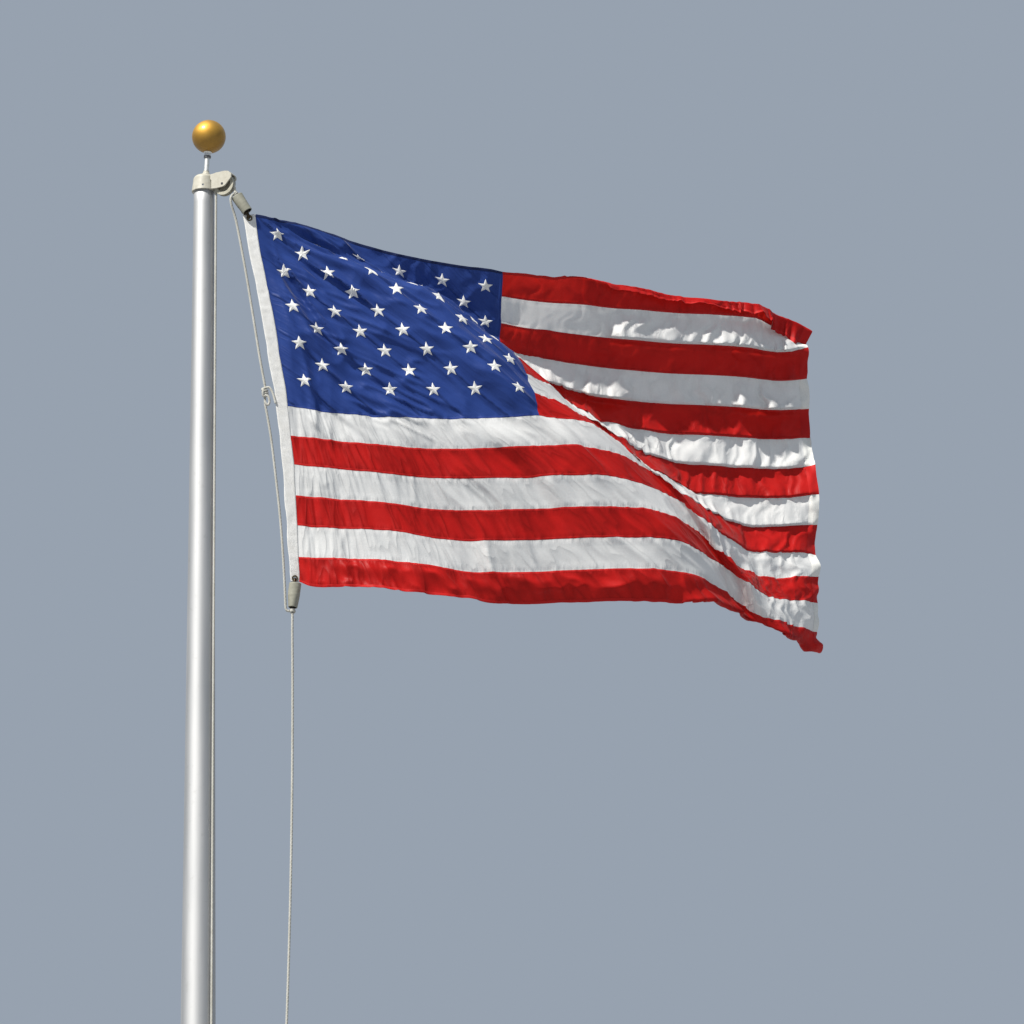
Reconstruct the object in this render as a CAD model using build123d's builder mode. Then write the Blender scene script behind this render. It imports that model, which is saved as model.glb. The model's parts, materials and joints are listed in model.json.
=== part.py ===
from build123d import *
import math
import os

# ---------------------------------------------------------------------------
# Ground-set tapered aluminium flagpole with an external halyard, one-sheave
# cap truck, ball finial, sleeved snap hooks, flag and cleat.
# Millimetres, +Z up, origin at the middle of the pole's foot.
# +X is the way the flag flies, -Y is the side that the flag is seen from.
# ---------------------------------------------------------------------------
os.makedirs("parts", exist_ok=True)

# --- driving dimensions ------------------------------------------------------
POLE_H = 7620.0          # exposed height of the tube (25 ft)
BUTT_R = 63.5            # 5 in. butt
TOP_R = 38.1             # 3 in. top
TAPER_L = 3353.0         # length of the cone-tapered part
WALL = 3.2

RIM_Z = 7582.0           # lower rim of the truck's cap
CAP_RIM_R = 46.3
CAP_TOP_R = 40.0
CAP_SHOULDER = 52.0      # above the rim
CAP_H = 68.0
CAP_BORE_R = 38.8

ARM_AZ = -25.0           # direction of the truck's arm in plan, degrees from +X
SHEAVE_U = 88.0          # sheave centre, out from the pole's axis
SHEAVE_H = 13.6          # and above the rim
SHEAVE_R = 41.4          # flange radius
SHEAVE_W = 20.0
ROPE_R = 4.75            # 3/8 in. halyard
ROPE_PITCH_R = 37.0      # rope's centre line round the sheave
SLOT_HALF = 15.0         # half the slot between the cheeks
CHEEK_T = 7.0
PIN_R = 4.75

BALL_R = 63.5            # 5 in. ball
BALL_C = (16.6, 0.0, 7803.0)   # the finial rod leans a little
ROD_BASE = (6.6, 0.0, 7646.0)

COVER_R = 22.0           # sleeve over each snap hook
COVER_T = 3.0
HEAD_T = 2.4             # canvas heading, folded thickness
CLOTH_T = 3.0            # stand-in thickness of the flag's cloth

CLEAT_AZ = -45.0
CLEAT_Z = 1400.0


def export(part, label):
    part.label = label
    export_step(part, f"parts/{label}.step")


def uvec(v):
    return Vector(*v).normalized()


arm_dir = Vector(math.cos(math.radians(ARM_AZ)), math.sin(math.radians(ARM_AZ)), 0)
arm_nrm = Vector(math.sin(math.radians(ARM_AZ)), -math.cos(math.radians(ARM_AZ)), 0)
arm_plane = Plane(origin=(0, 0, RIM_Z), x_dir=arm_dir, z_dir=arm_nrm)


def arm_pt(u, h, w=0.0):
    """point in the arm's own frame: u out, h above the rim, w towards the viewer"""
    return Vector(0, 0, RIM_Z + h) + arm_dir * u + arm_nrm * w


# --- pole --------------------------------------------------------------------
with BuildPart() as pole_shaft:
    with BuildSketch(Plane.XZ):
        with BuildLine():
            Polyline(
                (BUTT_R - WALL, 0), (BUTT_R, 0), (BUTT_R, POLE_H - TAPER_L),
                (TOP_R, POLE_H), (TOP_R - WALL, POLE_H),
                (BUTT_R - WALL, POLE_H - TAPER_L), close=True)
        make_face()
    revolve(axis=Axis.Z)
export(pole_shaft.part, "pole_shaft")

# spun flash collar over the foot of the pole
with BuildPart() as flash_collar:
    with BuildSketch(Plane.XZ):
        with BuildLine():
            a1 = Line((BUTT_R + 0.5, 78), (BUTT_R + 2.5, 78))
            a2 = Spline((BUTT_R + 2.5, 78), (BUTT_R + 9, 52), (BUTT_R + 34, 24), (152, 9),
                        tangents=[(0.05, -1), (1, -0.18)])
            a3 = Line((152, 9), (152.4, 0))
            a4 = Line((152.4, 0), (150.2, 0))
            a5 = Line((150.2, 0), (149.6, 7))
            a6 = Spline((149.6, 7), (BUTT_R + 32.4, 22), (BUTT_R + 7, 50.4), (BUTT_R + 0.5, 74),
                        tangents=[(-1, 0.18), (-0.05, 1)])
            a7 = Line((BUTT_R + 0.5, 74), (BUTT_R + 0.5, 78))
        make_face()
    revolve(axis=Axis.Z)
export(flash_collar.part, "flash_collar")

# --- truck -------------------------------------------------------------------
# the dome's crown is part of a sphere on the pole's axis
DOME_R = ((CAP_TOP_R - 17) ** 2 + 2.6 ** 2) / 5.2
DOME_MID = (11.5, RIM_Z + CAP_H - DOME_R + math.sqrt(DOME_R ** 2 - 11.5 ** 2))
with BuildPart() as truck_body:
    with BuildSketch(Plane.XZ):
        with BuildLine():
            Polyline((0, 38.2 + RIM_Z), (CAP_BORE_R, 38.2 + RIM_Z), (CAP_BORE_R, RIM_Z),
                     (CAP_RIM_R - 0.8, RIM_Z), (CAP_RIM_R, RIM_Z + 1.0),
                     (CAP_TOP_R, RIM_Z + CAP_SHOULDER))
            c1 = ThreePointArc((CAP_TOP_R, RIM_Z + CAP_SHOULDER),
                               (CAP_TOP_R - 5.5, RIM_Z + CAP_SHOULDER + 8.2),
                               (CAP_TOP_R - 17, RIM_Z + CAP_H - 2.6))
            c2 = ThreePointArc((CAP_TOP_R - 17, RIM_Z + CAP_H - 2.6), DOME_MID, (0, RIM_Z + CAP_H))
            Line((0, RIM_Z + CAP_H), (0, 38.2 + RIM_Z))
        make_face()
    revolve(axis=Axis.Z)
    # relief in the cap's skirt for the rope and the sheave
    with BuildSketch(arm_plane.offset(-SLOT_HALF)):
        with BuildLine():
            Polyline((41.5, -4), (41.5, 47), (60, 47), (60, -4), close=True)
        make_face()
    extrude(amount=2 * SLOT_HALF, mode=Mode.SUBTRACT)
    # two cheeks, one each side of the sheave
    for w0 in (SLOT_HALF, -SLOT_HALF - CHEEK_T):
        with BuildSketch(arm_plane.offset(w0)) as cheek:
            with BuildLine():
                Polyline((37.8, 57), (37.8, 39), (42.5, 35), (42.5, 1.2), (60, -0.5), (90, 1.5), (101, 6.5),
                         (126, 34), (126, 46), (110, 60), (98, 62.5), (70, 61), close=True)
            make_face()
            fillet([v for v in cheek.vertices() if v.X > 95], radius=6)
        extrude(amount=CHEEK_T)
    # web that ties the cheeks to the cap and to each other, over the top of the sheave
    with BuildSketch(arm_plane.offset(-SLOT_HALF - 1)):
        with BuildLine():
            Polyline((28, 43), (45, 43), (46.5, 51), (52, 57.5), (62, 60.4), (99, 60.4), (108.6, 58.2),
                     (121.5, 46.8), (124.3, 49.6), (110.6, 61.8), (99.5, 64), (58, 63.4), (50, 61), (28, 59.5), close=True)
        make_face()
    extrude(amount=2 * SLOT_HALF + 2)
    # pin hole through both cheeks
    with BuildSketch(arm_plane.offset(-30)):
        with Locations((SHEAVE_U, SHEAVE_H)):
            Circle(PIN_R + 0.02)
    extrude(amount=60, mode=Mode.SUBTRACT)
    # seats of the three set screws
    for az in (-92.0, 28.0, 148.0):
        d = Vector(math.cos(math.radians(az)), math.sin(math.radians(az)), 0)
        with BuildSketch(Plane(origin=Vector(0, 0, RIM_Z + 15) + d * 36, z_dir=d)):
            Circle(4.0)
        extrude(amount=14, mode=Mode.SUBTRACT)
export(truck_body.part, "truck_body")

with BuildPart() as truck_set_screws:
    for az in (-92.0, 28.0, 148.0):
        d = Vector(math.cos(math.radians(az)), math.sin(math.radians(az)), 0)
        with BuildSketch(Plane(origin=Vector(0, 0, RIM_Z + 15) + d * 38.45, z_dir=d)):
            Circle(3.95)
        extrude(amount=4.6)
        with BuildSketch(Plane(origin=Vector(0, 0, RIM_Z + 15) + d * 40.6, z_dir=d)):
            RegularPolygon(radius=2.3, side_count=6)
        extrude(amount=4, mode=Mode.SUBTRACT)
export(truck_set_screws.part, "truck_set_screws")

with BuildPart() as sheave:
    with BuildSketch(Plane(origin=arm_pt(SHEAVE_U, SHEAVE_H), x_dir=arm_nrm, z_dir=arm_nrm.cross(Vector(0, 0, 1)))):
        gr = ROPE_PITCH_R - ROPE_R - 0.4      # bottom of the groove
        hw = SHEAVE_W / 2
        with BuildLine():
            Polyline((-14, 4.8), (14, 4.8), (14, 9.5), (hw - 3.5, 10.5), (hw - 3.5, 26), (hw, 28.5),
                     (hw, SHEAVE_R - 1.2), (hw - 1.2, SHEAVE_R), (hw - 2.4, SHEAVE_R - 0.4))
            ThreePointArc((hw - 2.4, SHEAVE_R - 0.4), (0, gr), (-hw + 2.4, SHEAVE_R - 0.4))
            Polyline((-hw + 2.4, SHEAVE_R - 0.4), (-hw + 1.2, SHEAVE_R), (-hw, SHEAVE_R - 1.2), (-hw, 28.5),
                     (-hw + 3.5, 26), (-hw + 3.5, 10.5), (-14, 9.5), (-14, 4.8))
        make_face()
    revolve(axis=Axis(arm_pt(SHEAVE_U, SHEAVE_H), arm_nrm))
export(sheave.part, "sheave")

with BuildPart() as sheave_pin:
    pin_end = SLOT_HALF + CHEEK_T
    with BuildSketch(arm_plane.offset(-pin_end - 9)):
        with Locations((SHEAVE_U, SHEAVE_H)):
            Circle(PIN_R)
    extrude(amount=2 * pin_end + 9)
    # its near end stands a little proud of the cheek and has a centre mark
    with BuildSketch(arm_plane.offset(pin_end)):
        with Locations((SHEAVE_U, SHEAVE_H)):
            Circle(PIN_R)
    extrude(amount=0.8)
    with BuildSketch(arm_plane.offset(pin_end - 1.2)):
        with Locations((SHEAVE_U, SHEAVE_H)):
            Circle(1.6)
    extrude(amount=3, mode=Mode.SUBTRACT)
export(sheave_pin.part, "sheave_pin")

with BuildPart() as sheave_pin_nut:
    with BuildSketch(arm_plane.offset(-pin_end - 7.5)):
        with Locations((SHEAVE_U, SHEAVE_H)):
            RegularPolygon(radius=8.6, side_count=6)
            Circle(PIN_R + 0.02, mode=Mode.SUBTRACT)
    extrude(amount=7.5)
export(sheave_pin_nut.part, "sheave_pin_nut")

# --- finial ------------------------------------------------------------------
rod_dir = (Vector(*BALL_C) - Vector(*ROD_BASE)).normalized()
rod_len = (Vector(*BALL_C) - Vector(*ROD_BASE)).length
rod_plane = Plane(origin=ROD_BASE, x_dir=(rod_dir.Z, 0, -rod_dir.X), z_dir=rod_dir)
rod_axis = Axis(ROD_BASE, rod_dir)
rod_side = Plane(origin=ROD_BASE, x_dir=rod_plane.x_dir, z_dir=rod_plane.x_dir.cross(rod_dir))


def rod_part(label, points):
    with BuildPart() as turned:
        with BuildSketch(rod_side):
            with BuildLine():
                Polyline(*points, close=True)
            make_face()
        revolve(axis=rod_axis)
    if label:
        export(turned.part, label)
    return turned


ball_lo = rod_len - BALL_R
# conical base nut, seated on the dome of the cap
with BuildPart() as finial_boss:
    with BuildSketch(rod_side):
        with BuildLine():
            Polyline((9.05, -4), (19.5, -4), (19.5, 5), (14, 9), (11, 15), (10.8, 19), (9.05, 19), close=True)
        make_face()
    revolve(axis=rod_axis)
    with BuildSketch(Plane.XZ):
        with BuildLine():
            Polyline((0, RIM_Z + 40), (60, RIM_Z + 40), (60, RIM_Z + 45), (CAP_TOP_R, RIM_Z + CAP_SHOULDER))
            ThreePointArc((CAP_TOP_R, RIM_Z + CAP_SHOULDER),
                          (CAP_TOP_R - 5.5, RIM_Z + CAP_SHOULDER + 8.2),
                          (CAP_TOP_R - 17, RIM_Z + CAP_H - 2.6))
            ThreePointArc((CAP_TOP_R - 17, RIM_Z + CAP_H - 2.6), DOME_MID, (0, RIM_Z + CAP_H))
            Line((0, RIM_Z + CAP_H), (0, RIM_Z + 40))
        make_face()
    revolve(axis=Axis.Z, mode=Mode.SUBTRACT)
export(finial_boss.part, "finial_boss")

finial_spindle = rod_part("finial_spindle", [(0, 5.0), (9.0, 5.0), (9.0, ball_lo + 14), (0, ball_lo + 14)])
finial_lock_nut = rod_part("finial_lock_nut", [
    (9.05, ball_lo - 22), (12.6, ball_lo - 22), (13.6, ball_lo - 20.6),
    (13.6, ball_lo - 14.4), (12.6, ball_lo - 13), (9.05, ball_lo - 13)])
finial_collar = rod_part("finial_collar", [
    (9.05, ball_lo - 13), (11.6, ball_lo - 13), (12.2, ball_lo - 11),
    (12.2, ball_lo - 3), (15.5, ball_lo + 0.8), (15.2, ball_lo + 1.75), (9.05, ball_lo + 0.6)])

with BuildPart() as finial_ball:
    with BuildSketch(rod_side):
        with BuildLine():
            s0 = math.asin(9.05 / BALL_R)
            s1 = math.asin(9.05 / (BALL_R - 1.5))
            p_out = (9.05, rod_len - BALL_R * math.cos(s0))
            p_in = (9.05, rod_len - (BALL_R - 1.5) * math.cos(s1))
            ThreePointArc(p_out, (BALL_R, rod_len), (0, rod_len + BALL_R))
            Line((0, rod_len + BALL_R), (0, rod_len + BALL_R - 1.5))
            ThreePointArc((0, rod_len + BALL_R - 1.5), (BALL_R - 1.5, rod_len), p_in)
            Line(p_in, p_out)
        make_face()
    revolve(axis=rod_axis)
export(finial_ball.part, "finial_ball")


# --- halyard -----------------------------------------------------------------
def corner_radii(pts):
    """as large as each corner's two runs allow"""
    out = []
    for a, b, c in zip(pts, pts[1:], pts[2:]):
        va, vc = Vector(*b) - Vector(*a), Vector(*c) - Vector(*b)
        turn = math.radians(va.get_angle(vc))
        out.append(0.45 * min(va.length, vc.length) / math.tan(turn / 2))
    return out


def show_radii(label, radii):
    print(label, "bend radii mm:", " ".join(f"{r:.0f}" for r in radii))


def rope_part(label, pts, radius=ROPE_R):
    radii = corner_radii(pts)
    show_radii(label, radii)
    with BuildPart() as rope:
        with BuildLine() as path:
            FilletPolyline(*pts, radius=radii)
        spine = path.wires()[0]
        with BuildSketch(Plane(origin=spine @ 0, z_dir=spine % 0)):
            Circle(radius)
        sweep(path=spine)
    want = math.pi * radius ** 2 * spine.length
    print(f"   length {spine.length:.1f}  volume {rope.part.volume:.0f} of {want:.0f}")
    export(rope.part, label)
    return rope


rad_dir = Vector(math.cos(math.radians(CLEAT_AZ)), math.sin(math.radians(CLEAT_AZ)), 0)
tan_dir = Vector(-math.sin(math.radians(CLEAT_AZ)), math.cos(math.radians(CLEAT_AZ)), 0)


def cleat_pt(t, r, z):
    p = rad_dir * r + tan_dir * t + Vector(0, 0, CLEAT_Z + z)
    return (p.X, p.Y, p.Z)


# the hoisting side: straight up from the cleat, over the sheave, down to the top knot
fall_foot = Vector(*cleat_pt(-13, 92, 60))
p_up = arm_pt(SHEAVE_U - ROPE_PITCH_R, SHEAVE_H)
p_top = arm_pt(SHEAVE_U, SHEAVE_H + ROPE_PITCH_R)
th = math.radians(14)
p_off = arm_pt(SHEAVE_U + ROPE_PITCH_R * math.cos(th), SHEAVE_H + ROPE_PITCH_R * math.sin(th))
t_off = arm_dir * math.sin(th) - Vector(0, 0, 1) * math.cos(th)
p_bend = p_off + t_off * 16
TOP_KNOT = Vector(120.5, -47.0, 7557.6)
KNOT_R = 11.0
v_in = (p_bend - TOP_KNOT).normalized()
p_end = TOP_KNOT + v_in * KNOT_R
p_kink = p_up - Vector(0, 0, 250)
with BuildPart() as halyard_hoist_line:
    with BuildLine() as path:
        turn0 = math.radians((p_kink - fall_foot).get_angle(Vector(0, 0, 1)))
        FilletPolyline(fall_foot, p_kink, p_up, radius=0.45 * 250 / math.tan(turn0 / 2))
        ThreePointArc(p_up, p_top, p_off)
        turn1 = math.radians((p_bend - p_off).get_angle(p_end - p_bend))
        r1 = 0.45 * min((p_bend - p_off).length, (p_end - p_bend).length) / math.tan(turn1 / 2)
        FilletPolyline(p_off, p_bend, p_end, radius=r1)
    with BuildSketch(Plane(origin=path.wires()[0] @ 0, z_dir=path.wires()[0] % 0)):
        Circle(ROPE_R)
    sweep(path=path.wires()[0])
show_radii("halyard_hoist_line", [ROPE_PITCH_R, r1])
export(halyard_hoist_line.part, "halyard_hoist_line")

with BuildPart() as halyard_top_knot:
    with Locations(TOP_KNOT):
        Sphere(KNOT_R - 0.05)
export(halyard_top_knot.part, "halyard_top_knot")

SLACK_UPPER = [(111.6, -52.9, 7552.6), (102.4, -59.0, 7543.0), (105.0, -52.5, 7513.0), (117.8, -38.5, 7477.0),
               (128.5, -33.2, 7427.0), (142.8, -27.5, 7350.0), (162.2, -19.6, 7240.0), (176.8, -12.4, 7147.9),
               (196.1, -3.1, 7025.5), (212.0, 5.0, 6920.0), (229.4, 13.6, 6826.2)]
rope_part("halyard_slack_upper", SLACK_UPPER)

MID_KNOT = (230.0, 14.9, 6789.0)
with BuildPart() as halyard_middle_knot:
    with BuildSketch(Plane(origin=MID_KNOT, x_dir=(1, 0, 0), z_dir=(0, -1, 0))):
        with BuildLine():
            Polyline((0, 36.6), (7, 34), (12.5, 24), (15, 8), (15, -9), (12.5, -24), (7, -34), (0, -37.0), close=True)
        make_face()
    revolve(axis=Axis(MID_KNOT, (0, 0, 1)))
export(halyard_middle_knot.part, "halyard_middle_knot")

SLACK_LOWER = [(230.6, 16.2, 6751.6), (246.6, 24.0, 6668.1), (260.1, 31.8, 6564.1), (271.1, 39.4, 6464.1),
               (284.0, 48.6, 6346.0), (292.8, 56.9, 6233.1), (298.0, 62.8, 6145.5), (301.6, 68.6, 6075.7),
               (303.6, 73.0, 6022.0), (304.6, 76.5, 5989.0), (309.2, 78.2, 5975.5), (318.8, 78.4, 5975.9)]
rope_part("halyard_slack_lower", SLACK_LOWER)

BOT_KNOT = Vector(330.0, 78.5, 5977.0)
with BuildPart() as halyard_bottom_knot:
    with Locations(BOT_KNOT):
        Sphere(KNOT_R - 0.05)
export(halyard_bottom_knot.part, "halyard_bottom_knot")

# the down side: bowed a little down wind, back to the cleat
N_DOWN = 31
down_pts = [(329.9, 78.7, 5965.8), (329.5, 80.9, 5925.0), (329.3, 84.5, 5875.0)]
down_end = cleat_pt(24, 92, 75)
for i in range(N_DOWN + 1):
    s = i / N_DOWN
    z = 5810.0 + (down_end[2] - 5810.0) * s
    x = 330.0 + 19.5 * s + (down_end[0] - 349.5) * s * s
    y = 89.0 + 150.0 * s + (down_end[1] - 239.0) * s * s
    down_pts.append((round(x, 1), round(y, 1), round(z, 1)))
rope_part("halyard_down_line", down_pts)

HITCH = [(-13, 92, 60), (-13.05, 91.9, 22), (-14.4, 85, -10), (-4, 77.5, -36), (9, 79.5, -44), (17, 90, -34),
         (13.5, 102, -16), (0, 105.5, 2), (-14, 104.5, 20), (-24, 95, 37), (-18, 79.5, 46), (-5, 76, 49),
         (8, 78, 47), (18, 88, 38), (15, 105, 20), (1, 114.8, 2), (-13, 107, -18), (-19, 94, -38),
         (-11, 80.5, -58), (3, 77, -66), (15, 80, -60), (25, 87, -34), (27.5, 91, -4), (25, 92, 22),
         (19.6, 91.7, 47.4), (24, 92, 75)]
hitch_pts = [cleat_pt(*p) for p in HITCH]
rope_part("halyard_hitch", hitch_pts)

# --- heading line -------------------------------------------------------------
# hoist line, top to bottom: left and right edges of the canvas heading
HEAD_L = [(147.6, -33.0, 7477.6), (172.4, -29.3, 7324.8), (200.5, -22.5, 7183.3), (224.8, -13.7, 7042.3),
          (244.9, -3.3, 6906.6), (268.3, 8.5, 6774.3), (284.2, 21.6, 6634.6), (297.7, 35.7, 6486.2),
          (307.7, 51.0, 6334.8), (316.6, 67.2, 6182.9), (323.8, 80.0, 6087.8)]
HEAD_R = [(192.7, -29.1, 7481.6), (213.5, -25.4, 7325.3), (242.9, -18.6, 7183.1), (268.8, -9.8, 7043.8),
          (288.8, 0.6, 6908.1), (310.5, 12.4, 6773.8), (324.7, 25.4, 6632.5), (338.0, 39.6, 6484.6),
          (345.6, 54.9, 6333.6), (351.4, 71.1, 6179.4), (354.7, 83.9, 6087.6)]


def heading_spot(i0, i1, drop):
    """middle of the heading, drop mm in from its end i0, and its outward normal"""
    l0, l1 = Vector(*HEAD_L[i0]), Vector(*HEAD_L[i1])
    r0, r1 = Vector(*HEAD_R[i0]), Vector(*HEAD_R[i1])
    f = drop / (l1 - l0).length
    L, R = l0 + (l1 - l0) * f, r0 + (r1 - r0) * f
    down = ((l1 + r1) - (l0 + r0)).normalized()
    if i0 > i1:
        down = down * -1
    n = (R - L).cross(down).normalized() * -1
    return (L + R) * 0.5, n


TOP_G, HEAD_N_TOP = heading_spot(0, 1, 14.0)
BOT_G, HEAD_N_BOT = heading_spot(len(HEAD_L) - 1, len(HEAD_L) - 2, 13.0)
print("grommets", TOP_G, HEAD_N_TOP, BOT_G, HEAD_N_BOT)

# --- snap hooks in their sleeves ----------------------------------------------

def hook_part(label, G, knot, head_n):
    zp = (knot - G).normalized()
    reach = (knot - G).length - KNOT_R - 0.4
    n = (head_n - zp * head_n.dot(zp)).normalized()
    pl = Plane(origin=G, x_dir=n, z_dir=n.cross(zp))
    with BuildPart() as hook:
        with BuildLine(pl) as loop:
            FilletPolyline((-8, 1.8), (8, 1.8), (8, 40), (-8, 40), radius=7.9, close=True)
        ring = loop.wires()[0]
        with BuildSketch(Plane(origin=ring @ 0, z_dir=ring % 0)):
            Circle(2.5)
        sweep(path=ring)
        with BuildSketch(Plane(origin=G + zp * 39, z_dir=zp)):
            Circle(6.2)
        extrude(amount=22)
        with BuildSketch(Plane(origin=G + zp * 60, z_dir=zp)):
            Circle(4.0)
        extrude(amount=reach - 60 - 17)
        with Locations(Plane(origin=G + zp * (reach - 9.5), x_dir=zp, z_dir=n)):
            Torus(7.0, 2.5)
    export(hook.part, label)


hook_part("top_snap_hook", TOP_G, TOP_KNOT, HEAD_N_TOP)
hook_part("bottom_snap_hook", BOT_G, BOT_KNOT, HEAD_N_BOT)


def cover_part(label, A, B, r_a, r_b):
    A, B = Vector(*A), Vector(*B)
    d = (B - A).normalized()
    L = (B - A).length
    side = Plane(origin=A, x_dir=d.cross(Vector(0, 1, 0)).normalized(), z_dir=d)
    sec = Plane(origin=A, x_dir=side.x_dir, z_dir=side.x_dir.cross(d))
    with BuildPart() as cover:
        with BuildSketch(sec):
            with BuildLine():
                Polyline((r_a - COVER_T, 0), (r_a - 0.8, 0), (r_a, 1.0), (r_a, L * 0.5), (r_b, L - 1), (r_b - 0.8, L),
                         (r_b - COVER_T, L), (r_a - COVER_T, L * 0.5), close=True)
            make_face()
        revolve(axis=Axis(A, d))
    export(cover.part, label)


cover_part("top_snap_cover", (125.9, -46.0, 7549.2), (165.4, -38.6, 7486.6), COVER_R, 20.0)
cover_part("bottom_snap_cover", (339.5, 80.5, 6080.6), (330.9, 78.7, 5989.7), COVER_R, 17.2)

# --- flag ---------------------------------------------------------------------
def sheet_solid(front, t):
    """closed sheet of even thickness from a grid of points, triangle faced"""
    ni, nj = len(front), len(front[0])
    V = [[Vector(*p) for p in row] for row in front]

    def nrm(i, j):
        a = V[min(i + 1, ni - 1)][j] - V[max(i - 1, 0)][j]
        b = V[i][min(j + 1, nj - 1)] - V[i][max(j - 1, 0)]
        return a.cross(b).normalized()

    F = [[V[i][j] + nrm(i, j) * (t / 2) for j in range(nj)] for i in range(ni)]
    K = [[V[i][j] - nrm(i, j) * (t / 2) for j in range(nj)] for i in range(ni)]
    faces = []

    def tri(a, b, c):
        faces.append(Face(Wire.make_polygon([a, b, c], close=True)))

    for i in range(ni - 1):
        for j in range(nj - 1):
            tri(F[i][j], F[i + 1][j], F[i + 1][j + 1])
            tri(F[i][j], F[i + 1][j + 1], F[i][j + 1])
            tri(K[i][j], K[i + 1][j + 1], K[i + 1][j])
            tri(K[i][j], K[i][j + 1], K[i + 1][j + 1])
    for i in range(ni - 1):
        for j in (0, nj - 1):
            tri(F[i][j], F[i + 1][j], K[i + 1][j])
            tri(F[i][j], K[i + 1][j], K[i][j])
    for j in range(nj - 1):
        for i in (0, ni - 1):
            tri(F[i][j], F[i][j + 1], K[i][j + 1])
            tri(F[i][j], K[i][j + 1], K[i][j])
    return Solid(Shell(faces))


heading_grid = [[HEAD_L[i], HEAD_R[i]] for i in range(len(HEAD_L))]
heading_raw = sheet_solid(heading_grid, HEAD_T)
with BuildPart() as flag_heading:
    add(heading_raw)
    for G, n in ((TOP_G, HEAD_N_TOP), (BOT_G, HEAD_N_BOT)):
        with BuildSketch(Plane(origin=G - n * 12, z_dir=n)):
            Circle(7.4)
        extrude(amount=24, mode=Mode.SUBTRACT)
export(flag_heading.part, "flag_heading")


def grommet_part(label, G, n):
    with BuildPart() as ring:
        with BuildSketch(Plane(origin=G - n * 2.6, z_dir=n)):
            Circle(7.0)
            Circle(5.6, mode=Mode.SUBTRACT)
        extrude(amount=5.2)
        for w0 in (-3.2, 2.0):
            with BuildSketch(Plane(origin=G + n * w0, z_dir=n)):
                Circle(11.5)
                Circle(5.6, mode=Mode.SUBTRACT)
            extrude(amount=1.2)
    export(ring.part, label)


grommet_part("top_grommet", TOP_G, HEAD_N_TOP)
grommet_part("bottom_grommet", BOT_G, HEAD_N_BOT)

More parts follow.
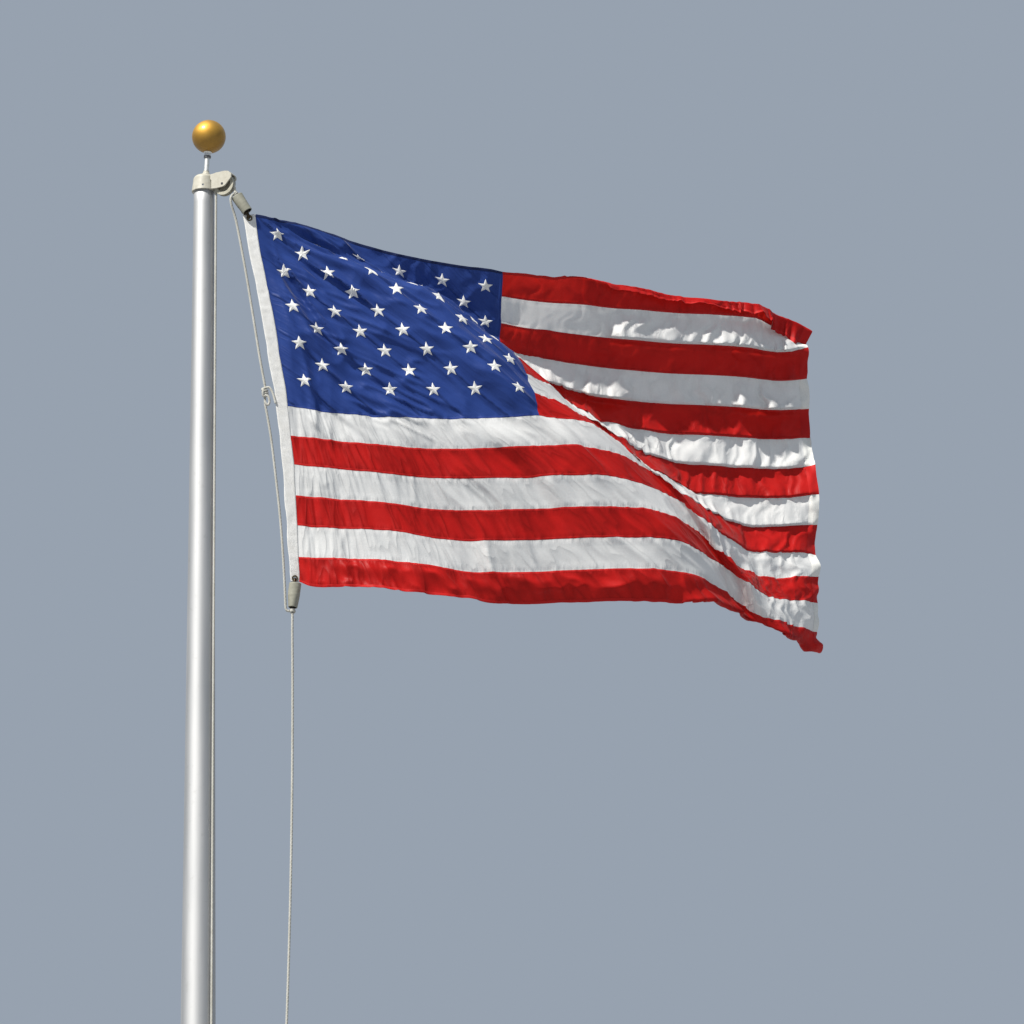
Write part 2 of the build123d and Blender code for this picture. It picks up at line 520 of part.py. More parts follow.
# cloth as it flies: one row down each seam between the stripes, from the heading to the fly.
# Its upper part leans away over a fold that runs from the hoist down to the lower fly corner.
CLOTH = [
    [(196, -28, 7481), (279, 12, 7472), (363, 52, 7459), (448, 88, 7444), (534, 119, 7426), (622, 143, 7407),
     (711, 160, 7387), (801, 169, 7370), (892, 177, 7353), (983, 182, 7339), (1071, 193, 7331), (1154, 224, 7328),
     (1233, 271, 7335), (1305, 328, 7345), (1375, 382, 7369), (1451, 433, 7380), (1531, 477, 7382), (1616, 510, 7392),
     (1701, 543, 7395), (1786, 578, 7398), (1870, 612, 7403), (1954, 648, 7409), (2037, 690, 7416), (2114, 739, 7417),
     (2187, 795, 7405), (2260, 847, 7381), (2333, 892, 7348)],
    [(211, -26, 7363), (295, 6, 7367), (383, 33, 7363), (469, 65, 7356), (552, 102, 7339), (632, 142, 7315),
     (713, 182, 7292), (799, 211, 7278), (889, 221, 7259), (979, 225, 7242), (1069, 236, 7236), (1148, 276, 7243),
     (1219, 329, 7250), (1291, 382, 7259), (1365, 430, 7269), (1444, 472, 7276), (1524, 510, 7276), (1608, 543, 7281),
     (1692, 576, 7283), (1776, 609, 7286), (1859, 640, 7291), (1941, 673, 7297), (2020, 710, 7304), (2093, 756, 7310),
     (2150, 822, 7305), (2201, 894, 7295), (2263, 955, 7278)],
    [(232, -22, 7254), (316, -0, 7259), (406, 18, 7258), (496, 33, 7259), (587, 48, 7264), (675, 74, 7260),
     (759, 110, 7246), (835, 154, 7217), (908, 202, 7185), (982, 248, 7155), (1070, 274, 7142), (1140, 319, 7150),
     (1205, 375, 7155), (1276, 425, 7164), (1352, 470, 7165), (1431, 509, 7166), (1513, 544, 7167), (1596, 576, 7170),
     (1679, 608, 7171), (1763, 639, 7173), (1845, 669, 7178), (1926, 700, 7184), (2005, 736, 7190), (2079, 781, 7196),
     (2147, 831, 7196), (2222, 872, 7202), (2304, 888, 7226)],
    [(252, -16, 7148), (339, 2, 7151), (426, 19, 7145), (514, 31, 7145), (606, 40, 7150), (695, 48, 7156),
     (784, 63, 7158), (871, 91, 7149), (948, 135, 7125), (1013, 191, 7091), (1073, 255, 7063), (1131, 324, 7050),
     (1191, 389, 7050), (1260, 444, 7053), (1335, 494, 7055), (1415, 535, 7055), (1498, 572, 7056), (1581, 606, 7057),
     (1665, 638, 7059), (1749, 669, 7061), (1832, 699, 7065), (1914, 729, 7071), (1994, 764, 7077), (2072, 806, 7082),
     (2147, 850, 7085), (2224, 889, 7095), (2296, 925, 7114)],
    [(272, -9, 7044), (359, 2, 7043), (444, 20, 7036), (535, 35, 7034), (625, 45, 7037), (714, 51, 7041),
     (803, 57, 7046), (892, 67, 7051), (981, 91, 7044), (1063, 130, 7029), (1128, 191, 7006), (1178, 264, 6983),
     (1221, 343, 6962), (1273, 417, 6949), (1340, 481, 6947), (1411, 538, 6942), (1488, 587, 6942), (1570, 629, 6944),
     (1653, 666, 6945), (1737, 698, 6948), (1821, 728, 6952), (1905, 759, 6958), (1987, 794, 6963), (2067, 833, 6968),
     (2144, 876, 6973), (2222, 916, 6984), (2295, 956, 6999)],
    [(287, -2, 6942), (374, 7, 6941), (461, 24, 6931), (550, 40, 6926), (641, 51, 6926), (732, 60, 6927),
     (819, 65, 6931), (907, 70, 6936), (997, 81, 6941), (1086, 103, 6939), (1167, 145, 6925), (1232, 207, 6911),
     (1284, 282, 6899), (1330, 359, 6876), (1383, 431, 6859), (1441, 502, 6844), (1501, 570, 6832), (1571, 629, 6829),
     (1649, 677, 6831), (1731, 718, 6834), (1814, 753, 6838), (1899, 786, 6844), (1982, 821, 6848), (2063, 859, 6853),
     (2144, 898, 6858), (2225, 934, 6869), (2305, 967, 6883)],
    [(305, 6, 6841), (390, 9, 6838), (475, 26, 6826), (563, 43, 6819), (654, 56, 6816), (745, 65, 6816),
     (836, 71, 6817), (923, 76, 6820), (1011, 82, 6826), (1101, 94, 6833), (1190, 118, 6834), (1265, 167, 6824),
     (1327, 235, 6814), (1385, 304, 6798), (1442, 374, 6783), (1498, 445, 6768), (1555, 516, 6753), (1609, 588, 6735),
     (1669, 656, 6724), (1738, 715, 6720), (1815, 765, 6721), (1897, 805, 6728), (1979, 843, 6733), (2063, 880, 6737),
     (2148, 914, 6743), (2234, 940, 6752), (2321, 953, 6767)],
    [(317, 16, 6743), (401, 25, 6731), (486, 34, 6720), (574, 45, 6713), (663, 56, 6708), (752, 67, 6704),
     (842, 76, 6703), (932, 84, 6703), (1022, 90, 6710), (1111, 103, 6717), (1198, 125, 6724), (1283, 157, 6729),
     (1369, 194, 6732), (1445, 247, 6730), (1504, 316, 6711), (1558, 388, 6693), (1607, 463, 6669), (1652, 540, 6643),
     (1712, 610, 6634), (1769, 681, 6619), (1831, 748, 6611), (1904, 805, 6612), (1982, 854, 6616), (2066, 893, 6621),
     (2153, 923, 6626), (2242, 944, 6638), (2333, 956, 6650)],
    [(328, 26, 6632), (412, 32, 6624), (498, 38, 6614), (585, 47, 6606), (672, 58, 6600), (760, 70, 6593),
     (849, 81, 6590), (938, 91, 6589), (1030, 99, 6594), (1120, 113, 6600), (1209, 132, 6608), (1297, 155, 6615),
     (1384, 183, 6619), (1467, 224, 6620), (1542, 277, 6616), (1607, 341, 6606), (1664, 411, 6590), (1719, 483, 6575),
     (1771, 557, 6556), (1825, 630, 6540), (1882, 701, 6528), (1939, 772, 6515), (1999, 841, 6505), (2072, 897, 6504),
     (2156, 932, 6515), (2241, 960, 6528), (2326, 991, 6538)],
    [(340, 36, 6523), (422, 35, 6512), (508, 42, 6505), (595, 52, 6498), (681, 64, 6490), (769, 76, 6484),
     (856, 88, 6479), (946, 98, 6478), (1036, 109, 6480), (1127, 121, 6485), (1217, 138, 6491), (1306, 156, 6498),
     (1395, 180, 6503), (1481, 212, 6507), (1562, 255, 6508), (1637, 308, 6504), (1705, 370, 6496), (1765, 439, 6484),
     (1819, 511, 6468), (1869, 586, 6450), (1919, 662, 6433), (1967, 738, 6415), (2020, 812, 6400), (2085, 876, 6398),
     (2163, 922, 6408), (2244, 963, 6420), (2323, 1009, 6425)],
    [(345, 47, 6408), (428, 44, 6399), (513, 52, 6391), (601, 61, 6387), (688, 72, 6380), (774, 86, 6372),
     (861, 101, 6365), (949, 113, 6362), (1040, 124, 6364), (1131, 135, 6369), (1222, 150, 6374), (1311, 166, 6381),
     (1401, 184, 6386), (1489, 208, 6390), (1575, 242, 6393), (1657, 284, 6395), (1731, 337, 6391), (1795, 403, 6381),
     (1848, 476, 6366), (1890, 555, 6344), (1939, 632, 6327), (1986, 709, 6308), (2039, 782, 6295), (2103, 848, 6293),
     (2178, 900, 6304), (2254, 944, 6319), (2328, 992, 6329)],
    [(351, 58, 6296), (432, 47, 6285), (519, 53, 6279), (607, 61, 6276), (696, 71, 6271), (781, 89, 6261),
     (866, 107, 6254), (954, 124, 6249), (1044, 138, 6249), (1135, 150, 6252), (1225, 163, 6257), (1315, 174, 6264),
     (1405, 189, 6269), (1495, 207, 6274), (1584, 232, 6278), (1669, 266, 6282), (1748, 313, 6280), (1817, 374, 6273),
     (1874, 444, 6260), (1930, 516, 6248), (1979, 592, 6231), (2032, 664, 6218), (2081, 738, 6204), (2135, 808, 6196),
     (2199, 869, 6204), (2263, 927, 6216), (2318, 994, 6223)],
    [(355, 70, 6179), (435, 46, 6170), (522, 47, 6167), (610, 55, 6163), (698, 67, 6157), (785, 84, 6149),
     (871, 107, 6142), (957, 131, 6134), (1046, 150, 6134), (1137, 167, 6136), (1227, 181, 6141), (1317, 190, 6148),
     (1408, 200, 6152), (1499, 213, 6157), (1589, 232, 6161), (1676, 258, 6165), (1759, 298, 6166), (1833, 352, 6163),
     (1888, 422, 6149), (1942, 496, 6136), (1988, 572, 6120), (2033, 647, 6103), (2095, 714, 6096), (2158, 779, 6097),
     (2215, 849, 6098), (2266, 923, 6102), (2309, 997, 6109)],
    [(357, 83, 6087), (432, 56, 6059), (519, 41, 6055), (609, 39, 6051), (697, 53, 6042), (786, 74, 6035),
     (874, 99, 6029), (962, 126, 6024), (1050, 155, 6020), (1138, 181, 6021), (1228, 203, 6025), (1319, 210, 6033),
     (1411, 213, 6036), (1503, 218, 6040), (1593, 230, 6044), (1680, 254, 6048), (1759, 294, 6049), (1830, 347, 6046),
     (1889, 410, 6035), (1939, 483, 6022), (1987, 560, 6007), (2038, 635, 5992), (2096, 706, 5983), (2157, 775, 5981),
     (2218, 844, 5985), (2273, 918, 5989), (2325, 994, 5993)],
]
flag_raw = sheet_solid(CLOTH, CLOTH_T)
with BuildPart() as flag_cloth:
    add(flag_raw)
export(flag_cloth.part, "flag_cloth")

# --- cleat ----------------------------------------------------------------------
cleat_plane = Plane(origin=(0, 0, CLEAT_Z), x_dir=rad_dir, z_dir=rad_dir.cross(Vector(0, 0, 1)))
with BuildPart() as cleat:
    with BuildSketch(cleat_plane.offset(-6)):
        with BuildLine():
            Polyline((60, -46), (69, -46), (73, -20), (88, -18), (91, -40), (97, -88), (104, -114), (110, -112),
                     (104.5, -70), (99, -25), (98.5, 25), (104.5, 70), (110, 112), (104, 114), (97, 88),
                     (91, 40), (88, 18), (73, 20), (69, 46), (60, 46), close=True)
        make_face()
    extrude(amount=12)
    with BuildSketch(cleat_plane.offset(-15)):
        with BuildLine():
            Polyline((60, -46), (69, -46), (70.5, -20), (70.5, 20), (69, 46), (60, 46), close=True)
        make_face()
    extrude(amount=30)
    with BuildSketch(Plane.XY.offset(CLEAT_Z - 60)):
        Circle(BUTT_R + 0.05)
    extrude(amount=120, mode=Mode.SUBTRACT)
    for z in (-34.0, 34.0):
        with BuildSketch(Plane(origin=rad_dir * 55 + Vector(0, 0, CLEAT_Z + z), z_dir=rad_dir)):
            Circle(3.3)
        extrude(amount=30, mode=Mode.SUBTRACT)
        with BuildSketch(Plane(origin=rad_dir * 68.4 + Vector(0, 0, CLEAT_Z + z), z_dir=rad_dir)):
            Circle(5.7)
        extrude(amount=8, mode=Mode.SUBTRACT)
export(cleat.part, "cleat")

with BuildPart() as cleat_screws:
    for z in (-34.0, 34.0):
        with BuildSketch(Plane(origin=rad_dir * (BUTT_R + 0.1) + Vector(0, 0, CLEAT_Z + z), z_dir=rad_dir)):
            Circle(3.25)
        extrude(amount=6)
        with BuildSketch(Plane(origin=rad_dir * 68.5 + Vector(0, 0, CLEAT_Z + z), z_dir=rad_dir)):
            Circle(5.5)
        extrude(amount=3)
export(cleat_screws.part, "cleat_screws")
print("done")
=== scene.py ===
import json
import math

import bmesh
import bpy
import numpy as np
from mathutils import Matrix, Vector


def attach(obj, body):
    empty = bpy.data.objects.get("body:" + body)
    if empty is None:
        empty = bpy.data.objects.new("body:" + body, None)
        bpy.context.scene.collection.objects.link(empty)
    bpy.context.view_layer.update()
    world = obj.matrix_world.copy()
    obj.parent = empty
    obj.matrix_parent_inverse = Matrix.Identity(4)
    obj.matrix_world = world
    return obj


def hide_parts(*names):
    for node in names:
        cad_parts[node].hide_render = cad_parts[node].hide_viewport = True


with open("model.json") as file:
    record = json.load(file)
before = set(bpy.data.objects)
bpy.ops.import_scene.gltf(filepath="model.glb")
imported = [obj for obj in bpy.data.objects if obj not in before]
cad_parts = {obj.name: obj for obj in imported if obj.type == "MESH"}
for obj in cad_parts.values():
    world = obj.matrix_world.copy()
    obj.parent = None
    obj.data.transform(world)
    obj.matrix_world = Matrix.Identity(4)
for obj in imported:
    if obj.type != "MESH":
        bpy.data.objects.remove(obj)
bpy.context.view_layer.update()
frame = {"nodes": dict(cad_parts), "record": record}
nodes = frame["nodes"]
scene = bpy.context.scene
scene.view_settings.view_transform = "Standard"
scene.view_settings.look = "None"

# ---------------------------------------------------------------------------
# camera: a long lens from eye height, 16.5 m in front of the pole
# ---------------------------------------------------------------------------
PITCH, ROLL = math.radians(15.9677), math.radians(-0.6790)
c_f = Vector((0, math.cos(PITCH), math.sin(PITCH)))
c_r = Vector((1, 0, 0))
c_u = c_r.cross(c_f)
r2 = c_r * math.cos(ROLL) + c_u * math.sin(ROLL)
u2 = -c_r * math.sin(ROLL) + c_u * math.cos(ROLL)
cam_data = bpy.data.cameras.new("camera")
cam_data.sensor_width = 36.0
cam_data.lens = 4671.6 * 36.0 / 1024.0
cam_data.clip_start = 0.5
cam_data.clip_end = 200.0
cam = bpy.data.objects.new("camera", cam_data)
m = Matrix.Identity(4)
for k, col in enumerate((r2, u2, -c_f)):
    for i in range(3):
        m[i][k] = col[i]
m.translation = Vector((1.1398, -16.5, 1.6))
cam.matrix_world = m
scene.collection.objects.link(cam)
scene.camera = cam


# ---------------------------------------------------------------------------
# mesh helpers
# ---------------------------------------------------------------------------
def make_obj(name, verts, faces, smooth=True, uv=None, mats=(), face_mats=None):
    me = bpy.data.meshes.new(name)
    me.from_pydata([tuple(float(x) for x in v) for v in verts], [], [tuple(int(i) for i in f) for f in faces])
    if smooth:
        me.polygons.foreach_set("use_smooth", [True] * len(me.polygons))
    if uv is not None:
        layer = me.uv_layers.new(name="OFBake")
        idx = np.empty(len(me.loops), dtype=np.int32)
        me.loops.foreach_get("vertex_index", idx)
        layer.data.foreach_set("uv", np.asarray(uv, dtype=np.float32)[idx].ravel())
    for mt in mats:
        me.materials.append(mt)
    if face_mats is not None:
        me.polygons.foreach_set("material_index", np.asarray(face_mats, dtype=np.int32))
    me.update()
    ob = bpy.data.objects.new(name, me)
    scene.collection.objects.link(ob)
    return ob


def grid_faces(nv, nu, base=0):
    i, j = np.meshgrid(np.arange(nv - 1), np.arange(nu - 1), indexing="ij")
    a = base + i * nu + j
    return np.stack([a, a + nu, a + nu + 1, a + 1], -1).reshape(-1, 4)


def lathe(name, profile, seg, axis_o=(0, 0, 0), axis_d=(0, 0, 1), closed=True, mats=(), uv_v=None):
    """turn a profile of (radius, height) about an axis"""
    d = Vector(axis_d).normalized()
    x = d.orthogonal().normalized()
    y = d.cross(x)
    o = Vector(axis_o)
    n = len(profile)
    verts, faces, uv = [], [], []
    for k in range(seg):
        a = 2 * math.pi * k / seg
        e = x * math.cos(a) + y * math.sin(a)
        for q, (r, h) in enumerate(profile):
            verts.append(o + e * r + d * h)
            uv.append((k / seg, q / max(1, n - 1)))
    m_ = n if closed else n - 1
    for k in range(seg):
        k2 = (k + 1) % seg
        for q in range(m_):
            q2 = (q + 1) % n
            faces.append((k * n + q, k2 * n + q, k2 * n + q2, k * n + q2))
    ob = make_obj(name, verts, faces, mats=mats)
    bm = bmesh.new()
    bm.from_mesh(ob.data)
    bmesh.ops.remove_doubles(bm, verts=bm.verts, dist=1e-6)
    bmesh.ops.recalc_face_normals(bm, faces=bm.faces)
    bm.to_mesh(ob.data)
    bm.free()
    return ob


def resample(P, step):
    P = np.asarray(P, float)
    keep = np.r_[True, np.linalg.norm(np.diff(P, axis=0), axis=1) > 1e-7]
    P = P[keep]
    s = np.r_[0, np.cumsum(np.linalg.norm(np.diff(P, axis=0), axis=1))]
    n = max(2, int(round(s[-1] / step)) + 1)
    t = np.linspace(0, s[-1], n)
    return np.stack([np.interp(t, s, P[:, k]) for k in range(3)], 1), t


def frames(P):
    T = np.gradient(P, axis=0)
    T /= np.linalg.norm(T, axis=1)[:, None]
    N = np.zeros_like(T)
    a = np.array([0.0, 0.0, 1.0]) if abs(T[0, 2]) < 0.9 else np.array([1.0, 0.0, 0.0])
    n = a - T[0] * (a @ T[0])
    N[0] = n / np.linalg.norm(n)
    for i in range(1, len(T)):
        n = N[i - 1] - T[i] * (N[i - 1] @ T[i])
        N[i] = n / np.linalg.norm(n)
    return T, N, np.cross(T, N)


def braid_tube(name, path, radius, sides=18, step=0.0016, lay=0.0135, amp=0.0005, mats=(), caps=True, n_wave=4):
    """a braided rope: a tube whose skin stands in the diamonds of a plait"""
    P, s = resample(path, step)
    T, N, B = frames(P)
    th = np.arange(sides) / sides * 2 * math.pi
    ph = 2 * math.pi * s[:, None] / lay
    h1 = np.cos(n_wave * th[None, :] + ph)
    h2 = np.cos(n_wave * th[None, :] - ph)
    rr = radius - amp * 0.9 + amp * np.maximum(h1, h2)
    V = P[:, None, :] + rr[:, :, None] * (np.cos(th)[None, :, None] * N[:, None, :] + np.sin(th)[None, :, None] * B[:, None, :])
    n = len(P)
    i, j = np.meshgrid(np.arange(n - 1), np.arange(sides), indexing="ij")
    j2 = (j + 1) % sides
    F = np.stack([i * sides + j, i * sides + j2, (i + 1) * sides + j2, (i + 1) * sides + j], -1).reshape(-1, 4).tolist()
    verts = V.reshape(-1, 3)
    if caps:
        verts = np.vstack([verts, P[0] - T[0] * radius * 0.35, P[-1] + T[-1] * radius * 0.35])
        c0, c1 = len(verts) - 2, len(verts) - 1
        for j in range(sides):
            F.append((c0, (j + 1) % sides, j))
            F.append((c1, (n - 1) * sides + j, (n - 1) * sides + (j + 1) % sides))
    return make_obj(name, verts, F, mats=mats), P


def nurbs_line(name, pts):
    """points read from a smooth spline with the route's points as its control points"""
    cu = bpy.data.curves.new(name + "_route", "CURVE")
    cu.dimensions = "3D"
    sp = cu.splines.new("NURBS")
    sp.points.add(len(pts) - 1)
    for p, q in zip(sp.points, pts):
        p.co = (q[0], q[1], q[2], 1.0)
    sp.order_u = 3
    sp.use_endpoint_u = True
    sp.resolution_u = 16
    ob = bpy.data.objects.new(name + "_route", cu)
    scene.collection.objects.link(ob)
    bpy.context.view_layer.update()
    me = bpy.data.meshes.new_from_object(ob)
    P = np.array([v.co[:] for v in me.vertices])
    bpy.data.meshes.remove(me)
    bpy.data.objects.remove(ob)
    bpy.data.curves.remove(cu)
    return P


# ---------------------------------------------------------------------------
# material helpers
# ---------------------------------------------------------------------------
def new_mat(name):
    mt = bpy.data.materials.new(name)
    mt.use_nodes = True
    nt = mt.node_tree
    b = nt.nodes["Principled BSDF"]
    return mt, nt, b


def node(nt, kind, **kw):
    n = nt.nodes.new(kind)
    for k, v in kw.items():
        if k.startswith("i_"):
            key = k[2:].replace("_", " ")
            n.inputs[key].default_value = v
        else:
            setattr(n, k, v)
    return n


def coords(nt, out="Object", scale=(1, 1, 1), rot=(0, 0, 0)):
    tc = node(nt, "ShaderNodeTexCoord")
    mp = node(nt, "ShaderNodeMapping")
    mp.inputs["Scale"].default_value = scale
    mp.inputs["Rotation"].default_value = rot
    nt.links.new(tc.outputs[out], mp.inputs["Vector"])
    return mp.outputs["Vector"]


def noise(nt, vec, scale, detail=4.0, rough=0.55, dist=0.0):
    n = node(nt, "ShaderNodeTexNoise")
    n.inputs["Scale"].default_value = scale
    n.inputs["Detail"].default_value = detail
    n.inputs["Roughness"].default_value = rough
    n.inputs["Distortion"].default_value = dist
    nt.links.new(vec, n.inputs["Vector"])
    return n.outputs["Fac"]


def ramp(nt, fac, stops, interp="LINEAR"):
    n = node(nt, "ShaderNodeValToRGB")
    n.color_ramp.interpolation = interp
    el = n.color_ramp.elements
    while len(el) > 1:
        el.remove(el[-1])
    for k, (p, c) in enumerate(stops):
        e = el[0] if k == 0 else el.new(p)
        e.position = p
        e.color = (c, c, c, 1) if isinstance(c, (int, float)) else (*c, 1)
    nt.links.new(fac, n.inputs["Fac"])
    return n.outputs["Color"]


def mixc(nt, fac, a, b, mode="MIX"):
    n = node(nt, "ShaderNodeMix", data_type="RGBA", blend_type=mode)
    for sock, v in ((n.inputs["Factor"], fac), (n.inputs["A"], a), (n.inputs["B"], b)):
        pass
    fs = [s for s in n.inputs if s.name == "Factor" and s.type == "VALUE"][0]
    as_ = [s for s in n.inputs if s.name == "A" and s.type == "RGBA"][0]
    bs = [s for s in n.inputs if s.name == "B" and s.type == "RGBA"][0]
    for sock, v in ((fs, fac), (as_, a), (bs, b)):
        if isinstance(v, (int, float)):
            sock.default_value = v
        elif isinstance(v, tuple):
            sock.default_value = (*v, 1)
        else:
            nt.links.new(v, sock)
    return [s for s in n.outputs if s.type == "RGBA"][0]


def math_(nt, op, a, b=None, clamp=False):
    n = node(nt, "ShaderNodeMath", operation=op, use_clamp=clamp)
    for k, v in enumerate((a, b)):
        if v is None:
            continue
        if isinstance(v, (int, float)):
            n.inputs[k].default_value = v
        else:
            nt.links.new(v, n.inputs[k])
    return n.outputs[0]


def bump(nt, height, strength, dist, chain=None):
    n = node(nt, "ShaderNodeBump")
    n.inputs["Strength"].default_value = strength
    n.inputs["Distance"].default_value = dist
    nt.links.new(height, n.inputs["Height"])
    if chain is not None:
        nt.links.new(chain, n.inputs["Normal"])
    return n.outputs["Normal"]


def setp(b, **kw):
    names = {"base": "Base Color", "metal": "Metallic", "rough": "Roughness", "spec": "Specular IOR Level",
             "coat": "Coat Weight", "coat_rough": "Coat Roughness", "sheen": "Sheen Weight",
             "sheen_rough": "Sheen Roughness", "aniso": "Anisotropic", "ior": "IOR"}
    for k, v in kw.items():
        s = b.inputs[names[k]]
        s.default_value = (*v, 1) if isinstance(v, tuple) else v


# --- metals ------------------------------------------------------------------
def m_pole():
    mt, nt, b = new_mat("pole_aluminium")
    setp(b, metal=1.0, aniso=0.18)
    b.inputs["Anisotropic Rotation"].default_value = 0.25
    v = coords(nt, scale=(1, 1, 1))
    fine = noise(nt, coords(nt, scale=(6, 6, 420)), 6.0, 3.0)       # sanding marks that run round the tube
    broad = noise(nt, coords(nt, scale=(9, 9, 0.9)), 2.2, 4.0)      # weathering that runs down it
    spots = noise(nt, v, 34.0, 5.0, 0.6)
    base = mixc(nt, ramp(nt, broad, [(0.3, 0.0), (0.7, 1.0)]), (0.47, 0.475, 0.48), (0.56, 0.56, 0.56))
    base = mixc(nt, ramp(nt, spots, [(0.60, 0.0), (0.74, 0.5)]), base, (0.42, 0.42, 0.41))
    nt.links.new(base, b.inputs["Base Color"])
    rr = mixc(nt, fine, (0.62, 0.62, 0.62), (0.68, 0.68, 0.68))
    rr = mixc(nt, ramp(nt, broad, [(0.35, 0.0), (0.8, 0.7)]), rr, (0.72, 0.72, 0.72))
    nt.links.new(rr, b.inputs["Roughness"])
    nt.links.new(bump(nt, fine, 0.10, 0.0004), b.inputs["Normal"])
    return mt


def m_spun():
    mt, nt, b = new_mat("spun_aluminium")
    setp(b, metal=1.0, aniso=0.4)
    v = coords(nt)
    n = node(nt, "ShaderNodeVectorMath", operation="LENGTH")
    sep = node(nt, "ShaderNodeSeparateXYZ")
    nt.links.new(v, sep.inputs[0])
    comb = node(nt, "ShaderNodeCombineXYZ")
    nt.links.new(sep.outputs[0], comb.inputs[0])
    nt.links.new(sep.outputs[1], comb.inputs[1])
    nt.links.new(comb.outputs[0], n.inputs[0])
    cv = node(nt, "ShaderNodeCombineXYZ")
    nt.links.new(n.outputs["Value"], cv.inputs[0])
    nt.links.new(sep.outputs[2], cv.inputs[2])
    rings = noise(nt, cv.outputs[0], 900.0, 2.0)
    sc = noise(nt, v, 40.0, 5.0)
    base = mixc(nt, ramp(nt, sc, [(0.4, 0.0), (0.75, 1.0)]), (0.62, 0.625, 0.63), (0.48, 0.48, 0.475))
    nt.links.new(base, b.inputs["Base Color"])
    nt.links.new(ramp(nt, rings, [(0.3, 0.26), (0.7, 0.42)]), b.inputs["Roughness"])
    nt.links.new(bump(nt, rings, 0.15, 0.0003), b.inputs["Normal"])
    return mt


def m_cast():
    mt, nt, b = new_mat("cast_metal")
    setp(b, rough=0.45, spec=0.5)
    v = coords(nt)
    n1 = noise(nt, v, 60.0, 6.0, 0.6)
    n2 = noise(nt, v, 420.0, 4.0, 0.6)
    n3 = noise(nt, v, 14.0, 4.0, 0.6)
    base = mixc(nt, ramp(nt, n1, [(0.40, 0.0), (0.68, 1.0)]), (0.46, 0.44, 0.37), (0.40, 0.375, 0.305))
    grime = math_(nt, "MULTIPLY", ramp(nt, n3, [(0.52, 0.0), (0.75, 1.0)]), ramp(nt, n1, [(0.45, 0.0), (0.7, 1.0)]))
    base = mixc(nt, math_(nt, "MULTIPLY", grime, 0.65), base, (0.17, 0.15, 0.11))
    # painted shade: the colour darkens in concave corners and recesses, where shade falls
    geo = node(nt, "ShaderNodeNewGeometry")
    recess_shade = ramp(nt, geo.outputs["Pointiness"], [(0.43, 1.0), (0.495, 0.0)])
    base = mixc(nt, math_(nt, "MULTIPLY", recess_shade, 0.6), base, (0.13, 0.115, 0.085))
    nt.links.new(base, b.inputs["Base Color"])
    nt.links.new(ramp(nt, n2, [(0.3, 0.38), (0.7, 0.56)]), b.inputs["Roughness"])
    nn = bump(nt, n2, 0.22, 0.0006)
    nt.links.new(bump(nt, n1, 0.12, 0.002, nn), b.inputs["Normal"])
    return mt


def m_steel(name="steel", col=(0.50, 0.50, 0.50), rust=0.25):
    mt, nt, b = new_mat(name)
    setp(b, metal=1.0)
    v = coords(nt)
    n1 = noise(nt, v, 300.0, 5.0, 0.6)
    n2 = noise(nt, v, 90.0, 5.0, 0.65)
    base = mixc(nt, ramp(nt, n2, [(0.5, 0.0), (0.72, rust)]), col, (0.20, 0.12, 0.07))
    nt.links.new(base, b.inputs["Base Color"])
    nt.links.new(ramp(nt, n1, [(0.3, 0.24), (0.7, 0.45)]), b.inputs["Roughness"])
    nt.links.new(bump(nt, n1, 0.08, 0.0004), b.inputs["Normal"])
    return mt


def m_rod():
    mt, nt, b = new_mat("rod_aluminium")
    setp(b, metal=1.0, aniso=0.3)
    v = coords(nt, scale=(1, 1, 40))
    n1 = noise(nt, v, 60.0, 3.0)
    n2 = noise(nt, coords(nt), 120.0, 5.0)
    base = mixc(nt, ramp(nt, n2, [(0.42, 0.0), (0.7, 1.0)]), (0.78, 0.78, 0.76), (0.60, 0.59, 0.55))
    nt.links.new(base, b.inputs["Base Color"])
    nt.links.new(ramp(nt, n1, [(0.3, 0.45), (0.7, 0.6)]), b.inputs["Roughness"])
    nt.links.new(bump(nt, n1, 0.10, 0.0004), b.inputs["Normal"])
    return mt


def m_gold():
    mt, nt, b = new_mat("gold_anodized")
    setp(b, metal=1.0, coat=0.60, coat_rough=0.27)
    v = coords(nt)
    n1 = noise(nt, v, 26.0, 5.0, 0.6)
    n2 = noise(nt, v, 240.0, 4.0, 0.6)
    base = mixc(nt, ramp(nt, n1, [(0.35, 0.0), (0.7, 1.0)]), (0.58, 0.335, 0.058), (0.46, 0.26, 0.038))
    base = mixc(nt, ramp(nt, n2, [(0.66, 0.0), (0.80, 0.55)]), base, (0.25, 0.15, 0.05))
    # painted shade: the gold is darker on its downward-facing side
    geo = node(nt, "ShaderNodeNewGeometry")
    sp = node(nt, "ShaderNodeSeparateXYZ")
    nt.links.new(geo.outputs["Normal"], sp.inputs[0])
    underside_shade = ramp(nt, math_(nt, "ADD", math_(nt, "MULTIPLY", sp.outputs[2], 0.5), 0.5), [(0.25, 1.0), (0.60, 0.0)])
    base = mixc(nt, math_(nt, "MULTIPLY", underside_shade, 0.55), base, (0.20, 0.105, 0.014))
    nt.links.new(base, b.inputs["Base Color"])
    nt.links.new(ramp(nt, n1, [(0.3, 0.58), (0.7, 0.68)]), b.inputs["Roughness"])
    nt.links.new(bump(nt, n2, 0.03, 0.0003), b.inputs["Normal"])
    return mt


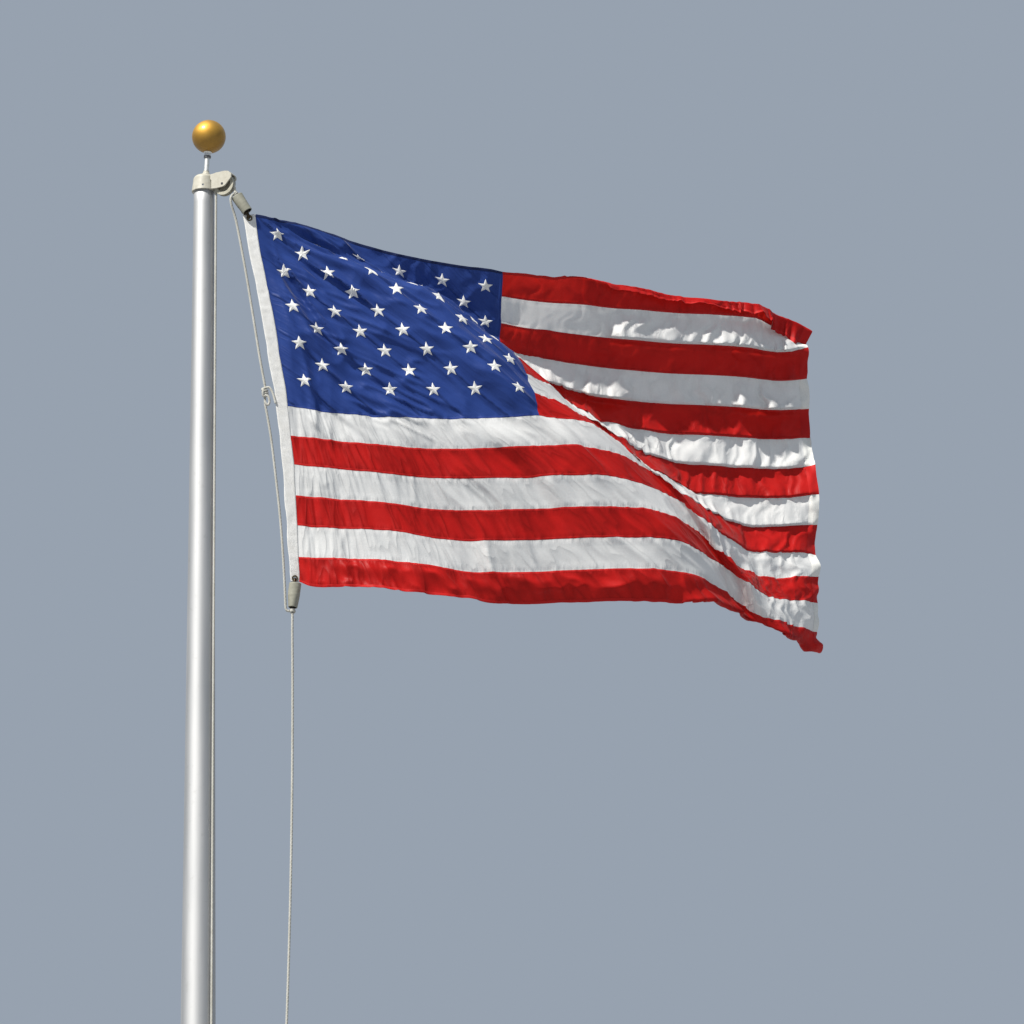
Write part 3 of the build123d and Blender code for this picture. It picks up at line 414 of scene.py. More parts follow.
def m_sheave():
    mt, nt, b = new_mat("sheave_nylon")
    setp(b, rough=0.5, spec=0.45)
    v = coords(nt)
    n1 = noise(nt, v, 110.0, 5.0, 0.6)
    base = mixc(nt, ramp(nt, n1, [(0.35, 0.0), (0.72, 1.0)]), (0.46, 0.44, 0.36), (0.27, 0.25, 0.185))
    geo = node(nt, "ShaderNodeNewGeometry")
    # painted shade: the colour darkens in concave corners and recesses, where shade falls
    recess_shade = ramp(nt, geo.outputs["Pointiness"], [(0.42, 1.0), (0.5, 0.0)])
    base = mixc(nt, math_(nt, "MULTIPLY", recess_shade, 0.8), base, (0.10, 0.09, 0.06))
    nt.links.new(base, b.inputs["Base Color"])
    nt.links.new(bump(nt, n1, 0.12, 0.0006), b.inputs["Normal"])
    return mt


def m_bronze(name="bronze", a=(0.060, 0.046, 0.030), c=(0.024, 0.021, 0.016), r0=0.30, r1=0.55):
    mt, nt, b = new_mat(name)
    setp(b, metal=1.0)
    v = coords(nt)
    n1 = noise(nt, v, 130.0, 6.0, 0.62)
    n2 = noise(nt, v, 420.0, 4.0, 0.6)
    base = mixc(nt, ramp(nt, n1, [(0.40, 0.0), (0.66, 1.0)]), a, c)
    nt.links.new(base, b.inputs["Base Color"])
    nt.links.new(ramp(nt, n1, [(0.3, r0), (0.7, r1)]), b.inputs["Roughness"])
    nt.links.new(bump(nt, n2, 0.12, 0.0005), b.inputs["Normal"])
    return mt


# --- soft materials ------------------------------------------------------------
def m_rope():
    mt, nt, b = new_mat("halyard")
    setp(b, rough=0.75, spec=0.25, sheen=0.25, sheen_rough=0.5)
    v = coords(nt)
    n1 = noise(nt, v, 55.0, 5.0, 0.6)
    n2 = noise(nt, v, 1500.0, 3.0, 0.6)
    n3 = noise(nt, v, 7.0, 3.0, 0.5)
    base = mixc(nt, ramp(nt, n1, [(0.35, 0.0), (0.7, 1.0)]), (0.47, 0.46, 0.42), (0.38, 0.37, 0.32))
    base = mixc(nt, ramp(nt, n3, [(0.45, 0.0), (0.8, 0.55)]), base, (0.32, 0.305, 0.26))
    geo = node(nt, "ShaderNodeNewGeometry")
    # painted shade: the colour darkens in the hollows of the braid, where shade falls
    recess_shade = ramp(nt, geo.outputs["Pointiness"], [(0.40, 1.0), (0.5, 0.0)])
    base = mixc(nt, math_(nt, "MULTIPLY", recess_shade, 0.55), base, (0.16, 0.15, 0.12))
    nt.links.new(base, b.inputs["Base Color"])
    nt.links.new(bump(nt, n2, 0.25, 0.0003), b.inputs["Normal"])
    return mt


def m_cover():
    mt, nt, b = new_mat("snap_cover")
    setp(b, rough=0.6, spec=0.35)
    v = coords(nt)
    n1 = noise(nt, v, 40.0, 6.0, 0.6)
    n2 = noise(nt, v, 600.0, 3.0, 0.6)
    base = mixc(nt, ramp(nt, n1, [(0.35, 0.0), (0.72, 1.0)]), (0.285, 0.28, 0.225), (0.215, 0.21, 0.165))
    nt.links.new(base, b.inputs["Base Color"])
    nt.links.new(ramp(nt, n1, [(0.3, 0.5), (0.7, 0.68)]), b.inputs["Roughness"])
    nt.links.new(bump(nt, n2, 0.15, 0.0005), b.inputs["Normal"])
    return mt


# painted shade: a near-black material for the inside of the snap covers' mouths, where shade falls
def m_inner_shade():
    mt, nt, b = new_mat("inner_painted_shade")
    setp(b, rough=0.8, spec=0.15)
    n1 = noise(nt, coords(nt), 60.0, 5.0, 0.6)
    base = mixc(nt, ramp(nt, n1, [(0.35, 0.0), (0.72, 1.0)]), (0.016, 0.015, 0.012), (0.030, 0.028, 0.022))
    nt.links.new(base, b.inputs["Base Color"])
    return mt


def uvmm(nt, mm):
    """the flat cloth's own coordinates in millimetres"""
    uv = node(nt, "ShaderNodeUVMap", uv_map="OFBake")
    sc = node(nt, "ShaderNodeVectorMath", operation="SCALE")
    sc.inputs["Scale"].default_value = mm
    nt.links.new(uv.outputs[0], sc.inputs[0])
    return sc.outputs[0]


def weave(nt, vec, pitch):
    """over-and-under threads"""
    sep = node(nt, "ShaderNodeSeparateXYZ")
    nt.links.new(vec, sep.inputs[0])
    k = 2 * math.pi / pitch
    a = math_(nt, "SINE", math_(nt, "MULTIPLY", sep.outputs[0], k))
    c = math_(nt, "SINE", math_(nt, "MULTIPLY", sep.outputs[1], k))
    return math_(nt, "MULTIPLY", a, c)


def creases(nt, vec, canton):
    """bump height, in mm, of the creases that are finer than the mesh; the cloth's own u and v in mm"""
    sep = node(nt, "ShaderNodeSeparateXYZ")
    nt.links.new(vec, sep.inputs[0])
    u = math_(nt, "SUBTRACT", sep.outputs[0], 60.0)
    v = math_(nt, "SUBTRACT", 1560.0, sep.outputs[1])

    def vecnoise(x, y, detail=2.0, rough=0.5, scale=1.0):
        cb = node(nt, "ShaderNodeCombineXYZ")
        nt.links.new(x, cb.inputs[0])
        nt.links.new(y, cb.inputs[1])
        return noise(nt, cb.outputs[0], scale, detail, rough)

    if canton:
        c = math_(nt, "DIVIDE", math_(nt, "SUBTRACT", u, 77.0), 82.0)
        r = math_(nt, "DIVIDE", math_(nt, "SUBTRACT", v, 73.0), 79.0)
        cr = math_(nt, "SUBTRACT", c, r)
        wob = vecnoise(math_(nt, "MULTIPLY", math_(nt, "ADD", c, r), 0.55), math_(nt, "MULTIPLY", cr, 0.3))
        q = math_(nt, "ADD", cr, math_(nt, "MULTIPLY", math_(nt, "SUBTRACT", wob, 0.5), 0.28))
        d = math_(nt, "PINGPONG", math_(nt, "ADD", q, 40.0), 1.0)
        line = ramp(nt, d, [(0.0, 1.0), (0.045, 0.75), (0.11, 0.0)])
        amp = vecnoise(math_(nt, "MULTIPLY", math_(nt, "ADD", c, r), 0.8), math_(nt, "MULTIPLY", math_(nt, "ROUND", math_(nt, "MULTIPLY", cr, 0.5)), 5.1))
        h = math_(nt, "MULTIPLY", line, ramp(nt, amp, [(0.36, 0.25), (0.60, 1.0)]))
        f = vecnoise(math_(nt, "MULTIPLY", q, 2.2), math_(nt, "MULTIPLY", math_(nt, "ADD", c, r), 0.28))
        f2 = ramp(nt, math_(nt, "ABSOLUTE", math_(nt, "SUBTRACT", f, 0.5)), [(0.0, 1.0), (0.07, 0.0)])
        h = math_(nt, "ADD", math_(nt, "MULTIPLY", h, 3.6), math_(nt, "MULTIPLY", f2, 0.7))
        return h
    th = math_(nt, "ARCTAN2", math_(nt, "ADD", v, 100.0), math_(nt, "ADD", u, 60.0))
    rad = node(nt, "ShaderNodeVectorMath", operation="LENGTH")
    cb = node(nt, "ShaderNodeCombineXYZ")
    nt.links.new(math_(nt, "ADD", u, 60.0), cb.inputs[0])
    nt.links.new(math_(nt, "ADD", v, 100.0), cb.inputs[1])
    nt.links.new(cb.outputs[0], rad.inputs[0])
    rr = math_(nt, "DIVIDE", rad.outputs["Value"], 300.0)
    a = vecnoise(math_(nt, "MULTIPLY", th, 24.0), rr, 2.0, 0.5)
    drag = ramp(nt, math_(nt, "ABSOLUTE", math_(nt, "SUBTRACT", a, 0.5)), [(0.0, 1.0), (0.035, 0.6), (0.12, 0.0)])
    # the far panel: crumpled facets
    vo = node(nt, "ShaderNodeTexVoronoi", feature="DISTANCE_TO_EDGE")
    vo.inputs["Scale"].default_value = 1.0
    vo.inputs["Randomness"].default_value = 1.0
    wv = vecnoise(math_(nt, "DIVIDE", u, 60.0), math_(nt, "DIVIDE", v, 60.0), 3.0)
    cb2 = node(nt, "ShaderNodeCombineXYZ")
    nt.links.new(math_(nt, "ADD", math_(nt, "DIVIDE", u, 58.0), wv), cb2.inputs[0])
    nt.links.new(math_(nt, "ADD", math_(nt, "DIVIDE", v, 92.0), wv), cb2.inputs[1])
    nt.links.new(cb2.outputs[0], vo.inputs["Vector"])
    facet = ramp(nt, vo.outputs["Distance"], [(0.0, 1.0), (0.20, 0.35), (0.5, 0.0)])
    patch = vecnoise(math_(nt, "DIVIDE", u, 170.0), math_(nt, "DIVIDE", v, 120.0), 2.0)
    facet = math_(nt, "MULTIPLY", facet, ramp(nt, patch, [(0.38, 0.15), (0.62, 1.0)]))
    fold = math_(nt, "ADD", math_(nt, "MULTIPLY", u, 1.173), -729.0)
    far = ramp(nt, math_(nt, "DIVIDE", math_(nt, "ADD", math_(nt, "SUBTRACT", fold, v), 200.0), 400.0, clamp=True), [(0.45, 0.0), (0.65, 1.0)])
    h = math_(nt, "ADD", math_(nt, "MULTIPLY", drag, math_(nt, "MULTIPLY", math_(nt, "SUBTRACT", 1.0, far), 3.4)),
              math_(nt, "MULTIPLY", facet, math_(nt, "MULTIPLY", far, 3.6)))
    # short puckers that stand across each seam
    s = math_(nt, "PINGPONG", v, 117.2308)
    s = math_(nt, "MINIMUM", s, math_(nt, "SUBTRACT", 117.2308, s))
    pk = vecnoise(math_(nt, "DIVIDE", u, 8.0), math_(nt, "DIVIDE", v, 40.0), 1.0)
    pk = math_(nt, "MULTIPLY", pk, ramp(nt, math_(nt, "DIVIDE", s, 40.0, clamp=True), [(0.0, 1.0), (0.75, 0.0)]))
    return math_(nt, "ADD", h, math_(nt, "MULTIPLY", pk, 2.4))


def m_nylon(name, col, dark, through=0.30, rough=0.50, glow=None, fine_amp=0.20, sheen=0.04, crease_shade=0.62):
    mt, nt, b = new_mat(name)
    setp(b, spec=0.15, sheen=sheen, sheen_rough=0.35)
    vec = uvmm(nt, 2600.0)
    w = weave(nt, vec, 0.9)
    n1 = noise(nt, vec, 0.012, 5.0, 0.55)
    n2 = noise(nt, vec, 0.16, 4.0, 0.55)
    base = mixc(nt, ramp(nt, n1, [(0.35, 0.0), (0.7, 1.0)]), col, dark)
    tone = ramp(nt, n2, [(0.25, 0.90), (0.75, 1.0)])
    base = mixc(nt, 1.0, base, tone, mode="MULTIPLY")
    cr = creases(nt, vec, "blue" in name)
    # painted shade: the colour darkens along the creases, in step with their height
    tone = ramp(nt, math_(nt, "MULTIPLY", cr, 0.25, clamp=True), [(0.0, 1.0), (1.0, crease_shade)])
    base = mixc(nt, 1.0, base, tone, mode="MULTIPLY")
    nt.links.new(base, b.inputs["Base Color"])
    nt.links.new(ramp(nt, n2, [(0.3, rough - 0.05), (0.7, rough + 0.09)]), b.inputs["Roughness"])
    nn = bump(nt, cr, 0.85, 0.001)
    nn = bump(nt, n2, fine_amp, 0.0016, nn)
    nn = bump(nt, w, 0.05, 0.00025, nn)
    nt.links.new(nn, b.inputs["Normal"])
    tr = node(nt, "ShaderNodeBsdfTranslucent")
    if glow is None:
        nt.links.new(base, tr.inputs["Color"])
    else:
        tr.inputs["Color"].default_value = (*glow, 1)
    mx = node(nt, "ShaderNodeMixShader")
    mx.inputs["Fac"].default_value = through
    nt.links.new(b.outputs[0], mx.inputs[1])
    nt.links.new(tr.outputs[0], mx.inputs[2])
    nt.links.new(mx.outputs[0], nt.nodes["Material Output"].inputs["Surface"])
    return mt


def m_stitched(name, col, rows, pitch=3.4, across=9.0):
    """folded seam tape with rows of lockstitch along it; U runs along it and V across it, both in mm/2600"""
    mt, nt, b = new_mat(name)
    setp(b, rough=0.6, spec=0.15, sheen=0.03)
    vec = uvmm(nt, 2600.0)
    sep = node(nt, "ShaderNodeSeparateXYZ")
    nt.links.new(vec, sep.inputs[0])
    dash = math_(nt, "SINE", math_(nt, "MULTIPLY", sep.outputs[0], 2 * math.pi / pitch))
    dash = ramp(nt, math_(nt, "ADD", math_(nt, "MULTIPLY", dash, 0.5), 0.5), [(0.18, 0.0), (0.45, 1.0)])
    near = None
    for r in rows:
        d = math_(nt, "ABSOLUTE", math_(nt, "SUBTRACT", sep.outputs[1], r))
        d = math_(nt, "SUBTRACT", 1.0, math_(nt, "DIVIDE", d, 0.9), clamp=True)
        near = d if near is None else math_(nt, "MAXIMUM", near, d)
    st = math_(nt, "MULTIPLY", dash, near)
    n1 = noise(nt, vec, 0.2, 4.0)
    base = mixc(nt, ramp(nt, n1, [(0.3, 0.0), (0.7, 1.0)]), col, tuple(c * 0.86 for c in col))
    base = mixc(nt, math_(nt, "MULTIPLY", near, 0.20), base, tuple(c * 0.7 for c in col))
    base = mixc(nt, math_(nt, "MULTIPLY", st, 0.35), base, tuple(min(1.0, c * 1.08 + 0.004) for c in col))
    nt.links.new(base, b.inputs["Base Color"])
    h = math_(nt, "SUBTRACT", math_(nt, "MULTIPLY", st, 1.2), math_(nt, "MULTIPLY", near, 0.8))
    nn = bump(nt, h, 0.5, 0.0006)
    nn = bump(nt, n1, 0.2, 0.001, nn)
    nt.links.new(nn, b.inputs["Normal"])
    return mt


def m_canvas():
    mt, nt, b = new_mat("canvas")
    setp(b, rough=0.8, spec=0.25, sheen=0.2, sheen_rough=0.5)
    vec = uvmm(nt, 2600.0)
    w = weave(nt, vec, 1.5)
    n1 = noise(nt, vec, 0.03, 5.0, 0.6)
    n2 = noise(nt, vec, 0.35, 4.0, 0.6)
    base = mixc(nt, ramp(nt, n1, [(0.35, 0.0), (0.72, 1.0)]), (0.70, 0.695, 0.68), (0.63, 0.62, 0.59))
    sep = node(nt, "ShaderNodeSeparateXYZ")
    nt.links.new(vec, sep.inputs[0])
    near = None
    for r in (10.0, 52.5, 46.5):
        d = math_(nt, "ABSOLUTE", math_(nt, "SUBTRACT", sep.outputs[0], r))
        d = math_(nt, "SUBTRACT", 1.0, math_(nt, "DIVIDE", d, 0.9), clamp=True)
        near = d if near is None else math_(nt, "MAXIMUM", near, d)
    dash = math_(nt, "SINE", math_(nt, "MULTIPLY", sep.outputs[1], 2 * math.pi / 3.6))
    dash = ramp(nt, math_(nt, "ADD", math_(nt, "MULTIPLY", dash, 0.5), 0.5), [(0.2, 0.0), (0.45, 1.0)])
    st = math_(nt, "MULTIPLY", dash, near)
    base = mixc(nt, math_(nt, "MULTIPLY", near, 0.35), base, (0.52, 0.50, 0.46))
    base = mixc(nt, math_(nt, "MULTIPLY", st, 0.8), base, (0.85, 0.84, 0.80))
    nt.links.new(base, b.inputs["Base Color"])
    nn = bump(nt, w, 0.35, 0.0004)
    nn = bump(nt, math_(nt, "SUBTRACT", math_(nt, "MULTIPLY", st, 1.2), math_(nt, "MULTIPLY", near, 0.9)), 0.6, 0.0008, nn)
    nn = bump(nt, n2, 0.25, 0.001, nn)
    nt.links.new(nn, b.inputs["Normal"])
    return mt


def m_thread():
    mt, nt, b = new_mat("star_embroidery")
    setp(b, rough=0.5, spec=0.35, sheen=0.3, sheen_rough=0.4)
    v = coords(nt)
    w = node(nt, "ShaderNodeTexWave", wave_type="BANDS", bands_direction="DIAGONAL")
    w.inputs["Scale"].default_value = 420.0
    w.inputs["Distortion"].default_value = 1.5
    nt.links.new(v, w.inputs["Vector"])
    n1 = noise(nt, v, 300.0, 3.0)
    base = mixc(nt, n1, (0.77, 0.765, 0.745), (0.66, 0.655, 0.63))
    nt.links.new(base, b.inputs["Base Color"])
    nt.links.new(bump(nt, w.outputs["Fac"], 0.3, 0.0004), b.inputs["Normal"])
    return mt


M = {
    "pole_aluminium": m_pole(), "spun_aluminium": m_spun(), "cast_metal": m_cast(), "steel": m_steel(),
    "rod_aluminium": m_rod(), "sheave_nylon": m_sheave(), "gold_anodized": m_gold(), "halyard": m_rope(),
    "bronze": m_bronze(), "snap_cover": m_cover(), "canvas": m_canvas(),
    "grommet_brass": m_bronze("grommet_brass", (0.17, 0.13, 0.07), (0.10, 0.078, 0.045), 0.34, 0.52),
}
NY_RED = m_nylon("nylon_red", (0.50, 0.0095, 0.008), (0.44, 0.007, 0.007), 0.24, glow=(0.75, 0.02, 0.012))
NY_WHITE = m_nylon("nylon_white", (0.75, 0.745, 0.73), (0.71, 0.71, 0.70), 0.26, glow=(0.84, 0.84, 0.83), crease_shade=0.86)
NY_BLUE = m_nylon("nylon_blue", (0.024, 0.055, 0.225), (0.019, 0.045, 0.195), 0.18, glow=(0.03, 0.08, 0.38), sheen=0.12, rough=0.44)
M_THREAD = m_thread()
M_INNER_SHADE = m_inner_shade()
M_NUT = m_steel("dark_steel", (0.16, 0.16, 0.165), 0.25)

slots = {s["node"]: s["material_slot"] for s in frame["record"]["subparts"]}


def repaint(name, bevel=None, angle=32):
    ob = nodes[name]
    me = ob.data
    me.materials.clear()
    me.materials.append(M[slots[name]])
    if bevel:
        bv = ob.modifiers.new("edge", "BEVEL")
        bv.width = bevel
        bv.segments = 2
        bv.limit_method = "ANGLE"
        bv.angle_limit = math.radians(angle)
    return ob


# ---------------------------------------------------------------------------
# halyard: the free lengths first
# ---------------------------------------------------------------------------
ROPE_R = 0.00475
SLACK_UPPER = [(0.1116, -0.0529, 7.5526), (0.1024, -0.059, 7.543), (0.105, -0.0525, 7.513), (0.1178, -0.0385, 7.477),
               (0.1285, -0.0332, 7.427), (0.1428, -0.0275, 7.35), (0.1622, -0.0196, 7.24), (0.1768, -0.0124, 7.1479),
               (0.1961, -0.0031, 7.0255), (0.212, 0.005, 6.92), (0.2294, 0.0136, 6.8262)]
SLACK_LOWER = [(0.2306, 0.0162, 6.7516), (0.2466, 0.024, 6.6681), (0.2601, 0.0318, 6.5641), (0.2711, 0.0394, 6.4641),
               (0.284, 0.0486, 6.346), (0.2928, 0.0569, 6.2331), (0.298, 0.0628, 6.1455), (0.3016, 0.0686, 6.0757),
               (0.3036, 0.073, 6.022), (0.3046, 0.0765, 5.989), (0.3092, 0.0782, 5.9755), (0.3188, 0.0784, 5.9759)]
DOWN = [(0.3299, 0.0787, 5.9658), (0.3295, 0.0809, 5.925), (0.3293, 0.0845, 5.875), (0.33, 0.089, 5.81),
        (0.3304, 0.0935, 5.6702), (0.3301, 0.0975, 5.5303), (0.3294, 0.1008, 5.3905), (0.3281, 0.1036, 5.2506),
        (0.3262, 0.1057, 5.1108), (0.3238, 0.1073, 4.971), (0.3208, 0.1082, 4.8311), (0.3172, 0.1086, 4.6913),
        (0.3131, 0.1084, 4.5515), (0.3085, 0.1075, 4.4116), (0.3032, 0.1061, 4.2718), (0.2975, 0.104, 4.1319),
        (0.2911, 0.1014, 3.9921), (0.2843, 0.0982, 3.8523), (0.2768, 0.0944, 3.7124), (0.2688, 0.0899, 3.5726),
        (0.2603, 0.0849, 3.4327), (0.2511, 0.0793, 3.2929), (0.2415, 0.0731, 3.1531), (0.2312, 0.0663, 3.0132),
        (0.2205, 0.0589, 2.8734), (0.2091, 0.0509, 2.7335), (0.1972, 0.0423, 2.5937), (0.1848, 0.0331, 2.4539),
        (0.1718, 0.0233, 2.314), (0.1582, 0.0129, 2.1742), (0.1441, 0.0019, 2.0344), (0.1294, -0.0097, 1.8945),
        (0.1142, -0.0219, 1.7547), (0.0984, -0.0347, 1.6148), (0.082, -0.0481, 1.475)]
HITCH = [(0.05586, -0.07425, 1.46), (0.05576, -0.07421, 1.422), (0.04992, -0.07029, 1.39), (0.05197, -0.05763, 1.364),
         (0.06258, -0.04985, 1.356), (0.07566, -0.05162, 1.366), (0.08167, -0.06258, 1.384), (0.0746, -0.0746, 1.402),
         (0.06399, -0.08379, 1.42), (0.0502, -0.08415, 1.437), (0.04349, -0.06894, 1.446), (0.0502, -0.05728, 1.449),
         (0.06081, -0.0495, 1.447), (0.07495, -0.0495, 1.438), (0.08485, -0.06364, 1.42), (0.08188, -0.08047, 1.402),
         (0.06647, -0.08485, 1.382), (0.05303, -0.0799, 1.362), (0.04914, -0.0647, 1.342), (0.05657, -0.05233, 1.334),
         (0.06718, -0.04596, 1.34), (0.0792, -0.04384, 1.366), (0.08379, -0.0449, 1.396), (0.08273, -0.04738, 1.422),
         (0.0787, -0.05098, 1.4474), (0.08202, -0.04808, 1.475)]
# the taut side: straight runs, and the arc that it makes in the sheave's groove
TAUT = [("line", (0.05586, -0.07425, 1.46000), (0.04622, -0.02155, 7.34560)),
        ("line", (0.04622, -0.02155, 7.34560), (0.04622, -0.02155, 7.59560)),
        ("arc", (0.07976, -0.03719, 7.59560), (-0.90631, 0.42262, -0.00000), (0.0, 0.0, 1.0), 0.037, 0.0, 2.89725),
        ("line", (0.11229, -0.05236, 7.60455), (0.11580, -0.05400, 7.58903)),
        ("line", (0.11580, -0.05400, 7.58903), (0.11891, -0.04937, 7.56822))]

MID_TAILS = [[(0.2294, 0.0136, 6.8262), (0.2302, 0.0144, 6.8080), (0.2296, 0.0152, 6.7700), (0.2306, 0.0162, 6.7516)],
             [(0.2330, 0.0090, 6.8130), (0.2440, 0.0060, 6.8180), (0.2560, 0.0060, 6.8020), (0.2640, 0.0070, 6.7780), (0.2700, 0.0075, 6.7530)],
             [(0.2300, 0.0060, 6.7830), (0.2400, 0.0040, 6.7840), (0.2480, 0.0050, 6.7660), (0.2460, 0.0060, 6.7480),
              (0.2370, 0.0055, 6.7450), (0.2300, 0.0060, 6.7600)]]
ROPES = []


def rope_cord(name, node_name, pts, end, stiffness="limp", with_pieces=()):
    line = nurbs_line(name, pts)
    ob, P = braid_tube(name, line, ROPE_R, mats=[M["halyard"]])
    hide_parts(node_name)
    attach(ob, "root")
    ROPES.append(ob)
    return ob, P


slack_up, P_su = rope_cord("rope_slack_upper", "halyard_slack_upper", SLACK_UPPER, "object")
slack_lo, P_sl = rope_cord("rope_slack_lower", "halyard_slack_lower", SLACK_LOWER, "object")
down, P_dn = rope_cord("rope_down_line", "halyard_down_line", DOWN, "object")
hitch, P_hi = rope_cord("rope_cleat_hitch", "halyard_hitch", HITCH, "object")

# the taut side: straight up the pole and over the sheave
taut = []
for seg in TAUT:
    if seg[0] == "line":
        a, c = Vector(seg[1]), Vector(seg[2])
        taut += [a.lerp(c, t / 8) for t in range(9)]
    else:
        _, ctr, e1, e2, rad, a0, a1 = seg
        ctr, e1, e2 = Vector(ctr), Vector(e1), Vector(e2)
        for t in range(33):
            a = a0 + (a1 - a0) * t / 32
            taut.append(ctr + e1 * (rad * math.cos(a)) + e2 * (rad * math.sin(a)))
hoist, P_ho = braid_tube("rope_hoist_line", [tuple(p) for p in taut], ROPE_R, sides=16, step=0.0020, mats=[M["halyard"]])
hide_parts("halyard_hoist_line")
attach(hoist, "root")


def knot(name, node_name, ctr, up, side, turns, coil_r, height, tails=()):
    """wraps of rope round its own standing part, with a crossing turn over them"""
    ctr, up, side = Vector(ctr), Vector(up).normalized(), Vector(side).normalized()
    side = (side - up * side.dot(up)).normalized()
    fwd = up.cross(side)
    pts = []
    n = int(turns * 24)
    for k in range(n + 1):
        t = k / n
        a = 2 * math.pi * turns * t
        r = coil_r * (1 + 0.10 * math.sin(3 * a))
        h = height * (t - 0.5)
        pts.append(ctr + side * (r * math.cos(a)) + fwd * (r * math.sin(a)) + up * h)
    # the crossing turn that locks them
    last = pts[-1]
    pts += [last.lerp(ctr + side * (coil_r * 1.5) + up * (height * 0.1), 0.5) + fwd * (coil_r * 0.7),
            ctr + side * (coil_r * 1.35) - up * (height * 0.25) + fwd * (coil_r * 0.9),
            ctr + side * (coil_r * 0.2) - up * (height * 0.5) + fwd * (coil_r * 1.2),
            ctr - side * (coil_r * 0.9) - up * (height * 0.62) + fwd * (coil_r * 0.3)]
    line = nurbs_line(name, [tuple(p) for p in pts])
    ob, _ = braid_tube(name, line, ROPE_R * 0.98, sides=14, step=0.0014, mats=[M["halyard"]])
    parts = [ob]
    for q, tail in enumerate(tails):
        tl = nurbs_line(f"{name}_tail{q}", tail)
        t_ob, _ = braid_tube(f"{name}_tail{q}", tl, ROPE_R * 0.95, sides=14, step=0.0014, mats=[M["halyard"]])
        parts.append(t_ob)
    bm = bmesh.new()
    for p in parts:
        bm.from_mesh(p.data)
    bm.to_mesh(ob.data)
    bm.free()
    for p in parts[1:]:
        bpy.data.objects.remove(p)
    ob.data.polygons.foreach_set("use_smooth", [True] * len(ob.data.polygons))
    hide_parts(node_name)
    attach(ob, "root")
    return ob


top_knot = knot("top_knot", "halyard_top_knot", (0.1205, -0.0470, 7.5576), (0.75, 0.1, -0.66), (0, 1, 0), 2.2, 0.0062, 0.011)
mid_knot = knot("middle_knot", "halyard_middle_knot", (0.2300, 0.0149, 6.7960), (0.12, 0.03, -1.0), (0.3, -1, 0), 3.2, 0.0088,
                0.030, tails=MID_TAILS)
bottom_knot = knot("bottom_knot", "halyard_bottom_knot", (0.3300, 0.0785, 5.9770), (0.05, 0.02, 1.0), (1, 0, 0), 2.2, 0.0062,
                   0.011)


# ---------------------------------------------------------------------------
# pole, truck, finial, cleat
# ---------------------------------------------------------------------------
POLE = [(0.0603, 0.0), (0.0635, 0.0), (0.0635, 0.001)]
for k in range(1, 41):
    POLE.append((0.0635, 4.267 * k / 40))
for k in range(1, 41):
    t = k / 40
    POLE.append((0.0635 - 0.0254 * t, 4.267 + 3.353 * t))
POLE += [(0.0349, 7.62), (0.0603, 4.267)]
pole = lathe("pole_tube", POLE, 128, mats=[M["pole_aluminium"]])
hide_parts("pole_shaft")
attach(pole, "root")

rod_o, rod_c = Vector((0.0066, 0, 7.646)), Vector((0.0166, 0, 7.803))
rod_d = (rod_c - rod_o).normalized()
R = 0.0635
prof = []
for k in range(0, 97):
    a = math.radians(-81.5 + (171.5) * k / 96)
    prof.append((max(0.0, R * math.cos(a)), R * math.sin(a)))
# the seam where the two spun halves meet
prof = [(r - (0.00022 if abs(h) < 0.0006 else 0.0), h) for r, h in prof]
prof += [(0.0, 0.062), (0.0093, -0.0606)]
ball = lathe("ball", prof, 128, axis_o=rod_c, axis_d=rod_d, mats=[M["gold_anodized"]])
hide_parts("finial_ball")
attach(ball, "root")

repaint("truck_body", 0.0014)
repaint("truck_set_screws", 0.0003)
repaint("sheave", 0.0004)
repaint("sheave_pin", 0.0004)
nodes["sheave_pin"].data.materials[0] = M_NUT
repaint("sheave_pin_nut", 0.0006)
repaint("finial_boss", 0.0005)
repaint("finial_spindle", 0.0004)
repaint("finial_lock_nut", 0.0004)
# the lock nut's dark steel is partly painted shade: the shade that the ball casts on it
nodes["finial_lock_nut"].data.materials[0] = M_NUT
repaint("finial_collar", 0.0004)
repaint("flash_collar", 0.0005)
repaint("top_grommet", 0.0004)
repaint("bottom_grommet", 0.0004)
repaint("cleat", 0.0022)
repaint("cleat_screws", 0.0005)


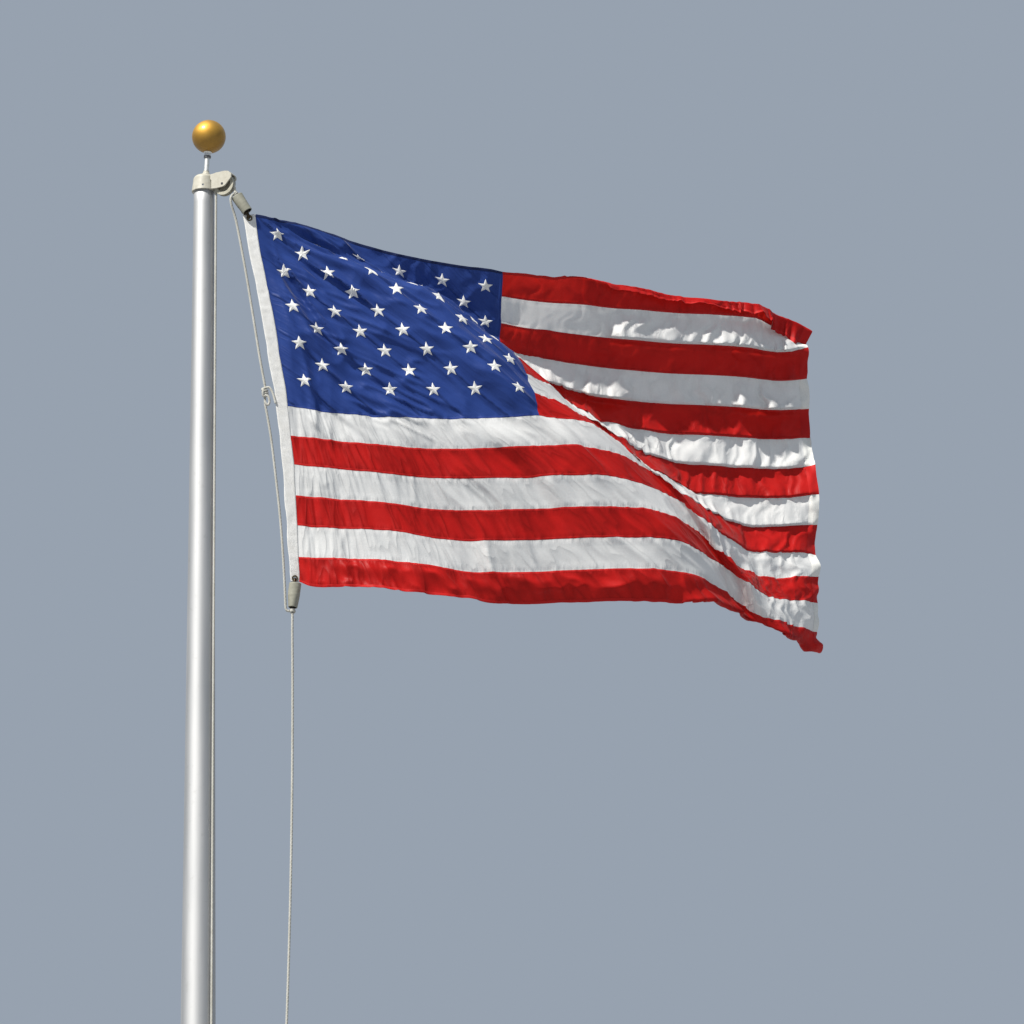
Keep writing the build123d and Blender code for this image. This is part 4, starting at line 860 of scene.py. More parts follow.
def sleeve(name, node_name, A, B, ra, rb, t=0.003, seed=1):
    """rubber sleeve over a snap hook: rolled ends, a moulding seam and shallow creases"""
    A, B = Vector(A), Vector(B)
    d = (B - A).normalized()
    L = (B - A).length
    x = d.orthogonal().normalized()
    y = d.cross(x)
    rng = np.random.default_rng(seed)
    prof = [(ra - t, 0.0002), (ra - t * 0.75, -0.0004), (ra - t * 0.3, -0.0004), (ra, 0.0006), (ra + 0.0001, 0.0022)]
    for k in range(1, 24):
        s = k / 24
        r = ra + (rb - ra) * max(0.0, (s - 0.5) * 2)
        prof.append((r - 0.0004 * math.sin(math.pi * s), 0.0022 + (L - 0.0044) * s))
    prof += [(rb + 0.0001, L - 0.0022), (rb, L - 0.0006), (rb - t * 0.3, L + 0.0004), (rb - t * 0.75, L + 0.0004),
             (rb - t, L - 0.0002), ((ra + rb) / 2 - t * 1.02, L * 0.66), (ra - t, L * 0.33)]
    seg = 72
    n = len(prof)
    ph = rng.uniform(0, 6.28, 8)
    verts, faces, fm = [], [], []
    for k in range(seg):
        a = 2 * math.pi * k / seg
        for q, (r, h) in enumerate(prof):
            s = h / L
            dent = 0.0007 * math.sin(2 * a + ph[0] + 3 * s) + 0.0004 * math.sin(3 * a + ph[1] - 5 * s)
            crease = 0.00010 * math.sin(40 * s + 2.2 * math.sin(a + ph[2])) * max(0, math.sin(math.pi * s))
            seam = 0.0005 * math.exp(-((a - 1.2) / 0.045) ** 2)
            rr = r + dent + crease + seam
            verts.append(A + d * h + (x * math.cos(a) + y * math.sin(a)) * rr)
    for k in range(seg):
        k2 = (k + 1) % seg
        for q in range(n):
            q2 = (q + 1) % n
            faces.append((k * n + q, k2 * n + q, k2 * n + q2, k * n + q2))
            # the last faces of the profile, inside the mouth, take the near-black painted shade
            fm.append(1 if q >= n - 3 else 0)
    ob = make_obj(name, verts, faces, mats=[M["snap_cover"], M_INNER_SHADE], face_mats=fm)
    bm = bmesh.new()
    bm.from_mesh(ob.data)
    bmesh.ops.recalc_face_normals(bm, faces=bm.faces)
    bm.to_mesh(ob.data)
    bm.free()
    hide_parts(node_name)
    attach(ob, "root")
    return ob


def cast_hook(name, node_name, G, knot_c, nrm, neck):
    """cast snap hook: an eye for the rope, a swivel and body inside the sleeve, and the hook through the grommet"""
    G, kn, nrm = Vector(G), Vector(knot_c), Vector(nrm)
    z = (kn - G).normalized()
    n = (nrm - z * nrm.dot(z)).normalized()
    c = n.cross(z)
    end = (kn - G).length - 0.0180
    pieces = []

    def rod(tag, pts, radii, sides=20):
        P, s = resample([tuple(p) for p in pts], 0.0008)
        T, N, B = frames(P)
        th = np.arange(sides) / sides * 2 * math.pi
        rr = np.interp(s / s[-1], np.linspace(0, 1, len(radii)), radii)
        V = P[:, None, :] + rr[:, None, None] * (np.cos(th)[None, :, None] * N[:, None, :] + np.sin(th)[None, :, None] * B[:, None, :])
        m = len(P)
        F = [(i * sides + j, i * sides + (j + 1) % sides, (i + 1) * sides + (j + 1) % sides, (i + 1) * sides + j)
             for i in range(m - 1) for j in range(sides)]
        F += [tuple(range(sides))[::-1], tuple((m - 1) * sides + j for j in range(sides))]
        pieces.append(make_obj(tag, V.reshape(-1, 3), F, mats=[M["bronze"]]))

    loop = [(-8.0, 34), (-8.6, 22), (-8.4, 12), (-6.6, 6.0), (-3.0, 2.6), (0, 2.0), (3.0, 2.6), (6.6, 6.0), (8.4, 12), (8.6, 22), (8.0, 34)]
    line = [G + n * (x / 1000) + z * (h / 1000) for x, h in loop]
    fine = [line[i].lerp(line[i + 1], q / 4) for i in range(len(line) - 1) for q in range(4)] + [line[-1]]
    rod(name + "_loop", fine, (0.0072, 0.0070, 0.0064, 0.0054, 0.0048, 0.0054, 0.0064, 0.0070, 0.0072))
    rod(name + "_body", [G + z * neck, G + z * (neck + 0.008), G + z * 0.052, G + z * 0.062],
        (0.0120, 0.0150, 0.0152, 0.0150, 0.0130, 0.0070), 32)
    rod(name + "_swivel", [G + z * 0.058, G + z * end], (0.0052, 0.0040), 24)
    ring = [G + z * (end + 0.0085 - 0.0070 * math.cos(q * math.pi / 16)) + c * (0.0070 * math.sin(q * math.pi / 16)) for q in range(33)]
    rod(name + "_eye", ring, (0.0025, 0.0025), 14)
    bm = bmesh.new()
    for p in pieces:
        bm.from_mesh(p.data)
    bmesh.ops.recalc_face_normals(bm, faces=bm.faces)
    bm.to_mesh(pieces[0].data)
    bm.free()
    for p in pieces[1:]:
        bpy.data.objects.remove(p)
    ob = pieces[0]
    ob.name = name
    ob.data.polygons.foreach_set("use_smooth", [True] * len(ob.data.polygons))
    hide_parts(node_name)
    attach(ob, "root")
    return ob


top_hook = cast_hook("top_hook", "top_snap_hook", (0.172211, -0.030716, 7.46563), (0.1205, -0.0470, 7.5576), (0.09, -0.99, 0.02), 0.0215)
bottom_hook = cast_hook("bottom_hook", "bottom_snap_hook", (0.338541, 0.080221, 6.10032), (0.3300, 0.0785, 5.9770), (0.09, -0.99, -0.02), 0.0235)
top_sleeve = sleeve("top_sleeve", "top_snap_cover", (0.1259, -0.0420, 7.5492), (0.1654, -0.0450, 7.4872), 0.0220, 0.0200, seed=3)
bottom_sleeve = sleeve("bottom_sleeve", "bottom_snap_cover", (0.3395, 0.0805, 6.0806), (0.3309, 0.0787, 5.9897), 0.0220, 0.0172, seed=9)


# ---------------------------------------------------------------------------
# flag: a net of points on the flown cloth, 46 mm apart along the fly and a
# third of a stripe apart down the hoist. Column 0 is the heading's outer edge.
# ---------------------------------------------------------------------------
NU, NV, K, KU = 54, 40, 6, 7          # the net, and how finely its rows and columns are divided
HOIST = 1.524
DU, DV = 0.046, HOIST / 39
W = HOIST / 13
CANTON = 0.966
STAR_U, STAR_DU, STAR_V, STAR_DV = 0.077, 0.082, 0.073, 0.079
FLY = 2.392
NET = np.array([
    1476, -330, 74776, 1941, -290, 74817, 2370, -99, 74768, 2786, 120, 74718, 3210, 319, 74661, 3630, 519, 74595, 4054, 709, 74525, 4481, 885, 74445, 4910, 1047, 74355,
    5344, 1192, 74262, 5784, 1317, 74174, 6223, 1431, 74073, 6665, 1525, 73969, 7113, 1596, 73873, 7564, 1646, 73784, 8015, 1694, 73698, 8466, 1737, 73613, 8919, 1772, 73534,
    9372, 1799, 73459, 9827, 1822, 73391, 10279, 1856, 73347, 10710, 1931, 73312, 11117, 2072, 73264, 11545, 2242, 73281, 11949, 2460, 73310, 12331, 2714, 73346, 12695, 2991, 73396,
    13046, 3283, 73452, 13396, 3557, 73571, 13755, 3819, 73693, 14127, 4079, 73768, 14512, 4329, 73804, 14904, 4564, 73811, 15310, 4771, 73820, 15732, 4941, 73873, 16160, 5100, 73917,
    16590, 5261, 73947, 17015, 5432, 73955, 17435, 5607, 73961, 17856, 5779, 73979, 18277, 5949, 74005, 18701, 6122, 74035, 19124, 6299, 74065, 19545, 6485, 74094, 19960, 6682, 74124,
    20367, 6896, 74156, 20762, 7134, 74174, 21144, 7394, 74169, 21513, 7669, 74129, 21871, 7950, 74046, 22230, 8220, 73939, 22595, 8473, 73812, 22961, 8709, 73656, 23331, 8920, 73481,
    1548, -325, 74395, 1984, -285, 74409, 2409, -73, 74415, 2831, 115, 74376, 3258, 294, 74324, 3681, 478, 74266, 4101, 669, 74199, 4518, 860, 74120, 4933, 1046, 74026,
    5351, 1219, 73922, 5777, 1374, 73824, 6212, 1508, 73737, 6650, 1624, 73638, 7093, 1717, 73538, 7544, 1785, 73455, 7997, 1835, 73377, 8450, 1875, 73287, 8902, 1913, 73199,
    9357, 1941, 73131, 9813, 1968, 73064, 10269, 2005, 73008, 10716, 2079, 72980, 11125, 2231, 72985, 11522, 2431, 73008, 11905, 2664, 73038, 12273, 2920, 73076, 12633, 3192, 73122,
    12992, 3470, 73180, 13355, 3733, 73266, 13724, 3982, 73355, 14101, 4223, 73419, 14487, 4454, 73451, 14880, 4674, 73458, 15290, 4876, 73466, 15714, 5049, 73509, 16139, 5211, 73547,
    16565, 5370, 73576, 16984, 5541, 73581, 17404, 5715, 73587, 17827, 5885, 73605, 18249, 6051, 73633, 18669, 6217, 73664, 19087, 6385, 73698, 19503, 6564, 73725, 19913, 6750, 73756,
    20311, 6942, 73798, 20692, 7178, 73816, 21056, 7450, 73815, 21399, 7747, 73786, 21723, 8059, 73721, 22052, 8365, 73635, 22403, 8648, 73541, 22761, 8906, 73410, 23117, 9144, 73242,
    1606, -317, 74011, 2033, -277, 74013, 2433, -64, 74039, 2864, 105, 74025, 3305, 253, 73985, 3740, 417, 73940, 4166, 598, 73887, 4583, 793, 73817, 4990, 998, 73722,
    5391, 1201, 73603, 5795, 1396, 73481, 6224, 1555, 73409, 6657, 1697, 73318, 7090, 1823, 73204, 7539, 1912, 73130, 7994, 1977, 73069, 8448, 2025, 72981, 8899, 2059, 72873,
    9356, 2084, 72809, 9813, 2108, 72743, 10271, 2145, 72677, 10726, 2217, 72651, 11113, 2383, 72698, 11499, 2602, 72725, 11869, 2851, 72754, 12228, 3114, 72792, 12585, 3383, 72837,
    12946, 3651, 72890, 13314, 3904, 72955, 13690, 4142, 73022, 14073, 4368, 73075, 14463, 4586, 73102, 14859, 4792, 73109, 15269, 4986, 73117, 15689, 5160, 73145, 16112, 5322, 73178,
    16533, 5483, 73202, 16953, 5651, 73207, 17374, 5821, 73214, 17797, 5988, 73233, 18217, 6150, 73259, 18633, 6310, 73289, 19047, 6472, 73324, 19459, 6645, 73351, 19864, 6825, 73379,
    20254, 7011, 73417, 20628, 7238, 73446, 20982, 7506, 73461, 21301, 7818, 73443, 21594, 8155, 73397, 21884, 8494, 73335, 22194, 8810, 73257, 22535, 9091, 73158, 22873, 9357, 73020,
    1661, -306, 73626, 2086, -266, 73628, 2513, -79, 73663, 2945, 57, 73670, 3387, 191, 73656, 3827, 331, 73627, 4262, 483, 73593, 4693, 649, 73557, 5115, 828, 73499,
    5522, 1020, 73391, 5921, 1220, 73270, 6320, 1423, 73149, 6720, 1625, 73032, 7127, 1816, 72921, 7550, 1985, 72837, 7993, 2105, 72779, 8443, 2172, 72700, 8891, 2214, 72594,
    9341, 2240, 72496, 9794, 2248, 72416, 10251, 2278, 72368, 10692, 2360, 72363, 11099, 2521, 72413, 11476, 2759, 72431, 11836, 3023, 72459, 12189, 3294, 72496, 12544, 3563, 72540,
    12905, 3822, 72588, 13276, 4067, 72638, 13655, 4296, 72688, 14042, 4511, 72731, 14437, 4716, 72757, 14835, 4914, 72756, 15244, 5100, 72762, 15660, 5272, 72782, 16079, 5434, 72808,
    16499, 5595, 72829, 16919, 5761, 72833, 17340, 5927, 72842, 17761, 6090, 72860, 18179, 6249, 72883, 18593, 6405, 72912, 19003, 6561, 72946, 19411, 6730, 72972, 19811, 6907, 73001,
    20197, 7095, 73039, 20570, 7314, 73067, 20926, 7563, 73104, 21229, 7880, 73092, 21505, 8222, 73055, 21761, 8579, 73010, 22007, 8943, 72948, 22331, 9248, 72903, 22633, 9552, 72778,
    1724, -293, 73248, 2148, -253, 73254, 2585, -92, 73297, 3026, 21, 73310, 3466, 132, 73316, 3912, 248, 73303, 4358, 369, 73284, 4804, 488, 73284, 5249, 611, 73312,
    5659, 798, 73203, 6064, 995, 73091, 6468, 1195, 72979, 6870, 1397, 72868, 7275, 1596, 72759, 7686, 1785, 72657, 8106, 1958, 72560, 8483, 2185, 72423, 8904, 2337, 72317,
    9349, 2382, 72202, 9798, 2404, 72098, 10242, 2417, 72064, 10677, 2496, 72061, 11084, 2661, 72098, 11453, 2909, 72127, 11803, 3185, 72155, 12150, 3462, 72191, 12502, 3730, 72234,
    12863, 3983, 72278, 13234, 4222, 72315, 13615, 4443, 72348, 14005, 4650, 72377, 14401, 4847, 72394, 14802, 5036, 72397, 15211, 5215, 72402, 15625, 5384, 72417, 16042, 5545, 72438,
    16461, 5705, 72455, 16881, 5869, 72459, 17302, 6032, 72468, 17721, 6191, 72484, 18137, 6347, 72507, 18548, 6500, 72536, 18956, 6654, 72568, 19360, 6819, 72595, 19758, 6994, 72623,
    20143, 7182, 72660, 20516, 7400, 72689, 20867, 7646, 72725, 21177, 7943, 72721, 21463, 8264, 72696, 21745, 8588, 72665, 22054, 8891, 72636, 22396, 9169, 72601, 22762, 9431, 72526,
    1796, -278, 72884, 2226, -238, 72894, 2654, -95, 72937, 3097, 4, 72950, 3543, 102, 72950, 3991, 198, 72946, 4441, 293, 72942, 4891, 384, 72952, 5340, 482, 72973,
    5784, 605, 72967, 6210, 771, 72906, 6622, 957, 72815, 7030, 1151, 72718, 7434, 1350, 72616, 7829, 1555, 72494, 8214, 1769, 72352, 8586, 1998, 72202, 8953, 2233, 72049,
    9343, 2438, 71914, 9787, 2524, 71826, 10242, 2552, 71764, 10687, 2618, 71744, 11069, 2795, 71787, 11429, 3054, 71816, 11767, 3338, 71842, 12105, 3618, 71877, 12454, 3883, 71920,
    12815, 4129, 71963, 13187, 4363, 71984, 13569, 4580, 72002, 13960, 4781, 72019, 14359, 4972, 72029, 14762, 5155, 72034, 15171, 5329, 72039, 15584, 5494, 72050, 16001, 5654, 72067,
    16419, 5813, 72081, 16838, 5974, 72085, 17259, 6135, 72094, 17677, 6292, 72109, 18091, 6445, 72131, 18501, 6596, 72159, 18907, 6748, 72191, 19310, 6909, 72218, 19707, 7084, 72246,
    20093, 7272, 72282, 20466, 7487, 72311, 20820, 7728, 72344, 21146, 8002, 72344, 21461, 8288, 72328, 21787, 8559, 72319, 22143, 8790, 72335, 22522, 8989, 72368, 22924, 9166, 72395,
    1874, -262, 72535, 2300, -222, 72533, 2725, -88, 72575, 3157, -1, 72590, 3607, 91, 72580, 4058, 176, 72576, 4510, 256, 72573, 4962, 330, 72586, 5415, 402, 72610,
    5868, 479, 72644, 6317, 580, 72660, 6748, 737, 72598, 7170, 914, 72530, 7586, 1102, 72459, 7977, 1316, 72330, 8348, 1544, 72171, 8717, 1778, 72012, 9083, 2016, 71854,
    9438, 2262, 71687, 9822, 2480, 71548, 10254, 2623, 71455, 10698, 2743, 71422, 11067, 2916, 71482, 11396, 3188, 71499, 11720, 3474, 71520, 12052, 3754, 71551, 12398, 4015, 71592,
    12761, 4253, 71642, 13132, 4487, 71642, 13515, 4702, 71649, 13909, 4901, 71658, 14309, 5088, 71664, 14715, 5267, 71668, 15125, 5438, 71673, 15539, 5602, 71682, 15955, 5761, 71696,
    16372, 5918, 71708, 16793, 6079, 71711, 17213, 6237, 71719, 17630, 6392, 71734, 18043, 6543, 71756, 18453, 6692, 71783, 18858, 6842, 71814, 19261, 7001, 71841, 19660, 7176, 71868,
    20049, 7365, 71903, 20424, 7576, 71932, 20785, 7809, 71962, 21130, 8061, 71964, 21474, 8315, 71959, 21835, 8543, 71968, 22223, 8717, 72019, 22633, 8810, 72134, 23041, 8879, 72257,
    1952, -244, 72189, 2367, -204, 72177, 2805, -70, 72214, 3238, 15, 72220, 3672, 98, 72209, 4116, 174, 72198, 4567, 243, 72199, 5021, 307, 72207, 5473, 365, 72226,
    5928, 423, 72264, 6380, 491, 72297, 6829, 589, 72298, 7268, 725, 72264, 7693, 893, 72204, 8100, 1089, 72114, 8485, 1309, 71985, 8848, 1544, 71824, 9194, 1793, 71649,
    9526, 2057, 71467, 9851, 2336, 71295, 10193, 2619, 71171, 10602, 2829, 71141, 11021, 3019, 71153, 11347, 3288, 71168, 11664, 3576, 71186, 11992, 3855, 71211, 12337, 4116, 71245,
    12698, 4358, 71276, 13071, 4589, 71284, 13456, 4805, 71288, 13852, 5005, 71293, 14255, 5192, 71297, 14663, 5371, 71300, 15076, 5541, 71304, 15490, 5706, 71312, 15907, 5865, 71323,
    16325, 6022, 71333, 16746, 6182, 71336, 17165, 6339, 71345, 17582, 6492, 71360, 17996, 6642, 71380, 18406, 6789, 71407, 18812, 6938, 71437, 19217, 7097, 71464, 19618, 7270, 71490,
    20010, 7458, 71525, 20389, 7666, 71552, 20758, 7891, 71580, 21119, 8127, 71585, 21483, 8358, 71588, 21861, 8563, 71611, 22253, 8730, 71674, 22646, 8869, 71778, 23027, 9001, 71883,
    2005, -225, 71833, 2442, -185, 71831, 2878, -61, 71862, 3315, 24, 71859, 3741, 108, 71834, 4178, 183, 71818, 4628, 246, 71820, 5079, 304, 71828, 5530, 359, 71839,
    5987, 401, 71878, 6438, 447, 71914, 6879, 505, 71943, 7330, 600, 71943, 7771, 730, 71905, 8200, 890, 71852, 8612, 1083, 71779, 8981, 1314, 71624, 9325, 1567, 71448,
    9651, 1840, 71268, 9966, 2129, 71093, 10280, 2434, 70947, 10605, 2747, 70852, 10970, 3027, 70827, 11297, 3321, 70830, 11613, 3618, 70839, 11938, 3905, 70858, 12280, 4174, 70884,
    12638, 4425, 70905, 13011, 4663, 70916, 13398, 4885, 70919, 13795, 5090, 70924, 14200, 5282, 70927, 14611, 5463, 70930, 15025, 5637, 70933, 15441, 5804, 70940, 15858, 5965, 70949,
    16277, 6124, 70959, 16698, 6284, 70961, 17118, 6441, 70970, 17535, 6593, 70985, 17950, 6741, 71005, 18361, 6887, 71031, 18769, 7036, 71060, 19176, 7195, 71087, 19579, 7366, 71113,
    19975, 7551, 71146, 20360, 7756, 71172, 20736, 7975, 71198, 21107, 8201, 71207, 21482, 8422, 71217, 21865, 8623, 71249, 22253, 8801, 71317, 22632, 8964, 71413, 22995, 9131, 71512,
    2070, -205, 71475, 2500, -165, 71482, 2946, -63, 71514, 3389, 17, 71509, 3823, 104, 71478, 4258, 187, 71451, 4698, 257, 71441, 5145, 313, 71450, 5598, 359, 71468,
    6055, 400, 71496, 6505, 436, 71529, 6950, 477, 71562, 7392, 538, 71580, 7841, 629, 71575, 8283, 752, 71546, 8712, 911, 71493, 9115, 1111, 71394, 9480, 1351, 71248,
    9812, 1622, 71081, 10127, 1913, 70911, 10432, 2222, 70757, 10733, 2548, 70632, 11037, 2885, 70547, 11311, 3238, 70505, 11599, 3575, 70494, 11912, 3887, 70501, 12246, 4175, 70517,
    12597, 4445, 70532, 12965, 4698, 70542, 13349, 4936, 70545, 13746, 5152, 70551, 14151, 5352, 70554, 14562, 5542, 70556, 14977, 5722, 70559, 15393, 5896, 70564, 15811, 6061, 70575,
    16230, 6223, 70584, 16651, 6385, 70586, 17071, 6541, 70596, 17489, 6693, 70610, 17905, 6840, 70629, 18319, 6986, 70655, 18729, 7135, 70683, 19139, 7293, 70709, 19545, 7463, 70735,
    19944, 7645, 70767, 20333, 7846, 70792, 20716, 8062, 70817, 21094, 8284, 70830, 21473, 8500, 70847, 21857, 8704, 70885, 22242, 8891, 70953, 22615, 9068, 71041, 22961, 9250, 71138,
    2132, -183, 71118, 2576, -143, 71135, 3014, -69, 71167, 3451, 0, 71168, 3891, 97, 71122, 4328, 188, 71088, 4772, 272, 71061, 5217, 328, 71072, 5667, 370, 71095,
    6123, 411, 71119, 6580, 447, 71146, 7019, 476, 71178, 7458, 517, 71202, 7897, 577, 71219, 8348, 669, 71213, 8792, 791, 71181, 9222, 947, 71121, 9628, 1144, 71026,
    9978, 1405, 70887, 10303, 1692, 70732, 10609, 2000, 70579, 10898, 2330, 70440, 11167, 2685, 70323, 11418, 3058, 70241, 11670, 3430, 70188, 11946, 3786, 70163, 12254, 4112, 70158,
    12590, 4410, 70164, 12947, 4687, 70172, 13323, 4943, 70177, 13714, 5179, 70178, 14114, 5398, 70178, 14522, 5602, 70178, 14934, 5793, 70182, 15349, 5975, 70189, 15766, 6149, 70199,
    16185, 6318, 70207, 16607, 6483, 70209, 17026, 6640, 70220, 17446, 6792, 70234, 17864, 6939, 70253, 18280, 7085, 70278, 18693, 7234, 70306, 19106, 7393, 70332, 19514, 7562, 70357,
    19917, 7743, 70387, 20311, 7941, 70412, 20697, 8153, 70436, 21079, 8371, 70453, 21462, 8586, 70476, 21847, 8792, 70518, 22231, 8987, 70584, 22613, 9173, 70667, 22998, 9355, 70756,
    2192, -161, 70767, 2643, -121, 70786, 3088, -59, 70803, 3521, 9, 70795, 3949, 98, 70760, 4387, 190, 70725, 4835, 273, 70706, 5288, 339, 70705, 5737, 389, 70720,
    6185, 428, 70744, 6636, 461, 70768, 7084, 489, 70793, 7524, 521, 70819, 7964, 563, 70842, 8410, 624, 70859, 8861, 714, 70853, 9303, 837, 70816, 9729, 1000, 70751,
    10124, 1216, 70656, 10477, 1483, 70532, 10795, 1786, 70394, 11086, 2115, 70257, 11349, 2471, 70132, 11585, 2851, 70025, 11812, 3239, 69935, 12049, 3622, 69866, 12320, 3986, 69824,
    12631, 4317, 69812, 12973, 4620, 69814, 13334, 4902, 69813, 13709, 5166, 69807, 14097, 5411, 69799, 14495, 5638, 69795, 14901, 5846, 69801, 15313, 6041, 69811, 15727, 6227, 69820,
    16144, 6405, 69828, 16565, 6576, 69831, 16985, 6736, 69843, 17407, 6889, 69858, 17827, 7037, 69876, 18245, 7183, 69901, 18660, 7333, 69929, 19075, 7493, 69954, 19487, 7661, 69979,
    19893, 7841, 70008, 20290, 8036, 70031, 20680, 8244, 70056, 21066, 8460, 70076, 21452, 8674, 70103, 21839, 8881, 70148, 22226, 9079, 70214, 22613, 9272, 70293, 23013, 9457, 70372,
    2248, -137, 70423, 2702, -97, 70439, 3151, -50, 70449, 3586, 17, 70434, 4006, 107, 70393, 4442, 201, 70360, 4895, 282, 70347, 5350, 353, 70343, 5807, 410, 70345,
    6250, 451, 70366, 6695, 483, 70389, 7143, 513, 70411, 7587, 540, 70434, 8025, 571, 70457, 8470, 614, 70485, 8918, 675, 70511, 9367, 777, 70487, 9806, 913, 70443,
    10230, 1084, 70377, 10626, 1303, 70289, 10968, 1591, 70182, 11277, 1910, 70061, 11553, 2259, 69943, 11780, 2642, 69826, 11995, 3034, 69718, 12212, 3427, 69618, 12441, 3816, 69528,
    12728, 4173, 69490, 13058, 4495, 69486, 13395, 4806, 69467, 13744, 5105, 69445, 14108, 5384, 69425, 14487, 5643, 69409, 14883, 5873, 69418, 15287, 6086, 69429, 15696, 6288, 69439,
    16109, 6479, 69446, 16528, 6662, 69451, 16949, 6826, 69464, 17372, 6980, 69481, 17794, 7131, 69498, 18213, 7279, 69523, 18630, 7431, 69551, 19048, 7591, 69576, 19462, 7759, 69601,
    19871, 7936, 69627, 20272, 8129, 69650, 20665, 8335, 69675, 21055, 8547, 69698, 21444, 8759, 69728, 21833, 8965, 69774, 22224, 9163, 69839, 22606, 9357, 69914, 22953, 9562, 69994,
    2306, -113, 70085, 2756, -73, 70102, 3206, -33, 70112, 3649, 31, 70095, 4077, 120, 70051, 4506, 216, 70009, 4946, 302, 69984, 5400, 372, 69979, 5857, 429, 69981,
    6313, 475, 69990, 6756, 511, 70008, 7198, 540, 70030, 7639, 566, 70050, 8080, 594, 70071, 8524, 626, 70099, 8972, 673, 70129, 9421, 748, 70137, 9868, 857, 70118,
    10303, 1001, 70072, 10719, 1187, 70007, 11103, 1429, 69924, 11444, 1722, 69826, 11744, 2057, 69726, 11979, 2437, 69615, 12197, 2829, 69511, 12414, 3222, 69408, 12643, 3609, 69311,
    12902, 3982, 69236, 13193, 4334, 69186, 13504, 4670, 69144, 13826, 4995, 69103, 14160, 5307, 69065, 14513, 5596, 69040, 14886, 5860, 69038, 15276, 6102, 69046, 15676, 6324, 69053,
    16084, 6531, 69062, 16499, 6723, 69073, 16920, 6899, 69087, 17342, 7063, 69101, 17765, 7219, 69118, 18185, 7371, 69144, 18604, 7524, 69172, 19023, 7685, 69197, 19440, 7852, 69221,
    19851, 8029, 69246, 20255, 8220, 69269, 20653, 8423, 69294, 21046, 8632, 69318, 21438, 8839, 69350, 21831, 9041, 69396, 22223, 9235, 69459, 22607, 9424, 69529, 22984, 9619, 69606,
    2366, -87, 69750, 2801, -47, 69762, 3257, -18, 69779, 3703, 36, 69772, 4132, 133, 69708, 4560, 231, 69658, 4995, 325, 69615, 5451, 391, 69613, 5908, 446, 69618,
    6365, 497, 69620, 6824, 541, 69627, 7257, 569, 69648, 7693, 596, 69667, 8130, 624, 69684, 8574, 649, 69712, 9021, 682, 69744, 9468, 738, 69767, 9916, 826, 69778,
    10361, 946, 69749, 10792, 1105, 69702, 11203, 1305, 69634, 11576, 1561, 69549, 11893, 1881, 69454, 12161, 2246, 69377, 12402, 2630, 69297, 12631, 3018, 69205, 12859, 3404, 69102,
    13101, 3783, 69003, 13368, 4148, 68920, 13656, 4500, 68854, 13955, 4844, 68794, 14259, 5182, 68732, 14577, 5506, 68683, 14923, 5804, 68668, 15291, 6078, 68667, 15676, 6328, 68667,
    16075, 6556, 68675, 16484, 6762, 68691, 16900, 6953, 68707, 17320, 7131, 68720, 17742, 7300, 68736, 18162, 7458, 68763, 18581, 7613, 68792, 19002, 7774, 68817, 19421, 7942, 68841,
    19834, 8119, 68865, 20241, 8309, 68886, 20642, 8508, 68912, 21040, 8712, 68937, 21437, 8914, 68968, 21835, 9108, 69013, 22232, 9293, 69073, 22626, 9474, 69142, 23023, 9655, 69217,
    2400, -60, 69409, 2843, -20, 69418, 3302, 12, 69425, 3745, 68, 69408, 4172, 150, 69358, 4606, 243, 69307, 5048, 329, 69272, 5502, 401, 69258, 5957, 461, 69256,
    6412, 514, 69256, 6867, 560, 69258, 7316, 597, 69267, 7752, 624, 69285, 8188, 647, 69306, 8626, 668, 69331, 9070, 697, 69358, 9517, 740, 69386, 9966, 805, 69410,
    10416, 900, 69414, 10856, 1034, 69388, 11277, 1213, 69332, 11668, 1446, 69255, 12021, 1725, 69151, 12315, 2075, 69113, 12583, 2445, 69058, 12841, 2821, 68992, 13065, 3206, 68878,
    13299, 3586, 68764, 13555, 3955, 68666, 13832, 4314, 68586, 14122, 4665, 68518, 14407, 5018, 68439, 14678, 5377, 68343, 15009, 5695, 68325, 15354, 6000, 68308, 15710, 6290, 68288,
    16092, 6546, 68291, 16491, 6771, 68312, 16898, 6982, 68326, 17310, 7181, 68337, 17726, 7368, 68350, 18145, 7535, 68379, 18564, 7693, 68409, 18985, 7857, 68435, 19405, 8027, 68460,
    19821, 8206, 68482, 20230, 8394, 68503, 20635, 8590, 68529, 21037, 8788, 68555, 21441, 8982, 68585, 21846, 9165, 68627, 22251, 9337, 68686, 22655, 9502, 68754, 23053, 9674, 68825,
    2449, -33, 69066, 2901, 7, 69081, 3351, 33, 69079, 3790, 88, 69053, 4211, 166, 69001, 4645, 254, 68953, 5097, 335, 68923, 5551, 409, 68905, 6007, 472, 68896,
    6459, 529, 68892, 6912, 578, 68891, 7368, 620, 68893, 7815, 651, 68904, 8249, 669, 68927, 8682, 689, 68948, 9115, 714, 68971, 9563, 749, 69000, 10013, 798, 69030,
    10460, 866, 69059, 10908, 971, 69067, 11340, 1125, 69019, 11749, 1329, 68957, 12123, 1588, 68886, 12440, 1919, 68834, 12724, 2278, 68783, 12987, 2649, 68712, 13237, 3024, 68616,
    13485, 3397, 68510, 13744, 3764, 68411, 14018, 4124, 68326, 14299, 4480, 68247, 14579, 4837, 68166, 14862, 5191, 68088, 15162, 5535, 68032, 15478, 5866, 67990, 15808, 6182, 67955,
    16158, 6475, 67938, 16530, 6740, 67941, 16917, 6981, 67948, 17315, 7204, 67954, 17722, 7407, 67966, 18137, 7591, 67993, 18553, 7761, 68025, 18973, 7933, 68052, 19393, 8108, 68077,
    19809, 8289, 68099, 20221, 8476, 68119, 20630, 8667, 68146, 21038, 8858, 68171, 21449, 9042, 68200, 21862, 9214, 68239, 22276, 9368, 68298, 22690, 9507, 68366, 23104, 9641, 68438,
